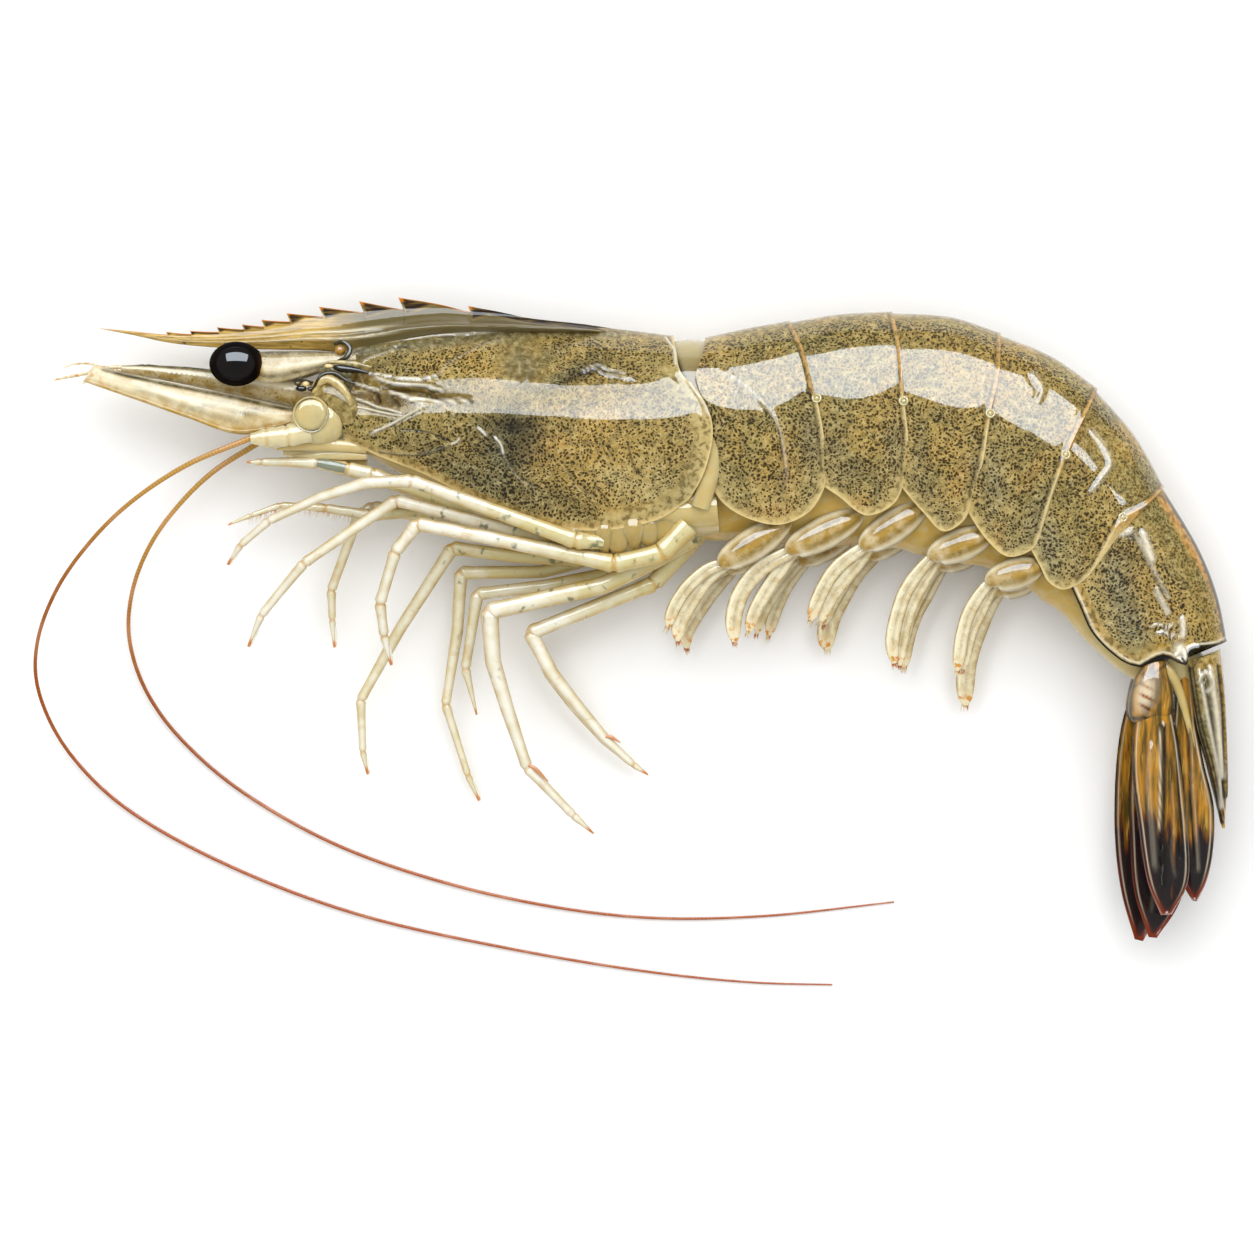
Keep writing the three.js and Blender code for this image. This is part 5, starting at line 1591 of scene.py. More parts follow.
@dataclass
class Abdomen:
    """The six rings of the abdomen, their hinges, and the flesh inside them."""

    first_front: Points = ((6.0, 10.0), (5.6, 7.9), (4.9, 5.7), (5.9, 2.4), (6.2, -0.3), (6.1, -2.7),
                           (6.3, -3.9))
    tuck: float = 0.9
    ring_backs: Sequence[Points] = (((10.3, 10.95),), ((20.5, 12.5),), ((32.4, 12.2),), ((43.4, 7.9),),
                                    ((52.3, -0.6),), ((59.4, -13.1), (61.3, -18)))
    ring_rears: Sequence[Points] = (
        ((15, 11.8), (16.6, 8), (17.4, 4.5), (17.9, 2.7), (18.5, -1.1), (18.8, -4.3)),
        ((26.1, 12.8), (26.8, 8.6), (27, 4.9), (27.1, 2.9), (27.5, -0.5), (27.4, -4.5)),
        ((37.8, 10.5), (37.3, 5.4), (36.4, 1.6), (35.7, -2.7), (34.7, -7.1)),
        ((48.3, 4.5), (46.4, 0.9), (44.6, -2.8), (42.9, -7.3), (41.5, -12.1)),
        ((55.5, -6.2), (52.7, -8.6), (50.8, -9.7), (48.9, -12.5), (47.5, -15.1), (46.3, -16.4)),
        ((62.3, -22.8), (60.9, -23.3), (57.9, -23.8), (57.6, -25.3), (55.2, -24.3), (52.7, -25.5)))
    ring_bellies: Sequence[Points] = (
        ((6.8, -6.6), (9, -8.9), (13.7, -10.3), (17, -8.9), (18.5, -6.5)),
        ((20.1, -7.2), (23.2, -9.3), (26.2, -7.9)), ((29.2, -8.9), (31.5, -11), (33.5, -9.9)),
        ((36.1, -11.9), (38.4, -13.7), (40.6, -13.1)), ((41.8, -14.6), (42.8, -16.4), (44.3, -17.2)),
        ((46.2, -19.1), (47.4, -21.7), (49.2, -23.7), (51.2, -25.1)))
    ring_half_widths: Sequence[Sequence[float]] = ((7.35, 7.6, 7.65), (7.55, 7.7, 7.6), (7.5, 7.55, 7.3),
                                                   (7.2, 7, 6.6), (6.5, 6.1, 5.5), (5.4, 4.7, 3.9))
    under_ends: Points = ((18.0, -5.8), (26.6, -5.9), (33.9, -8.7), (40.6, -12.5), (45.2, -16.9))
    hinges: Points = ((17.8, 3.2), (27.1, 2.9), (36.4, 1.6), (44.5, -2.8), (50.7, -9.5))
    hinge_offs: Sequence[float] = (7.75, 7.75, 7.5, 6.7, 5.5)
    underside: Points = ((5.5, -6.5, 5.2, 5.0), (12, -6.4, 5.8, 5.6), (19, -6.6, 6.0, 5.8),
                         (27, -6.9, 6.1, 5.8), (34, -8.4, 5.8, 5.5), (40, -11.2, 5.0, 5.0),
                         (45, -15.4, 3.9, 4.3), (48.4, -19.4, 3.2, 3.6), (51.4, -22.7, 3.1, 2.9),
                         (54.6, -24.4, 3.2, 2.6), (57.6, -25.6, 2.9, 2.2), (59.8, -26.6, 1.2, 1.2))
    flatness: float = 0.66  # how deep the flesh is beside the depth of the rings
    knob_radius: float = 0.42

    def ridges(self, number: int) -> tuple[Ridge, ...]:
        """The ridges on a ring, counted from 1. Where a ridge has a pale value, it paints a highlight along
        its crest.
        """
        return {
            1: (Ridge(((4.8, 7.1), (9.0, 5.4), (11.6, 3.2), (13.7, 0.3), (14.4, -2.8), (14.7, -7.6)), 0.13,
                      0.14, 0.6, -1, 0.4, 0.3),),
            4: (Ridge(((40.8, 6.3), (42.1, 4.1), (41.4, 2.8)), 0.3, 0.2, 0.4, -1, 0.2),),
            5: (Ridge(((46.9, 0.3), (48.4, -1.3), (49.4, -3.8), (48.4, -5.3), (47.1, -7.2)), 0.28, 0.16, 0.3,
                      -1, 0.3),),
            # On the last ring most of these ridges are there to paint its highlights with their pale crests.
            6: (Ridge(((51.4, -10.7), (53.0, -12.9), (54.6, -16.2), (55.9, -18.4)), 0.15, 0.24, 0.7, -1, 0.4,
                      0.05),
                Ridge(((52.7, -10.6), (53.3, -12.3), (54.1, -14.7)), 0.36, 0.26, 0.5, -1, 0.85, 0.2),
                Ridge(((49.3, -10.9), (50.8, -11.3), (52.1, -10.9)), 0.2, 0.2, 0.5, -1, 0.85, 0.2),
                Ridge(((53.6, -21.3), (54.6, -21.0), (55.6, -21.3), (56.3, -20.9)), 0.1, 0.14, 0.7, -1, 0.9,
                      0.1),
                Ridge(((54.2, -22.0), (55.2, -21.8), (56.0, -22.3), (56.6, -21.9)), 0.1, 0.14, 0.7, -1, 0.9,
                      0.1),
                Ridge(((57.1, -20.0), (57.25, -21.3), (57.2, -22.6)), 0.26, 0.28, 0.3, -1, 0.9, 0.15),
                Ridge(((50.0, -15.0), (51.5, -16.6), (52.5, -15.2), (53.1, -15.5)), 0.12, -0.06, 0.0, -1,
                      0.0, 0.2, 0.6),
                Ridge(((57.5, -16.2), (58.3, -17.4), (58.0, -18.6)), 0.12, -0.06, 0.0, -1, 0.0, 0.2, 0.6),
                Ridge(((54.2, -17.0), (55.0, -18.6), (55.8, -20.1)), 0.2, 0.25, 0.4, -1, 0.85, 0.1),
                Ridge(((56.4, -24.4), (57.2, -23.6), (57.5, -24.8)), 0.16, 0.2, 0.9, -1, 0.9, 0.05)),
        }.get(number, ())

    def tones(self, number: int) -> dict[str, Sequence[Patch]]:
        """The tones of a ring, counted from 1."""
        return {
            1: {"grey": (Patch(17.2, -1.2, 1.4, 3.2, 0, 0.75), Patch(6.6, -4.5, 1.2, 5.0, 0, 0.5)),
                "amber": (Patch(14.6, -4.2, 0.5, 3.4, 8, 0.45), Patch(12.5, -8.8, 2.6, 1.0, 0, 0.4)),
                "teal": (Patch(14.2, -5.6, 0.6, 2.6, 0, 0.5), Patch(17.2, -2.4, 1.2, 2.2, 0, 0.25))},
            2: {"grey": (Patch(19.8, -2.2, 1.4, 3.0, 0, 0.5), Patch(26.2, -2.0, 1.2, 3.6, 0, 0.6)),
                "teal": (Patch(21.8, -4.4, 1.4, 1.4, 0, 0.6), Patch(24.3, -7.2, 0.4, 1.8, 0, 0.8)),
                "amber": (Patch(22.6, -8.0, 1.8, 1.0, 0, 0.45),)},
            3: {"grey": (Patch(28.6, -3.4, 1.2, 3.2, 0, 0.5), Patch(34.8, -4.2, 1.2, 2.6, 0, 0.55)),
                "teal": (Patch(29.8, -6.6, 1.0, 1.4, 0, 0.5), Patch(31.4, -9.6, 1.0, 1.2, 0, 0.75)),
                "amber": (Patch(32.8, -5.8, 1.0, 2.6, -20, 0.5),)},
            4: {"grey": (Patch(36.8, -6.0, 1.6, 4.4, 8, 0.75), Patch(41.2, -9.6, 1.2, 3.0, -18, 0.6)),
                "teal": (Patch(38.2, -12.2, 0.8, 1.6, 0, 0.6),),
                "amber": (Patch(40.6, -5.2, 0.6, 3.4, -35, 0.4), Patch(37.6, -11.4, 0.8, 1.6, 0, 0.4))},
            5: {"grey": (Patch(42.6, -12.6, 1.4, 3.2, 0, 0.9), Patch(45.8, -14.4, 1.2, 1.6, 0, 0.5),
                         Patch(49.6, 1.8, 1.4, 1.2, -45, 0.8)),
                "teal": (Patch(42.9, -14.8, 0.8, 1.6, 0, 0.6), Patch(53.8, -5.4, 1.2, 0.8, 0, 0.5)),
                "pale": (Patch(42.2, -15.4, 0.8, 2.0, 0, 0.4),)},
            6: {"grey": (Patch(50.2, -16.6, 2.2, 5.0, 12, 0.95), Patch(51.8, -21.6, 1.8, 2.2, 20, 0.8)),
                "amber": (Patch(55.8, -19.4, 2.2, 2.2, 0, 0.25), Patch(52.4, -15.8, 1.4, 1.4, 0, 0.2)),
                "bare": (Patch(54.6, -24.0, 2.6, 0.8, 0, 1.0), Patch(57.0, -23.6, 0.9, 0.9, 0, 0.8)),
                # A painted highlight near the rear of the last ring.
                "line": (Patch(56.9, -23.7, 0.6, 0.7, 20, 0.75),),
                "pale": (Patch(56.2, -15.6, 1.0, 3.0, 25, 0.2),)},
        }[number]

    def ring(self, number: int, front: Points) -> None:
        """Makes one ring.

        Args:
            number: its place, counted from 1.
            front: its front edge.
        """
        i = number - 1
        rear = self.ring_rears[i]
        plate = RingPlate(back=(front[0], *self.ring_backs[i], rear[0]), rear=rear, front=front,
                          belly=(front[-1], *self.ring_bellies[i], rear[-1]),
                          half_widths=self.ring_half_widths[i],
                          ridges=self.ridges(number), tones=self.tones(number),
                          band=0.0 if number == 6 else 0.8)
        maker = PieceMaker().loft(*plate.rings(), hollow_ends=True)
        maker.build(f"abdomen_plate_{number}", SpeckledShell(), [f"abdomen_ring_{number}"])

    def flesh(self) -> None:
        """Makes the flesh that the rings wrap, with its yellow underside."""
        stations = [[x, y, MID, wide, self.flatness * thick] for x, y, wide, thick in self.underside]
        line = smooth_rows(stations, 120)
        angle = turns(48)
        folds = np.sin(np.arange(120) * 0.55)[:, None] * 0.035 * np.clip(-np.cos(angle), 0, 1)
        rings = sweep(line, 48)
        middle = line[:, None, :3]
        rings = middle + (rings - middle) * (1 + folds)[..., None]
        maker = PieceMaker().loft(rings, {"honey": 1 - 0.6 * eased(line[:, :1], 46.0, 50.0)})
        maker.build("abdomen_flesh", ClearFlesh(), ["abdomen_underside"])

    def knobs(self) -> None:
        """Makes the hinge knobs between the rings, on both sides."""
        places, ways = [], []
        for side in Side:
            for (x, y), off in zip(self.hinges, self.hinge_offs):
                places.append([x, y, MID + side.value * off])
                ways.append([0.0, 0.15, side.value])
        inside = [i for i, place in enumerate(places) if place[2] > 0.4]
        mesh = HingeKnobs().run(np.array(places)[inside], [], {"way": np.array(ways)[inside]},
                                {"Radius": self.knob_radius * MM}, ClearFlesh())
        show("hinge_knobs", mesh, ClearFlesh())

    def build(self) -> None:
        """Makes the whole abdomen."""
        front = self.first_front
        for number in range(1, 7):
            self.ring(number, front)
            front = [*moved(self.ring_rears[number - 1], -self.tuck), self.under_ends[min(number - 1, 4)]]
        self.flesh()
        self.knobs()


# ---- Head -----------------------------------------------------------------------------------


@dataclass
class Leaf:
    """A thin arched leaf between two edges, on one side of the halving plane."""

    left: Points
    right: Points
    heights: Sequence[float]
    thickness: float
    arch: float
    side: Side
    along: int = 130
    across: int = 44
    ridges: Sequence[Ridge] = ()

    def rings(self) -> tuple[Floats, Marks, Floats]:
        """The leaf's points.

        Returns:
            The points, the marks "dark" and "pale" of its ridges, the pale one a painted highlight on their
            crests, and the distance to its rim.
        """
        t = np.linspace(0, 1, self.along)[:, None]
        share = (1 - np.cos(np.linspace(0, np.pi, self.across)))[None, :] / 2
        left, right = Path(self.left).at(t[:, 0])[:, None], Path(self.right).at(t[:, 0])[:, None]
        plan = left + (right - left) * share[..., None]
        x, y = plan[..., 0], plan[..., 1]
        bulge = 1 - (2 * share - 1) ** 2
        lift, dark, pale = (np.zeros(x.shape) for _ in range(3))
        for ridge in self.ridges:
            up, furrow, crest = ridge.shape(x, y)
            lift, dark, pale = lift + up, np.maximum(dark, furrow), np.maximum(pale, crest)
        wide = np.linalg.norm(right - left, axis=-1)
        gap = np.minimum(np.minimum(share, 1 - share) * wide, (1 - t) * Path(self.left).reach[-1])
        rim = 0.12 * bell(gap, 0.16, 0.15)
        half = self.thickness * (0.25 + 0.75 * bulge) / 2 * eased(gap, -0.12, 0.2)
        off = read_list(self.heights, t) + self.arch * bulge
        top, low = off + half + lift * eased(gap, 0, 0.3) + rim, off - half
        upper = np.stack([x, y, MID + self.side.value * top], axis=-1)
        lower = np.stack([x, y, MID + self.side.value * low], axis=-1)
        points = np.concatenate([upper, lower[:, ::-1]], axis=1)
        points[..., 2] = np.maximum(points[..., 2], 0.0)

        def both(values: Floats) -> Floats:
            """Values on the upper skin, repeated on the lower one."""
            return np.concatenate([values, values[:, ::-1]], axis=1)

        return points, {"dark": both(dark), "pale": both(pale)}, both(gap)


@dataclass
class Eyes:
    """The two eyes on their stalks, and the knobs at the roots of the stalks."""

    at: tuple[float, float] = (-44.43, 6.97)
    off: float = 4.6
    radii: tuple[float, float, float] = (2.9, 2.4, 2.4)
    stalk: Points = ((-31.8, 7.7, 1.8, 0.6, 0.7), (-33.7, 7.6, 2.2, 0.7, 0.8), (-35.6, 7.35, 2.7, 1.05, 1.0),
                     (-38.2, 6.95, 3.4, 1.45, 1.2), (-40.8, 6.65, 3.9, 1.7, 1.35),
                     (-42.2, 6.8, 4.1, 1.5, 1.2))

    def build(self) -> None:
        """Makes both eyes and stalks."""
        for side in Side:
            self.eye(side)
            self.stem(side)

    def eye(self, side: Side) -> None:
        """Makes one eye with the collar that it sits in."""
        maker = PieceMaker()
        polar = np.linspace(0.01, np.pi - 0.01, 49)[:, None]
        around = turns(64)[None, :]
        way = np.stack([np.cos(polar) * np.ones_like(around), np.sin(polar) * np.cos(around),
                        np.sin(polar) * np.sin(around)], axis=-1)
        centre = np.array([*self.at, MID + side.value * self.off])
        back = eased(way[..., 0], 0.75, 1.0)
        edge = eased(way[..., 2] * side.value, 0.3, -0.1) * 0.4
        top = eased(way[..., 2] * side.value, 0.66, 0.76)
        maker.loft(centre + way * np.array(self.radii), {"brown": np.clip(back + edge, 0, 1), "top": top})
        maker.build(f"eye_ball_{side.word}", EyeGlass(), [f"eye_{side.word}"])

    def stem(self, side: Side) -> None:
        """Makes one stalk, ridged along its middle with a painted highlight line on the ridge, and dark along
        its upper edge.
        """
        rows = smooth_rows(outward(self.stalk, side), 90)
        angle = turns(40)

        def ripple(turn: Floats) -> Floats:
            """A ridge along the top and flattened sides."""
            return 1 + 0.1 * bell(turn, 0.22, 1.35) - 0.07 * bell(turn, 0.3, 0.8)

        rings = sweep(rows, 40, ripple)
        share = np.linspace(0, 1, 90)[:, None]
        upper = bell(angle, 0.55, 2.85)[None, :]
        furrow = bell(angle, 0.2, 0.85)[None, :] * eased(share, 0.1, 0.3) * 0.6
        collar = eased(share, 0.93, 0.98)
        maker = PieceMaker().loft(rings, {"vein": upper * 0.9 + furrow + 0.12, "dots": upper * 0.7 + 0.35,
                                          "dull": 0.55,
                                          # A pale line along the ridge paints its highlight.
                                          "edge": bell(angle, 0.16, 1.4)[None, :] * 0.6 * (1 - collar),
                                          "honey": 0.35 + 0.65 * collar})
        maker.build(f"eye_stalk_body_{side.word}", SwimLeaf(), [f"eye_stalk_{side.word}"])


@dataclass
class HeadFolds:
    """The folds round the orbit: a knob in its socket, a spine with painted shade under it, a crescent and
    dark facets.
    """

    bars: Sequence[tuple[Points, dict[str, float]]] = (
        (((-36.1, 3.9, 4.2, 0.3, 0.3), (-35.7, 4.9, 4.5, 0.45, 0.4), (-34.6, 5.35, 4.7, 0.5, 0.45),
          (-33.4, 4.7, 4.9, 0.5, 0.45), (-32.6, 3.7, 5.0, 0.4, 0.4), (-32.1, 2.5, 5.0, 0.25, 0.3)),
         {"pale": 0.4, "rim": 0.4}),
        (((-36.0, 3.4, 3.8, 0.7, 0.8), (-34.4, 3.7, 4.2, 1.3, 0.9), (-32.6, 2.2, 4.3, 1.3, 0.9),
          (-32.4, 0.6, 4.0, 0.8, 0.7)), {"pale": 0.3, "umber": 0.3}),
        (((-36.4, 4.0, 4.3, 0.1, 0.1), (-35.9, 4.75, 4.7, 0.2, 0.2), (-35.2, 5.75, 4.8, 0.22, 0.2),
          (-33.9, 5.95, 4.9, 0.2, 0.2), (-32.6, 5.2, 5.0, 0.16, 0.2), (-31.6, 4.8, 5.1, 0.1, 0.1)),
          {"dark": 0.9}),
        (((-34.7, 7.2, 4.4, 0.03, 0.03), (-33.2, 7.15, 4.7, 0.2, 0.2), (-31.6, 6.95, 5.0, 0.26, 0.24),
          (-29.9, 6.6, 5.1, 0.1, 0.1)), {"pale": 0.7}),
        # A dark bar under the spine: painted shade cast by the spine.
        (((-34.5, 6.7, 4.0, 0.1, 0.1), (-33.3, 6.5, 4.3, 0.42, 0.3), (-31.6, 6.3, 4.6, 0.34, 0.3),
          (-30.2, 6.0, 4.8, 0.1, 0.1)), {"dark": 0.95}),
        (((-34.0, 9.25, 2.2, 0.2, 0.2), (-33.0, 9.4, 2.6, 0.26, 0.25), (-32.3, 8.7, 2.9, 0.28, 0.25),
          (-32.6, 7.8, 3.1, 0.26, 0.25), (-33.6, 7.4, 3.0, 0.1, 0.1)), {"dark": 0.8, "grey": 0.5}),
        (((-35.5, 6.1, 3.4, 0.5, 0.4), (-34.0, 6.3, 3.9, 0.7, 0.4), (-32.0, 6.0, 4.2, 0.6, 0.4)),
         {"grey": 0.8, "teal": 0.2}))
    beads: Sequence[tuple[float, float, float, tuple[float, float, float], dict[str, float]]] = (
        (-33.35, 8.5, 2.9, (0.58, 0.55, 0.5), {"amber": 1.0, "dark": 0.25}),
        (-37.5, 4.35, 3.6, (0.62, 0.34, 0.4), {"dark": 1.0}),
        (-37.0, 4.85, 3.8, (0.4, 0.3, 0.4), {"rim": 1.0}),
        (-37.9, 4.9, 3.5, (0.4, 0.3, 0.36), {"dark": 0.7}),
        (-36.5, 4.3, 4.0, (0.36, 0.26, 0.36), {"dark": 0.9}),
        (-34.5, 6.75, 4.2, (0.5, 0.26, 0.3), {"rim": 0.9}))

    def build(self) -> None:
        """Makes the folds of both sides as one piece."""
        maker = PieceMaker()
        for side in Side:
            for line, tones in self.bars:
                maker.rod(outward(line, side), 40, 16, {"bare": 1.0, **tones})
            for x, y, off, size, tones in self.beads:
                maker.ball((x, y, MID + side.value * off), size, {"bare": 1.0, **tones}, 20)
        maker.build("head_folds", SpeckledShell())


@dataclass
class Antennules:
    """The first feelers: broad jointed stems that end in short fine whips."""

    stem: Points = ((-31.5, 3.6, 1.1, 1.1, 0.8), (-34.2, 3.7, 1.3, 1.1, 0.9), (-38, 4.0, 1.4, 1.5, 0.95),
                    (-44, 4.9, 1.1, 1.25, 0.85), (-50, 5.85, 1.05, 0.95, 0.75), (-54.5, 6.4, 1, 0.62, 0.5),
                    (-57, 6.6, 0.95, 0.36, 0.36))
    whips: Sequence[Points] = (
        ((-56.8, 6.75, 0.95, 0.24, 0.24), (-59.2, 6.75, 0.95, 0.16, 0.16), (-60.4, 7.15, 0.95, 0.1, 0.1),
         (-62.2, 7.1, 0.9, 0.06, 0.06), (-63.3, 6.75, 0.9, 0.03, 0.03)),
        ((-56.8, 6.45, 0.9, 0.24, 0.24), (-60.2, 6.2, 0.9, 0.16, 0.16), (-62.6, 5.75, 0.85, 0.12, 0.12),
         (-64.4, 5.4, 0.8, 0.05, 0.05)),
        ((-57.4, 6.2, 0.9, 0.14, 0.14), (-59.5, 5.75, 0.9, 0.1, 0.1), (-61.3, 5.0, 0.85, 0.04, 0.04)))
    beads: int = 11
    first_bead: tuple[float, float, float] = (-51.8, 6.15, 1.88)
    bead_step: float = 0.55

    def build(self) -> None:
        """Makes both, each with a row of small beads along its stem."""
        for side in Side:
            rows, beside, share = Jointed(outward(self.stem, side), least_bend=0.09, pinch=0.12).line()
            angle = turns(24)
            upper = bell(angle, 0.6, 2.8)[None, :]
            maker = PieceMaker().loft(sweep(rows, 24), {
                "vein": upper * 0.8 + 0.3, "dots": 0.7, "honey": 0.8, "dull": 0.6,
                "edge": 0.8 * bell(angle, 0.25, 1.9)[None, :], "tip": 0.5 * eased(share, 0.9, 1.0)[:, None]})
            for whip in self.whips:
                maker.rod(outward(whip, side), 40, 8, {"tip": 0.9, "honey": 1.0})
            x, y, off = self.first_bead
            for k in range(self.beads):
                place = (x + k * self.bead_step, y - 0.1 * k * self.bead_step, MID + side.value * off)
                maker.ball(place, (0.2, 0.14, 0.16), {"edge": 1.0}, 10)
            maker.build(f"antennule_stem_{side.word}", SwimLeaf(), [f"antennule_{side.word}"])


@dataclass
class AntennaBases:
    """The bases of the second feelers, with the long scales that grow beside them."""

    body: tuple[float, float, float] = (-35.6, 0.9, 3.1)
    knuckle: tuple[float, float, float] = (-36.4, 1.5, 4.3)
    stem: Points = ((-36.6, -0.2, 4.0, 1.25, 1.0), (-39.0, -0.75, 4.3, 1.1, 0.95),
                    (-41.2, -0.95, 4.5, 0.95, 0.8), (-42.9, -1.05, 4.5, 0.55, 0.5))
    scale_left: Points = ((-37.6, 2.1), (-39.1, 2.4), (-44.3, 3.6), (-50.8, 4.9), (-56, 6), (-59.9, 7.0))
    scale_right: Points = ((-38.2, 0.9), (-39.4, 0.4), (-44.5, -0.4), (-50.2, 1.4), (-55.3, 3.2),
                           (-61.1, 5.2))

    def build(self) -> None:
        """Makes both bases and both scales."""
        for side in Side:
            self.base(side)
            self.scale(side)

    def base(self, side: Side) -> None:
        """Makes one base: a body, a ringed knuckle on it, and the stem in its segments."""
        maker = PieceMaker()
        x, y, off = self.body
        maker.ball((x, y, MID + side.value * off), (3.1, 2.6, 2.1), {"honey": 0.12}, 48)
        x, y, off = self.knuckle
        height = MID + side.value * off
        turn = np.linspace(0, 2 * np.pi, 48, endpoint=False)
        profile = np.array([(0.02, 1.0), (0.7, 1.0), (1.25, 0.97), (1.6, 0.88), (1.72, 0.74), (1.86, 0.82),
                            (1.98, 0.7), (2.0, 0.4), (1.7, -0.6), (0.02, -1.0)])
        rings = np.stack([x + profile[:, :1] * np.cos(turn), y + profile[:, :1] * np.sin(turn),
                          height + side.value * profile[:, 1:] * np.ones_like(turn)], axis=-1)
        rim = np.array([0, 0, 0, 0.15, 0.9, 0.2, 0.0, 0, 0, 0])[:, None]
        lower = np.clip(0.5 + 0.8 * np.cos(2 * turn - 4.0), 0.2, 1)[None, :]
        bright = np.array([0, 0, 0, 0, 0, 0.15, 0.1, 0, 0, 0])[:, None]
        maker.loft(rings, {"dark": rim * lower, "pale": bright, "honey": 0.2 + rim * 0.5})
        rows, beside, _ = Jointed(outward(self.stem, side), least_bend=0.05, pinch=0.16).line()
        maker.loft(sweep(rows, 24), {"pale": 0.3,
                                     "honey": bell(beside, 0.2)[:, None] * np.ones(24)})
        maker.build(f"antenna_base_body_{side.word}", ClearFlesh(), [f"antenna_base_{side.word}"])

    def scale(self, side: Side) -> None:
        """Makes one scale, with its dark outer rib, a painted highlight line beside the rib, and the blotch
        in its middle.
        """
        rib = Ridge(((-37.7, 2.05), (-39.2, 2.2), (-44.3, 3.3), (-50.8, 4.62), (-56, 5.72), (-59.4, 6.62)),
                    0.17, 0.24, 0.6, -1, 0.0, 0.03, 1.0)
        # A pale line beside the rib, painting its highlight.
        crest = Ridge(((-39.2, 2.5), (-44.3, 3.65), (-50.8, 4.95), (-56, 6.05)), 0.09, 0.1, 0.0, 1, 0.9, 0.05)
        inner = Ridge(((-43.0, 0.9), (-48.0, 2.2), (-53.0, 4.0), (-56.0, 5.1)), 0.4, 0.16, 0.15, 1, 0.3)
        blade = Leaf(self.scale_left, self.scale_right, (3.2, 3.0, 2.8, 2.5, 2.1, 1.6), 0.5, 0.15, side,
                     ridges=(rib, crest, inner))
        points, marks, gap = blade.rings()
        x, y = points[..., 0], points[..., 1]
        blotch = patches(x, y, (Patch(-42.8, 1.9, 2.4, 0.55, 8, 0.9), Patch(-47.5, 2.6, 2.2, 0.4, 12, 0.7),
                                Patch(-53.6, 4.6, 1.6, 0.4, 15, 0.4)))
        outer = from_line(x, y, Path(self.scale_left).dense[::4])[0]
        lower = bell(from_line(x, y, Path(self.scale_right).dense[::4])[0], 0.45)
        maker = PieceMaker().loft(points, {
            "vein": np.clip(marks["dark"] * 1.1 + blotch * 0.6, 0, 1), "dots": blotch, "dull": 0.7,
            "edge": np.clip(marks["pale"] + 0.55 * bell(outer, 0.3, 1.3), 0, 0.8),
            "honey": np.clip(0.25 + lower + 0.2 * eased(x, -50, -42), 0, 1),
            "tip": 0.5 * eased(x, -57.5, -60.5)})
        maker.build(f"antennal_scale_blade_{side.word}", SwimLeaf(), [f"antennal_scale_{side.word}"])


@dataclass
class Feelers:
    """The two long second feelers."""

    lines: dict[str, Points] = field(default_factory=lambda: {
        "near": ((-42.6, -0.85, 11.6), (-50.04, -3.96, 10.4), (-56.34, -8.12, 8.8), (-60.84, -12.5, 6.9),
                 (-64.31, -17.33, 5), (-66.44, -22.73, 3.3), (-66.63, -27.36, 2.1), (-64.5, -33, 1.1),
                 (-60.3, -38.27, 0.6), (-54.9, -42.48, 0.45), (-44.85, -47.73, 0.4), (-31.95, -52.53, 0.35),
                 (-15.76, -56.22, 0.3), (-0.19, -58.83, 0.25), (11.24, -60, 0.2), (19.9, -60.26, 0.18)),
        "far": ((-42.6, -1.35, 3.1), (-47.47, -4.47, 3), (-51.32, -8.21, 2.6), (-54.28, -12.31, 2.1),
                (-56.21, -17.07, 1.5), (-56.72, -21.71, 1.1), (-55.69, -26.33, 0.8), (-53.25, -30.83, 0.6),
                (-49.2, -35.34, 0.5), (-43.8, -39.63, 0.45), (-34.2, -44.97, 0.4), (-22.5, -49.08, 0.35),
                (-10.04, -51.84, 0.3), (0.44, -52.98, 0.25), (12.51, -52.76, 0.2), (26.62, -51.24, 0.18))})
    radii: Sequence[float] = (0.32, 0.25, 0.22, 0.2, 0.19, 0.18, 0.17, 0.155, 0.14, 0.12, 0.08)
    points: int = 700

    def build(self) -> None:
        """Makes both feelers as rods along their lines."""
        rod = Rod()
        for name, line in self.lines.items():
            path = Path(line)
            share = np.linspace(0, 1, self.points)
            marks = {"thickness": read_list(self.radii, share) * MM, "reach": share * path.reach[-1]}
            edges = [(i, i + 1) for i in range(self.points - 1)]
            mesh = rod.run(path.at(share), edges, marks, {"Sides": 12}, FeelerRod())
            show(f"feeler_rod_{name}", mesh, FeelerRod(), [f"feeler_{name}"])


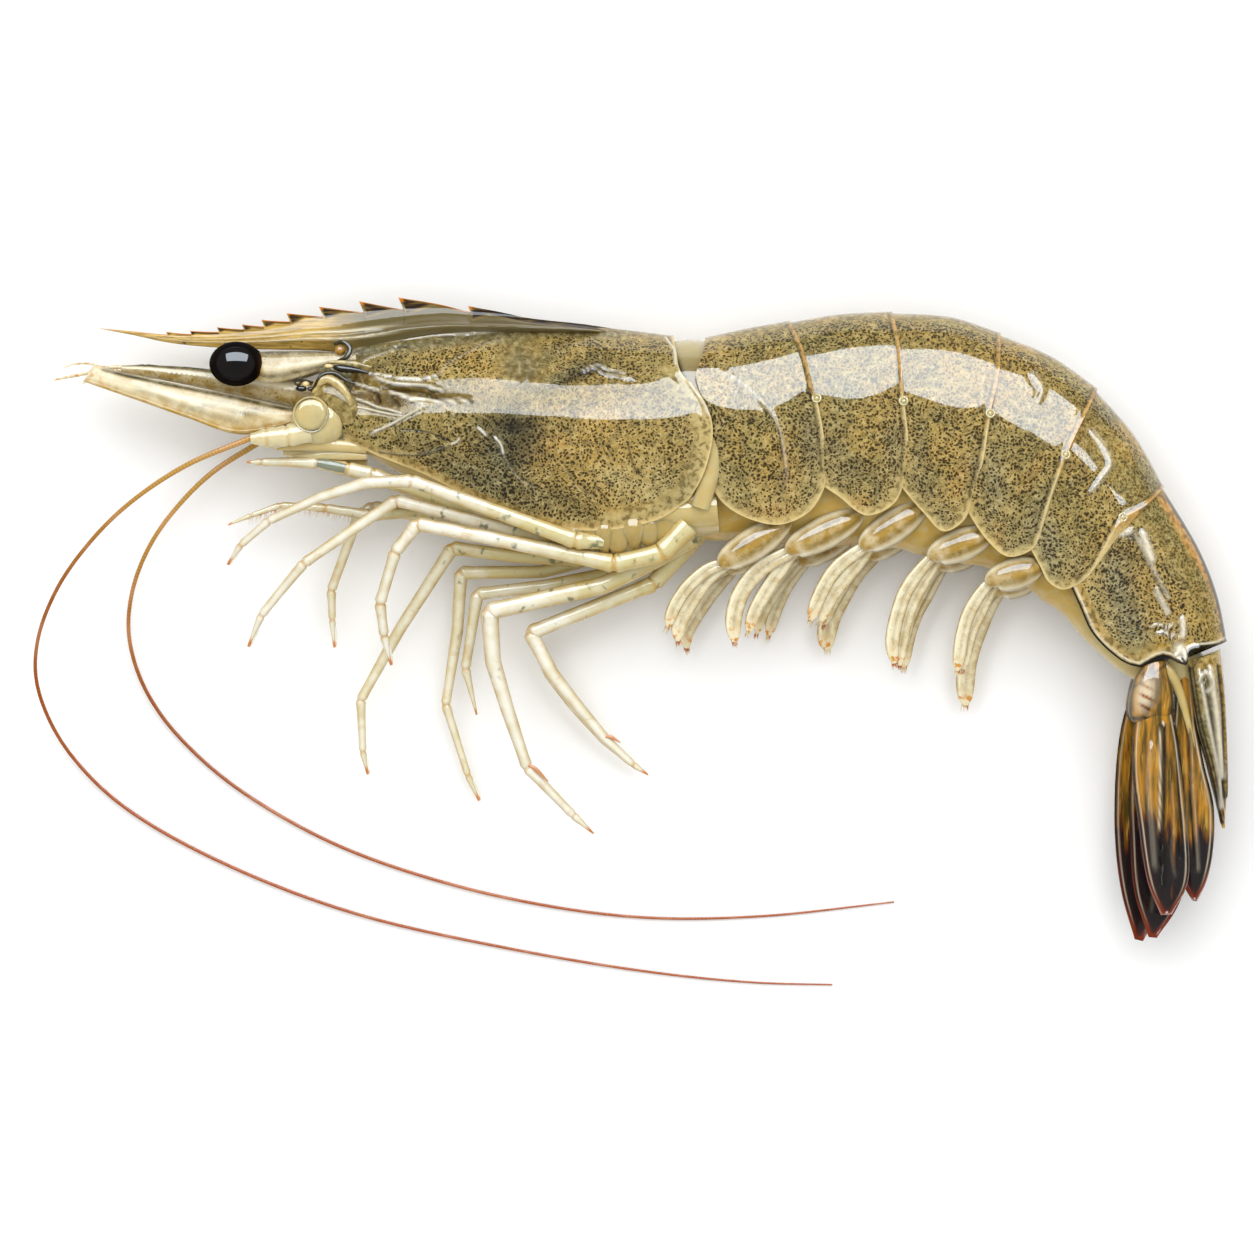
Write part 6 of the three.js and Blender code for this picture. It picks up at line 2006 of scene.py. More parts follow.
@dataclass
class Mouth:
    """The soft palps in front of the chest."""

    palps: Sequence[Points] = (
        ((-33.2, -2.2, 0, 0.9, 3), (-35.4, -2.3, 0, 1, 2.8), (-37.6, -2.6, 0, 0.8, 2),
         (-39.6, -2.5, 0, 0.3, 1.0)),
        ((-30.5, -2.9, 2.4, 0.4, 0.5), (-33.5, -2.7, 2.4, 0.6, 0.5), (-36, -2.75, 2.2, 0.5, 0.4),
         (-38.6, -2.9, 1.6, 0.1, 0.1)),
        ((-30.5, -2.0, 3.0, 0.6, 0.5), (-34.5, -1.7, 3.0, 0.7, 0.5), (-37.6, -1.8, 2.8, 0.5, 0.4),
         (-40.2, -2.2, 2.4, 0.1, 0.1)),
        ((-30.5, -3.6, 1.0, 0.4, 0.5), (-34.0, -3.5, 0.8, 0.4, 0.4), (-37.4, -3.0, 0.4, 0.1, 0.1)))

    def build(self) -> None:
        """Makes the palps as one piece."""
        maker = PieceMaker()
        for i, palp in enumerate(self.palps):
            maker.rod(outward(palp, Side.NEAR), 40, 18, {"honey": 0.3 + 0.2 * i, "pale": 0.15})
        maker.build("mouth_palps", ClearFlesh(), ["mouthparts"])


# ---- Chest and limbs ------------------------------------------------------------------------


@dataclass
class ChestUnderside:
    """The underside of the chest, with the knobs that the legs grow from."""

    stations: Points = ((-32.4, -0.2, 0, 1.3, 2.2), (-28.3, -1.9, 0, 1.9, 3), (-22.7, -4.5, 0, 2.3, 3.6),
                        (-15.5, -7.8, 0, 2.6, 4.2), (-9, -9.3, 0, 3, 4.8), (-3, -9.8, 0, 3.1, 5.2),
                        (2, -8.9, 0, 3.1, 5.4), (7.2, -8.4, 0, 3, 5.0))
    knobs: Points = ((-9.6, -11.1, 1.5), (-6.3, -11.5, 1.6), (-2.9, -11.7, 1.7), (0.3, -11.4, 1.8),
                     (3.3, -10.4, 1.8))
    knob_off: float = 3.2
    lobes: Points = ((-10.6, -9.7, 4.2, 0.75, -0.5), (-9.3, -9.9, 4.5, 0.85, -0.5),
                     (-7.8, -10.0, 4.7, 0.75, -0.4), (-6.5, -10.0, 4.9, 0.95, -0.4),
                     (-4.9, -9.9, 5.0, 0.7, 0.0), (-3.6, -9.8, 5.1, 1.0, 0.1), (-1.9, -9.6, 5.2, 0.8, 0.2),
                     (-0.5, -9.3, 5.3, 1.0, 0.4), (1.1, -8.8, 5.3, 1.15, 0.5), (2.8, -8.0, 5.4, 1.1, 0.8),
                     (4.3, -6.8, 5.4, 1.1, 0.9), (5.4, -5.2, 5.4, 0.9, 1.0))

    def build(self) -> None:
        """Makes the underside as one piece."""
        maker = PieceMaker().rod(outward(self.stations, Side.NEAR), 160, 40, {"honey": 0.5})

        def folds(way: Floats) -> Floats:
            """Soft folds round a knob."""
            return 1 + 0.035 * np.sin(7 * np.arctan2(way[..., 1], way[..., 0]) + 2.5 * way[..., 2])

        for side in Side:
            for x, y, size in self.knobs:
                centre = (x, y, MID + side.value * self.knob_off)
                maker.ball(centre, (size, size * 1.1, 1.25), {"honey": 0.4}, 36, folds)
            rim = np.abs(np.cos(turns(24)))[None, :] ** 6
            for k, (x, y, off, wide, lean) in enumerate(self.lobes):
                out = off - 0.35 * (k % 2) - float(eased(np.array(x), -2.0, 2.0))
                low = y - 2.2 - 0.3 * (k % 3)
                petal = ((x, y, out, 1.2 * wide, 0.6), (x + 0.4 * lean, y - 1.2, out, 1.4 * wide, 0.8),
                         (x + lean, low, out - 0.4, wide, 0.7), (x + lean, low - 0.9, out - 1.0, 0.4, 0.3))
                maker.rod(outward(petal, side), 30, 24, {
                    "pale": 0.3 * rim, "honey": 0.75 - 0.5 * rim, "dark": 0.2 * (1 - rim)})
        maker.build("chest_floor", ClearFlesh(), ["chest_underside"])


def add_limb(maker: PieceMaker, stations: Points, sides: int = 20, warm: float = 0.0, fleck: float = 1.0,
             least_bend: float = 0.26) -> None:
    """Adds a jointed limb with the marks that a glassy limb is painted by.

    Args:
        maker: where it is added.
        stations: its stations from the body to the tip.
        sides: points round it.
        warm: how warm its colour is.
        fleck: how strong its blue-grey flecks are.
        least_bend: the bend from which there is a joint.
    """
    rows, beside, share = Jointed(stations, least_bend=least_bend).line()
    maker.loft(sweep(rows, sides), {
        "joint": bell(beside, 0.2)[:, None], "tip": eased(share, 0.972, 0.99)[:, None],
        "edge": np.abs(np.cos(turns(sides)))[None, :] ** 2.2,
        "fleck": 1.4 * fleck * eased(share, 0.7, 0.4)[:, None],
        "warm": warm + 0.8 * eased(share, 0.5, 0.1)[:, None]})


@dataclass
class Maxillipeds:
    """The pair of jaw legs in front of the walking legs."""

    near: Points = ((-19, -8.8, 9.2, 0.75, 0.65), (-29.9, -4.9, 9.6, 0.85, 0.7),
                    (-32.6, -4.25, 9.6, 0.75, 0.6), (-35.9, -3.6, 9.4, 0.6, 0.55),
                    (-39.6, -3.5, 9, 0.5, 0.42), (-41.9, -3.5, 8.8, 0.4, 0.34), (-43.5, -3.5, 8.7, 0.1, 0.1))
    dark_band: Points = ((-32.8, -4.22, 10.05, 0.5, 0.3), (-34.4, -3.9, 10.0, 0.55, 0.32),
                         (-35.8, -3.6, 9.85, 0.45, 0.3))
    far: Points = ((-19, -8.4, 5.8, 0.6, 0.5), (-30.2, -9.2, 5.8, 0.6, 0.5), (-35.1, -8.4, 5.5, 0.45, 0.4),
                   (-40, -8.1, 5.2, 0.35, 0.3), (-43.2, -9.2, 5, 0.25, 0.22), (-45.7, -10.2, 4.8, 0.1, 0.1))

    def build(self) -> None:
        """Makes both, with fine hairs on the far one."""
        for side, stations in ((Side.NEAR, self.near), (Side.FAR, self.far)):
            maker = PieceMaker()
            add_limb(maker, stations, least_bend=0.05, fleck=0.8, warm=0.35)
            if side is Side.NEAR:
                maker.rod(self.dark_band, 24, 16, {"band": 1.0})
            maker.build(f"maxilliped_limb_{side.word}", GlassyLimb(), [f"maxilliped_{side.word}"])
        line = smooth_rows(self.far[1:5], 70)
        rows = line[:, :3].repeat(3, axis=0)
        way = np.tile([[-0.35, -1.0, 0.1]], (len(rows), 1))
        mesh = Fringe().run(rows, [], {"way": way},
                            {"Length": 1.5 * MM, "Width": 0.035 * MM, "Spread": 0.5, "Seed": 4}, Bristle())
        show("jaw_leg_hairs", mesh, Bristle())


@dataclass
class Legs:
    """The five pairs of walking legs. The first three of each side end in small pincers."""

    near: Sequence[Points] = (
        ((-5.1, -12.2, 12.4, 0.75, 0.55), (-8, -12, 13.2, 0.9, 0.6), (-25.6, -5.6, 13.3, 0.68, 0.6),
         (-30.6, -5.8, 12, 0.66, 0.55), (-35.5, -7.3, 10.4, 0.55, 0.5), (-41.1, -9.8, 8.4, 0.46, 0.42),
         (-44.2, -12.4, 6.9, 0.38, 0.36), (-45.7, -14.5, 6, 0.1, 0.1)),
        ((-1, -11.8, 10.4, 0.9, 0.7), (-4.2, -13.5, 10.4, 0.85, 0.65), (-16.2, -10.6, 10.4, 0.74, 0.65),
         (-27.3, -7.6, 10.6, 0.66, 0.58), (-37.3, -14.4, 8.8, 0.54, 0.48), (-39.7, -17.2, 7.6, 0.5, 0.45),
         (-42, -20, 6.6, 0.44, 0.4), (-43.5, -23.4, 5.6, 0.1, 0.1)),
        ((4.1, -10.4, 12, 1.25, 0.85), (1.2, -13.4, 12.1, 1.05, 0.8), (-3.9, -14.5, 12.1, 0.95, 0.78),
         (-17.7, -11.6, 12.1, 0.76, 0.66), (-25, -10.2, 11.8, 0.74, 0.62), (-27.4, -13.2, 11, 0.64, 0.58),
         (-29.1, -18.7, 9, 0.58, 0.52), (-28.7, -22.2, 7.6, 0.48, 0.42), (-28, -25.4, 6.6, 0.1, 0.1)),
        ((4.3, -11.7, 9.5, 1.2, 0.85), (-1.3, -15, 9.6, 1.0, 0.8), (-5.1, -16.8, 9.6, 0.98, 0.8),
         (-17.3, -19.6, 9.2, 0.94, 0.8), (-16.95, -25, 8, 0.88, 0.72), (-15.4, -30.2, 6.8, 0.75, 0.62),
         (-13.3, -36.5, 5.4, 0.58, 0.52), (-8.3, -41.7, 4, 0.44, 0.38), (-6.1, -43.7, 3.5, 0.1, 0.1)),
        ((5.3, -11.1, 7.4, 1.1, 0.75), (2.9, -13.9, 7.5, 0.95, 0.72), (0.4, -16.6, 7.5, 0.85, 0.7),
         (-12.9, -21.9, 7.2, 0.8, 0.68), (-10.6, -26.3, 6.5, 0.76, 0.64), (-7.9, -29.7, 5.8, 0.64, 0.58),
         (-4.8, -33.4, 5.2, 0.54, 0.5), (-1.8, -36.2, 4.6, 0.36, 0.32), (-0.2, -37.3, 4.4, 0.1, 0.1)))
    far: Sequence[Points] = (
        ((-8.8, -12.3, 4.2, 0.7, 0.5), (-11.6, -12.4, 4.2, 0.68, 0.5), (-30, -8.2, 4.1, 0.62, 0.5),
         (-31.6, -9.2, 4, 0.58, 0.5), (-34.6, -17.3, 3, 0.48, 0.42), (-34.5, -20.5, 2.6, 0.36, 0.32),
         (-34.3, -23.5, 2.3, 0.1, 0.1)),
        ((-5.6, -12.9, 5.4, 0.75, 0.55), (-7.4, -14.1, 5.4, 0.72, 0.55), (-14.9, -13.6, 5.4, 0.7, 0.55),
         (-21.4, -12.7, 5.2, 0.72, 0.55), (-27.1, -21.5, 4, 0.64, 0.5), (-31.4, -29.2, 2.9, 0.5, 0.45),
         (-31.2, -34.8, 2.1, 0.36, 0.32), (-30.7, -37.3, 1.8, 0.1, 0.1)),
        ((-4.2, -12.7, 3.5, 0.75, 0.5), (-8.1, -14.4, 3.5, 0.72, 0.5), (-11.8, -15.3, 3.5, 0.7, 0.5),
         (-20.5, -15.4, 3.6, 0.7, 0.5), (-20.9, -21.8, 2.9, 0.64, 0.5), (-22.2, -29.7, 2.2, 0.48, 0.42),
         (-19.8, -37.4, 1.3, 0.36, 0.3), (-18.6, -40.2, 1, 0.1, 0.1)),
        ((0.6, -12.8, 4.6, 0.8, 0.55), (0, -14.6, 4.6, 0.74, 0.55), (-11.1, -16.8, 4.6, 0.7, 0.55),
         (-18.7, -17.7, 4.5, 0.66, 0.55), (-20, -25.8, 3.6, 0.48, 0.42), (-18.8, -30.8, 3, 0.1, 0.1)),
        ((4.2, -12, 3, 0.9, 0.55), (2.4, -14.1, 3, 0.82, 0.55), (0.1, -16.7, 3, 0.76, 0.55),
         (-12.9, -21.9, 2.9, 0.7, 0.55), (-10.9, -26.4, 2.5, 0.62, 0.5), (-8.3, -29.9, 2.1, 0.54, 0.45),
         (-5.0, -33.6, 1.7, 0.46, 0.42), (-2.1, -36.1, 1.4, 0.3, 0.28), (-0.7, -37.1, 1.3, 0.1, 0.1)))
    spurs: Sequence[tuple[int, Points]] = (
        (4, ((-13.1, -36.2, 5.9, 0.18, 0.15), (-12.3, -36.7, 5.9, 0.22, 0.16),
             (-11.0, -38.0, 5.5, 0.06, 0.06))),
        (5, ((-4.8, -33.1, 5.7, 0.16, 0.14), (-4.2, -33.2, 5.7, 0.2, 0.15), (-3.2, -33.8, 5.5, 0.06, 0.06))))

    def finger(self, stations: Points) -> list[list[float]]:
        """The stations of the second finger of a pincer, beside the end of a leg."""
        before, tip = (np.array(stations[i], float) for i in (-2, -1))
        way = tip[:3] - before[:3]
        aside = np.array([-way[1], way[0], 0.0]) / np.linalg.norm(way)
        return [[*(before[:3] + way * t + aside * push), size, size] for t, push, size in (
            (0.05, 0.08, 0.16), (0.4, 0.26, 0.15), (0.75, 0.27, 0.12), (1.0, 0.16, 0.04))]

    def build(self) -> None:
        """Makes the ten legs."""
        for side, legs in ((Side.NEAR, self.near), (Side.FAR, self.far)):
            for number, stations in enumerate(legs, 1):
                maker = PieceMaker()
                add_limb(maker, stations, warm=0.1 if side is Side.NEAR else 0.35)
                if number <= 3:
                    tip = eased(np.linspace(0, 1, 24), 0.75, 0.95)[:, None]
                    maker.rod(self.finger(stations), 24, 12, {"tip": tip})
                for owner, spur in self.spurs if side is Side.NEAR else ():
                    if owner == number:
                        maker.rod(spur, 20, 10, {"tip": 0.9})
                maker.build(f"leg_limb_{side.word}_{number}", GlassyLimb(), [f"leg_{side.word}_{number}"])


@dataclass
class Swimmerets:
    """The five pairs of swimming legs: a stout base each, and grooved leaves that hang from it."""

    off: float = 3.4
    pairs: dict[str, Sequence[tuple]] = field(default_factory=lambda: {
        "near": (
            ((13.9, -10.5), (8.1, -14.3), (
                (0.75, ((8, -14.4), (6.4, -15), (4.1, -16.9), (2.6, -19.2), (1.9, -21.3))),
                (0.85, ((8.3, -14.4), (6.2, -16), (4.4, -18.6), (3.1, -21.2), (3, -22.8))))),
            ((21.7, -9.6), (15.4, -12.9), (
                (0.95, ((15.2, -13.1), (11.9, -15), (9.8, -17.6), (9, -20.4), (9.1, -22.9))),
                (0.8, ((15.6, -13.1), (13, -16.6), (11.3, -19.6), (10.6, -21.8))))),
            ((28.7, -8.7), (23.3, -12.4), (
                (0.8, ((23.1, -12.6), (20, -15), (18.2, -18), (17.3, -20.6))),
                (0.8, ((23.6, -12.8), (21.4, -15.6), (19.4, -18.2), (18.4, -20.6))))),
            ((35.9, -11.4), (30.7, -13.6), (
                (0.8, ((30.4, -13.8), (27.7, -17.1), (26.6, -20.1), (26.1, -22.9), (26.3, -25.2))),
                (0.75, ((31, -14), (29, -17.2), (27.7, -20.1), (27.1, -22.9), (26.9, -25.4))))),
            ((41.3, -14.9), (36.9, -16.3), (
                (0.75, ((36.5, -16.6), (34.5, -19.4), (33.7, -21.8), (33.3, -24.3), (33.1, -26))),
                (0.7, ((37.1, -16.8), (35.6, -19.6), (34.5, -22.1), (33.7, -25.8)))))),
        "far": (
            ((14.3, -10.9), (8.9, -14.9), (
                (0.55, ((8.7, -15), (6.8, -16), (4.9, -18), (3.5, -20.4), (2.9, -21.8))),
                (0.8, ((9.1, -15), (7.2, -17), (5.3, -19.6), (4, -22), (4, -23.6))))),
            ((22.3, -10), (16.8, -14), (
                (0.65, ((16.5, -14.1), (14, -17), (12.2, -20), (11.6, -22))),
                (0.75, ((17, -14.1), (15, -16.6), (13.6, -19.6), (12.9, -22.2))))),
            ((29.3, -9.1), (24.1, -13.4), (
                (0.65, ((23.7, -13.5), (21.4, -16.2), (19.8, -19), (19, -21))),
                (1.15, ((24.1, -13.6), (22.2, -15.5), (20.7, -18), (19.6, -20.3), (19.2, -22.4),
                        (19.3, -23.8))))),
            ((36.5, -11.8), (31.6, -14.6), (
                (0.65, ((31.3, -14.8), (29.4, -17.8), (28.2, -20.6), (27.4, -24))),
                (0.75, ((31.8, -14.9), (30.1, -17.8), (28.9, -20), (28, -22.9), (27.7, -25.7))))),
            ((41.9, -15.3), (37.8, -17.3), (
                (0.65, ((37.3, -17.5), (35.6, -20), (34.6, -22.6), (34.1, -25))),
                (1.05, ((37.8, -17.5), (36.6, -19.4), (35.3, -22.4), (34.5, -25.2), (34.3, -27.5),
                        (34.3, -29.8))))))})

    def base(self, maker: PieceMaker, start: Sequence[float], joint: Sequence[float], height: float,
             side: Side) -> None:
        """Adds a base limb, with pale rims and a ridge along it."""
        middle = [(a + b) / 2 for a, b in zip(start, joint)]
        way = [a - b for a, b in zip(start, joint)]
        head = [start[0] + 0.3 * way[0], start[1] + 0.3 * way[1] + 0.3]
        stations = [[*head, height - 0.9 * side.value, 0.15, 0.2],
                    [*start, height - 0.2 * side.value, 1.25, 1.1],
                    [*middle, height + 0.1 * side.value, 1.75, 1.4], [*joint, height, 1.1, 0.9],
                    [joint[0] - 0.3, joint[1] - 0.5, height - 0.1, 0.6, 0.5]]
        rows = smooth_rows(stations, 48)
        turn = turns(32)
        share = np.linspace(0, 1, 48)[:, None]

        def ripple(angle: Floats) -> Floats:
            """Two long ridges with a trough between them."""
            return 1 - 0.08 * bell(angle, 0.35, 1.57) + 0.05 * np.cos(4 * angle)

        rim = bell(turn, 0.25, 2.6) + bell(turn, 0.25, 0.55)
        furrow = bell(turn, 0.2, 1.95) + 0.7 * bell(turn, 0.2, 1.1)
        maker.loft(sweep(rows, 32, ripple), {
            "edge": 0.6 * rim[None, :] * eased(share, 0.02, 0.2) + 0.25 * bell(share, 0.05, 0.86),
            "vein": np.clip(0.7 * furrow[None, :] * eased(share, 0.0, 0.25) * eased(share, 0.9, 0.7)
                           + 0.6 * np.abs(np.cos(turn))[None, :] ** 14, 0, 1),
            "honey": 1.0, "dots": 0.6 * share})

    def leaf(self, maker: PieceMaker, start: Sequence[float], joint: Sequence[float], half: float,
             line: Points, height: float, k: int) -> Floats:
        """Adds a leaf and gives the places of its ragged end.

        Args:
            maker: where it is added.
            start, joint: the two ends of its base.
            half: its half-width.
            line: the path that it hangs along.
            height: the height of its base.
            k: its number on the base.

        Returns:
            Rows of x, y, z and the way that the end points.
        """
        root = [joint[i] + 0.18 * (start[i] - joint[i]) for i in (0, 1)]
        plan = Path([root, *line]).at(np.linspace(0, 1, 80))
        t = np.linspace(0, 1, 80)
        wide = half * np.interp(t, (0, 0.35), (0.75, 1))
        wide = wide * np.sqrt(np.maximum(0.1, 1 - (2 * np.maximum(t, 0.5) - 1) ** 6))
        rows = np.column_stack([plan, height - 0.35 - (0.5 if k else 0.0) - 1.1 * t, wide,
                                np.interp(t, (0, 1), (0.45, 0.2))])
        turn = turns(28)

        def ripple(angle: Floats) -> Floats:
            """A trough along the middle of each face."""
            return 1 - 0.35 * bell(angle, 0.3, 1.57) + 0.12 * bell(angle, 0.2, 2.3)

        share = t[:, None]
        side = np.cos(turn)[None, :]
        maker.loft(sweep(rows, 28, ripple), {
            "edge": np.clip(bell(side, 0.14, -0.62) * 0.9, 0, 1)
            * eased(share, 0.05, 0.2) * eased(share, 1.0, 0.85),
            "vein": np.clip(0.6 * bell(side, 0.12, 0.1) + 0.4 * np.abs(side) ** 10, 0, 1)
            * eased(share, 0.0, 0.15) * eased(share, 0.95, 0.8),
            "honey": 0.05 + 0.9 * np.abs(side) ** 6, "dots": 0.25, "tip": eased(share, 0.84, 0.97)})
        way = rows[-1, :3] - rows[-4, :3]
        way /= np.linalg.norm(way)
        aside = np.array([-way[1], way[0], 0])
        spread = np.linspace(-0.8, 0.8, 12)
        places = rows[-2, :3] + aside * (spread * wide[-2] * 1.1)[:, None]
        return np.column_stack([places, np.tile(way, (12, 1))])

    def build(self) -> None:
        """Makes the ten swimmerets and the ragged ends of their leaves."""
        ends = []
        for side in Side:
            for number, (start, joint, leaves) in enumerate(self.pairs[side.word], 1):
                height = MID + side.value * self.off
                maker = PieceMaker()
                self.base(maker, start, joint, height, side)
                for k, (half, line) in enumerate(leaves):
                    ends.append(self.leaf(maker, start, joint, half, line, height, k))
                maker.build(f"swimmeret_limb_{side.word}_{number}", SwimLeaf(),
                            [f"swimmeret_{side.word}_{number}"])
        rows = np.vstack(ends)
        mesh = Fringe().run(rows[:, :3], [], {"way": rows[:, 3:]},
                            {"Length": 1.0 * MM, "Width": 0.07 * MM, "Spread": 0.22, "Seed": 7}, Bristle())
        show("swimmeret_hairs", mesh, Bristle())


# ---- Tail -----------------------------------------------------------------------------------


@dataclass
class Tail:
    """The telson, the two tail joints and the four blades."""

    joint: Points = ((54.6, -24.4, 1.9, 1.2, 0.9), (54.3, -26.0, 2.3, 1.5, 1.2),
                     (54.1, -27.2, 2.4, 2.0, 1.35), (54.0, -29.0, 2.4, 2.35, 1.3),
                     (53.9, -30.6, 2.3, 2.35, 1.0), (53.9, -31.5, 2.2, 1.9, 0.7))
    skin: Points = ((54.6, -24.6, 1.9, 0.6, 0.6), (56.0, -26.2, 2.3, 0.6, 0.5), (56.9, -27.9, 1.9, 0.5, 0.4),
                    (57.6, -30.0, 1.5, 0.4, 0.3), (58.2, -32.3, 1.3, 0.3, 0.25),
                    (59.0, -35.4, 1.0, 0.08, 0.1))

    def telson(self) -> None:
        """Makes the pointed middle piece."""
        plate = Plate(
            back=((61.6, -23.6), (62.1, -28.3), (62.3, -36), (62.25, -40), (62.05, -43.0)),
            belly=((57.9, -25.0), (59.0, -32), (60.1, -35.7), (61.3, -40.4), (61.9, -43.0)),
            front=((61.6, -23.6), (60, -24.3), (57.9, -25.0)), rear=((62.05, -43.0), (61.9, -43.0)),
            half_widths=(2.8, 2.6, 2.2, 1.5, 0.3), along=110, crown_steps=26, side_steps=30, flare=0.0,
            roof=0.75,
            flap=0.25, core=0.7, rim=0.0,
            ridges=(Ridge(((58.1, -25.2), (59.2, -32.0), (60.3, -35.8), (61.4, -40.4), (61.9, -42.8)), 0.17,
                          0.1, 0.9, 1, 0.0, 0.03, 1.0),
                    Ridge(((62.0, -25.0), (62.2, -32.0), (62.2, -40.0)), 0.18, 0.1, 0.9, 1, 0.0, 0.03, 1.0),
                    Ridge(((59.0, -25.6), (60.2, -31.6), (61.3, -37.2), (61.8, -41.2)), 0.22, 0.22, 0.9, 1,
                          0.5, 0.04),
                    Ridge(((60.2, -25.2), (61.0, -31.0), (61.7, -38.0)), 0.28, 0.26, 0.6, -1, 0.6, 0.05),
                    Ridge(((61.4, -25.0), (62.0, -31.0), (62.1, -40.0)), 0.2, 0.16, 0.95, -1, 0.0, 0.03),
                    Ridge(((58.9, -27.6), (59.8, -26.2), (60.5, -27.4), (59.9, -28.6)), 0.22, 0.3, 0.5, -1,
                          0.6)),
            tones={"bare": (Patch(60.6, -34.5, 4.0, 9.5, 0, 1.0),),
                   "grey": (Patch(60.4, -31.5, 1.1, 5.0, 10, 0.8),),
                   "amber": (Patch(61.9, -36.0, 0.5, 8.0, 0, 0.5), Patch(62.0, -42.0, 0.6, 1.6, 0, 0.9)),
                   "dark": (Patch(61.6, -38.6, 0.35, 1.8, 3, 0.6),),
                   "pale": (Patch(60.6, -32.0, 0.5, 4.4, 9, 0.3),)})
        PieceMaker().loft(*plate.rings(), hollow_ends=True).build("telson_spear", SpeckledShell(), ["telson"])

    def tail_joint(self, side: Side) -> None:
        """Makes the segment that a pair of blades hangs from, with a pale painted highlight on it."""
        rows = smooth_rows(outward(self.joint, side), 60)
        rings = sweep(rows, 44)
        x, y = rings[..., 0], rings[..., 1]
        gap = 1 - np.abs(x - rows[:, None, 0]) / rows[:, None, 3]
        # A pale patch on the joint that paints its highlight, with brown hatching in it.
        painted_highlight_window = patches(x, y, (Patch(53.2, -28.4, 0.95, 1.9, -14, 1.3),))
        hatch = np.clip(np.sin(y * 5.5 + x * 3.0) * 1.4 - 0.3, 0, 1)
        hatch = hatch * patches(x, y, (Patch(53.3, -28.9, 0.6, 1.6),))
        maker = PieceMaker().loft(rings, {
            "hair": np.clip(painted_highlight_window * 0.75 - hatch, 0, 1), "edge": hatch * 0.8, "wine": 0.2 * painted_highlight_window,
            "vein": np.clip(bell(gap, 0.12) + 0.9 * bell(y, 0.26, -31.1)
                            + 0.8 * bell(painted_highlight_window, 0.16, 0.35) * eased(x, 53.0, 53.6)
                            + 0.8 * bell(y - 0.7 * (x - 54.0), 0.2, -26.4), 0, 1)})
        maker.build(f"tail_root_{side.word}", TailBlade(), [f"tail_joint_{side.word}"])

    def blades(self) -> tuple[tuple[str, Leaf], ...]:
        """The four blades with their ribs."""
        near_ribs = (
            Ridge(((55.3, -31.4), (55.3, -38.1), (55.2, -43.6), (55.3, -49.5)), 0.27, 0.28, 0.5, -1, 0.0,
                  0.03, 1.0),
            Ridge(((54.85, -31.8), (54.85, -38.1), (54.75, -43.6)), 0.1, 0.1, 0.0, -1, 0.9, 0.1),
            Ridge(((53.9, -33.2), (53.6, -38.0), (54.0, -43.0), (54.4, -48.0)), 0.28, 0.26, 0.5, -1, 0.2,
                  0.1),
            Ridge(((56.6, -31.4), (56.8, -38.1), (57.2, -43.1), (57.5, -46.4)), 0.27, 0.28, 0.5, -1, 0.0,
                  0.03, 1.0),
            Ridge(((56.1, -37.5), (56.4, -42.0), (56.1, -46.0), (56.6, -48.6)), 0.2, 0.2, 0.6, -1, 0.1, 0.1))
        inner_ribs = (
            Ridge(((57.7, -29.0), (58.4, -34.0), (58.5, -39.0), (58.9, -44.0), (59.1, -48.0)), 0.22, 0.3,
                  0.85, -1, 0.2, 0.04),
            Ridge(((58.4, -31.0), (59.4, -36.0), (60.2, -41.0)), 0.24, 0.2, 0.5, 1, 0.1, 0.08))
        far_ribs = (Ridge(((54.4, -33.0), (54.6, -40.0), (54.6, -47.0), (54.2, -52.4)), 0.22, 0.3, 0.9, -1,
                          0.1, 0.04),)
        return (
            ("tail_outer_blade_near", Leaf(
                ((52.5, -29.6), (52.0, -33), (51.9, -37), (52.5, -41.9), (53.6, -48.8), (55, -52.3)),
                ((56.2, -29.6), (56.9, -33.5), (57.5, -39), (57.9, -43.2), (57.9, -48.8), (56.2, -52.2)),
                (2.3, 2.6, 2.6, 2.4, 2.2), 0.6, 0.55, Side.NEAR, ridges=near_ribs)),
            ("tail_inner_blade_near", Leaf(
                ((56.6, -25.6), (56.3, -32.2), (55.2, -37), (55.6, -44), (57.7, -49.4), (58.5, -50.8)),
                ((58.4, -25.6), (59.0, -31.6), (59.8, -36.2), (60.8, -40.6), (60.7, -45.6), (60, -48.8),
                 (59, -50.9)),
                (0.6, 0.7, 0.9, 0.9, 0.8), 0.5, 0.4, Side.NEAR, ridges=inner_ribs)),
            ("tail_inner_blade_far", Leaf(
                ((52.8, -30), (51.8, -38), (51.9, -44), (52.4, -50), (53.9, -54.8)),
                ((57, -30), (58.6, -38), (58.8, -45), (57.2, -51.2), (54.8, -54.9)),
                (0.9, 0.9, 0.9, 0.8), 0.5, 0.4, Side.FAR, ridges=far_ribs)),
            ("tail_outer_blade_far", Leaf(
                ((52.2, -28.2), (51.2, -31.4), (50.5, -36.5), (50.4, -44.4), (51.1, -50.1), (52.5, -55.1)),
                ((54.5, -28.2), (56.2, -33), (56.6, -38), (56.4, -45), (55.6, -51), (53.4, -55.3)),
                (2.3, 2.6, 2.6, 2.4, 2.2), 0.6, 0.55, Side.FAR, ridges=far_ribs)))

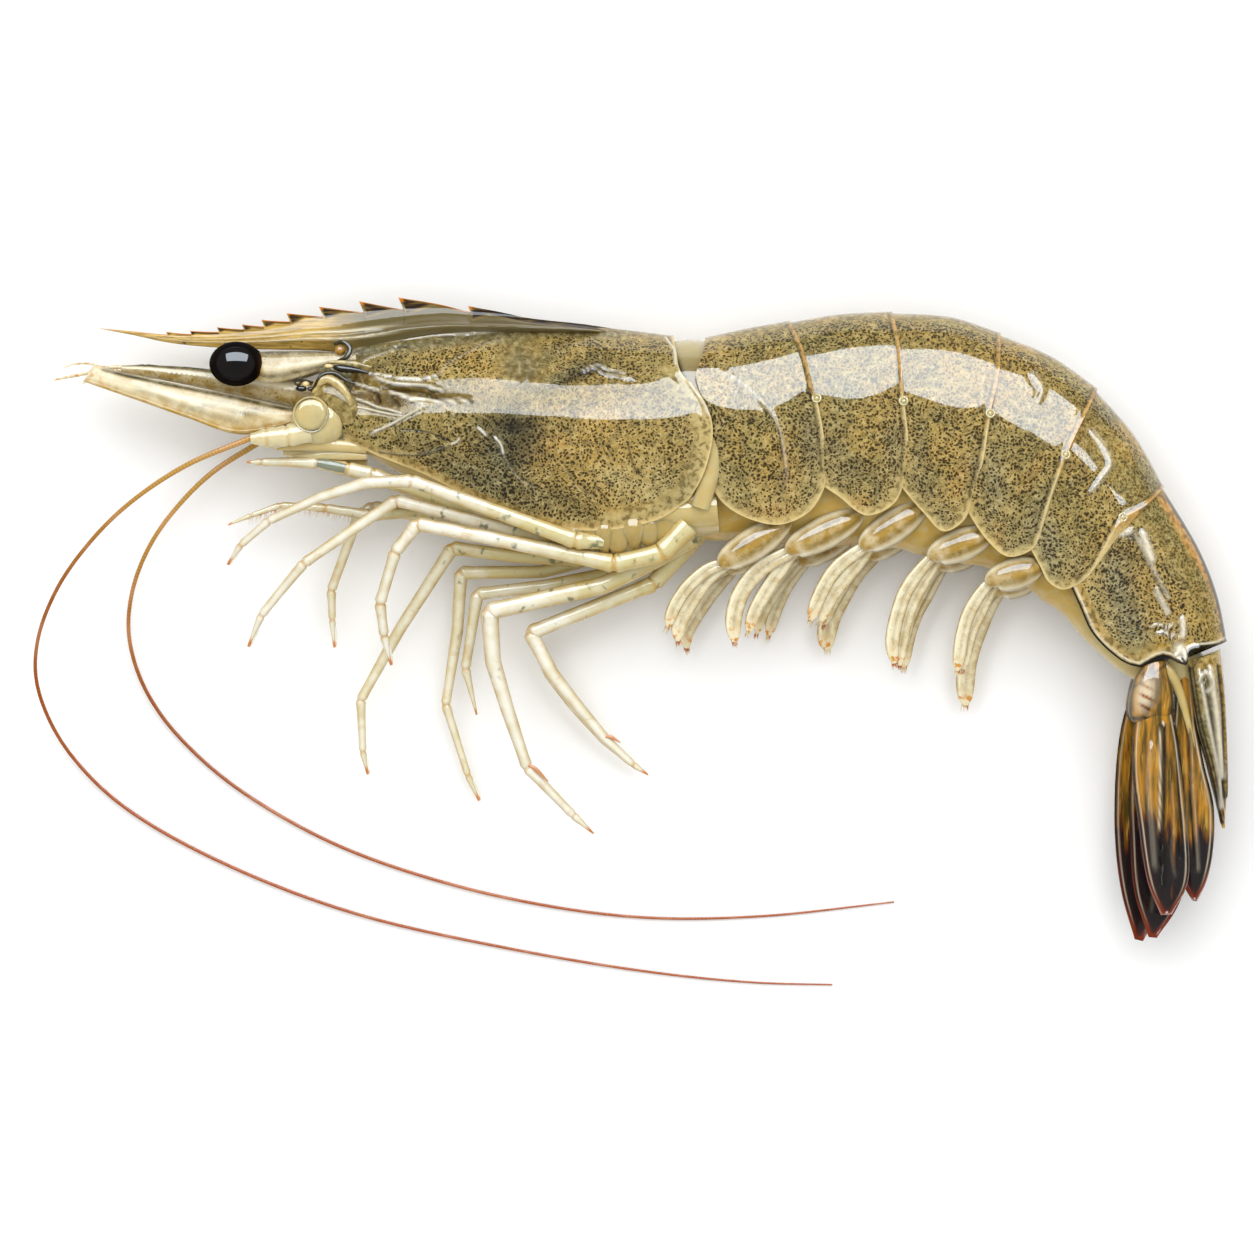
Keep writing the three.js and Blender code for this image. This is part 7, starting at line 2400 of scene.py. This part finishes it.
    def blade(self, node: str, leaf: Leaf) -> None:
        """Makes one blade."""
        points, marks, gap = leaf.rings()
        x, y = points[..., 0], points[..., 1]
        low = eased(y, -42.0, -49.0)
        tip = eased(y, leaf.left[-1][1] + 4.5, leaf.left[-1][1] + 0.5)
        left = from_line(x, y, Path(leaf.left).dense[::4])[0]
        maker = PieceMaker().loft(points, {
            "smoke": eased(y, -39.5, -48.5), "wine": 0.9 * bell(left, 0.5) * eased(y, -33, -38),
            "edge": np.clip(bell(gap, 0.08 + 0.35 * tip) * low, 0, 1),
            "vein": np.clip(marks["dark"] + bell(gap, 0.24) * (1 - 0.6 * low), 0, 1),
            # The ribs' pale crests paint their highlights.
            "hair": 0.6 * bell(gap, 0.07, 0.42) * (1 - tip) + marks["pale"] * 0.8})
        maker.build(f"{node}_leaf", TailBlade(), [node])

    def membrane(self) -> None:
        """Makes the clear skin between the tail joint and the telson, on both sides."""
        maker = PieceMaker()
        for side in Side:
            rows = smooth_rows(outward(self.skin, side), 70)
            spots = patches(rows[:, 0], rows[:, 1],
                            (Patch(56.9, -26.9, 0.2, 0.25, 0, 0.9), Patch(58.7, -32.3, 0.16, 0.3)))
            maker.loft(sweep(rows, 24), {"honey": 0.6, "dark": spots[:, None]})
        maker.build("tail_membrane", ClearFlesh())

    def build(self) -> None:
        """Makes the whole tail."""
        self.membrane()
        self.telson()
        for side in Side:
            self.tail_joint(side)
        for node, leaf in self.blades():
            self.blade(node, leaf)


# ---- Studio ---------------------------------------------------------------------------------


@dataclass
class Studio:
    """A pale table, soft light from the side of the back, and a camera straight above."""

    middle: tuple[float, float] = (-2.48, -21.28)  # what the camera looks at, in millimetres
    height: float = 0.8
    view_width: float = 135.43  # how much of the middle plane the picture shows, in millimetres
    lean: float = 38.0  # degrees from the vertical to the main light, towards the back
    reach: float = 0.6
    main_power: float = 4.6
    shine_power: float = 35.0
    shine_colour: Colour = (0.81, 0.9, 1.0)
    fill_power: float = 3.3
    sky: float = 0.28

    def table(self) -> None:
        """The table that the shrimp lies on."""
        mesh = bpy.data.meshes.new("table")
        half, depth = 1.6, 0.012
        square = ((-half, -half), (half, -half), (half, half), (-half, half))
        corners = [(x, y, z) for z in (-depth, -0.00002) for x, y in square]
        faces = [(0, 3, 2, 1), (4, 5, 6, 7), (0, 1, 5, 4), (1, 2, 6, 5), (2, 3, 7, 6), (3, 0, 4, 7)]
        mesh.from_pydata(corners, [], faces)
        mesh.materials.append(PaleTable().material())
        table = bpy.data.objects.new("table", mesh)
        bpy.context.scene.collection.objects.link(table)

    def lamp(self, name: str, lean: float, wide: float, high: float, power: float, shine: bool) -> None:
        """An area light that looks at the shrimp.

        Args:
            name: its name.
            lean: degrees from the vertical, towards the back.
            wide, high: its size in metres.
            power: its power for every square metre of it, in watts.
            shine: whether it only shows in reflections; the others only light surfaces.
        """
        light = bpy.data.lights.new(name, "AREA")
        light.shape, light.size, light.size_y = "RECTANGLE", wide, high
        light.energy = power * wide * high
        lamp = bpy.data.objects.new(name, light)
        bpy.context.scene.collection.objects.link(lamp)
        turn, reach = math.radians(lean), self.reach * (0.9 if shine else 1.0)
        lamp.location = (0.0, reach * math.sin(turn) - 0.005, reach * math.cos(turn))
        lamp.rotation_euler = (-turn, 0.0, 0.0)
        light.color = self.shine_colour if shine else (1.0, 1.0, 1.0)
        lamp.visible_glossy, lamp.visible_diffuse, lamp.visible_transmission = shine, not shine, not shine

    def camera(self) -> None:
        """The camera, straight above with the back of the shrimp up in the picture."""
        data = bpy.data.cameras.new("camera")
        data.sensor_width = 36.0
        data.lens = 36.0 * self.height * 1000 / self.view_width
        data.clip_start, data.clip_end = 0.05, 10.0
        camera = bpy.data.objects.new("camera", data)
        bpy.context.scene.collection.objects.link(camera)
        camera.location = (self.middle[0] * MM, self.middle[1] * MM, self.height + MID * MM)
        bpy.context.scene.camera = camera

    def world(self) -> None:
        """An even, faint light from all around."""
        world = bpy.data.worlds.new("studio")
        world.use_nodes = True
        nodes = world.node_tree.nodes
        nodes["Background"].inputs["Color"].default_value = (1.0, 1.0, 1.0, 1.0)
        nodes["Background"].inputs["Strength"].default_value = self.sky
        bpy.context.scene.world = world

    def build(self) -> None:
        """Makes the table, the lights and the camera."""
        self.table()
        self.lamp("main", self.lean, 0.9, 0.51, self.main_power, False)
        self.lamp("shine", self.lean, 0.81, 0.46, self.shine_power, True)
        self.lamp("fill", 0.0, 1.6, 1.6, self.fill_power, False)
        self.camera()
        self.world()
        view = bpy.context.scene.view_settings
        view.view_transform, view.look = "Standard", "None"


def main() -> None:
    """Builds the shrimp and its studio."""
    logging.basicConfig(level=logging.INFO, format="%(name)s: %(message)s")
    for part in (Carapace(), NeckSkin(), Abdomen(), ChestUnderside(), Eyes(), HeadFolds(), Antennules(),
                 AntennaBases(), Feelers(), Mouth(), Maxillipeds(), Legs(), Swimmerets(), Tail()):
        part.build()
    Studio().build()


if __name__ == "__main__":
    main()
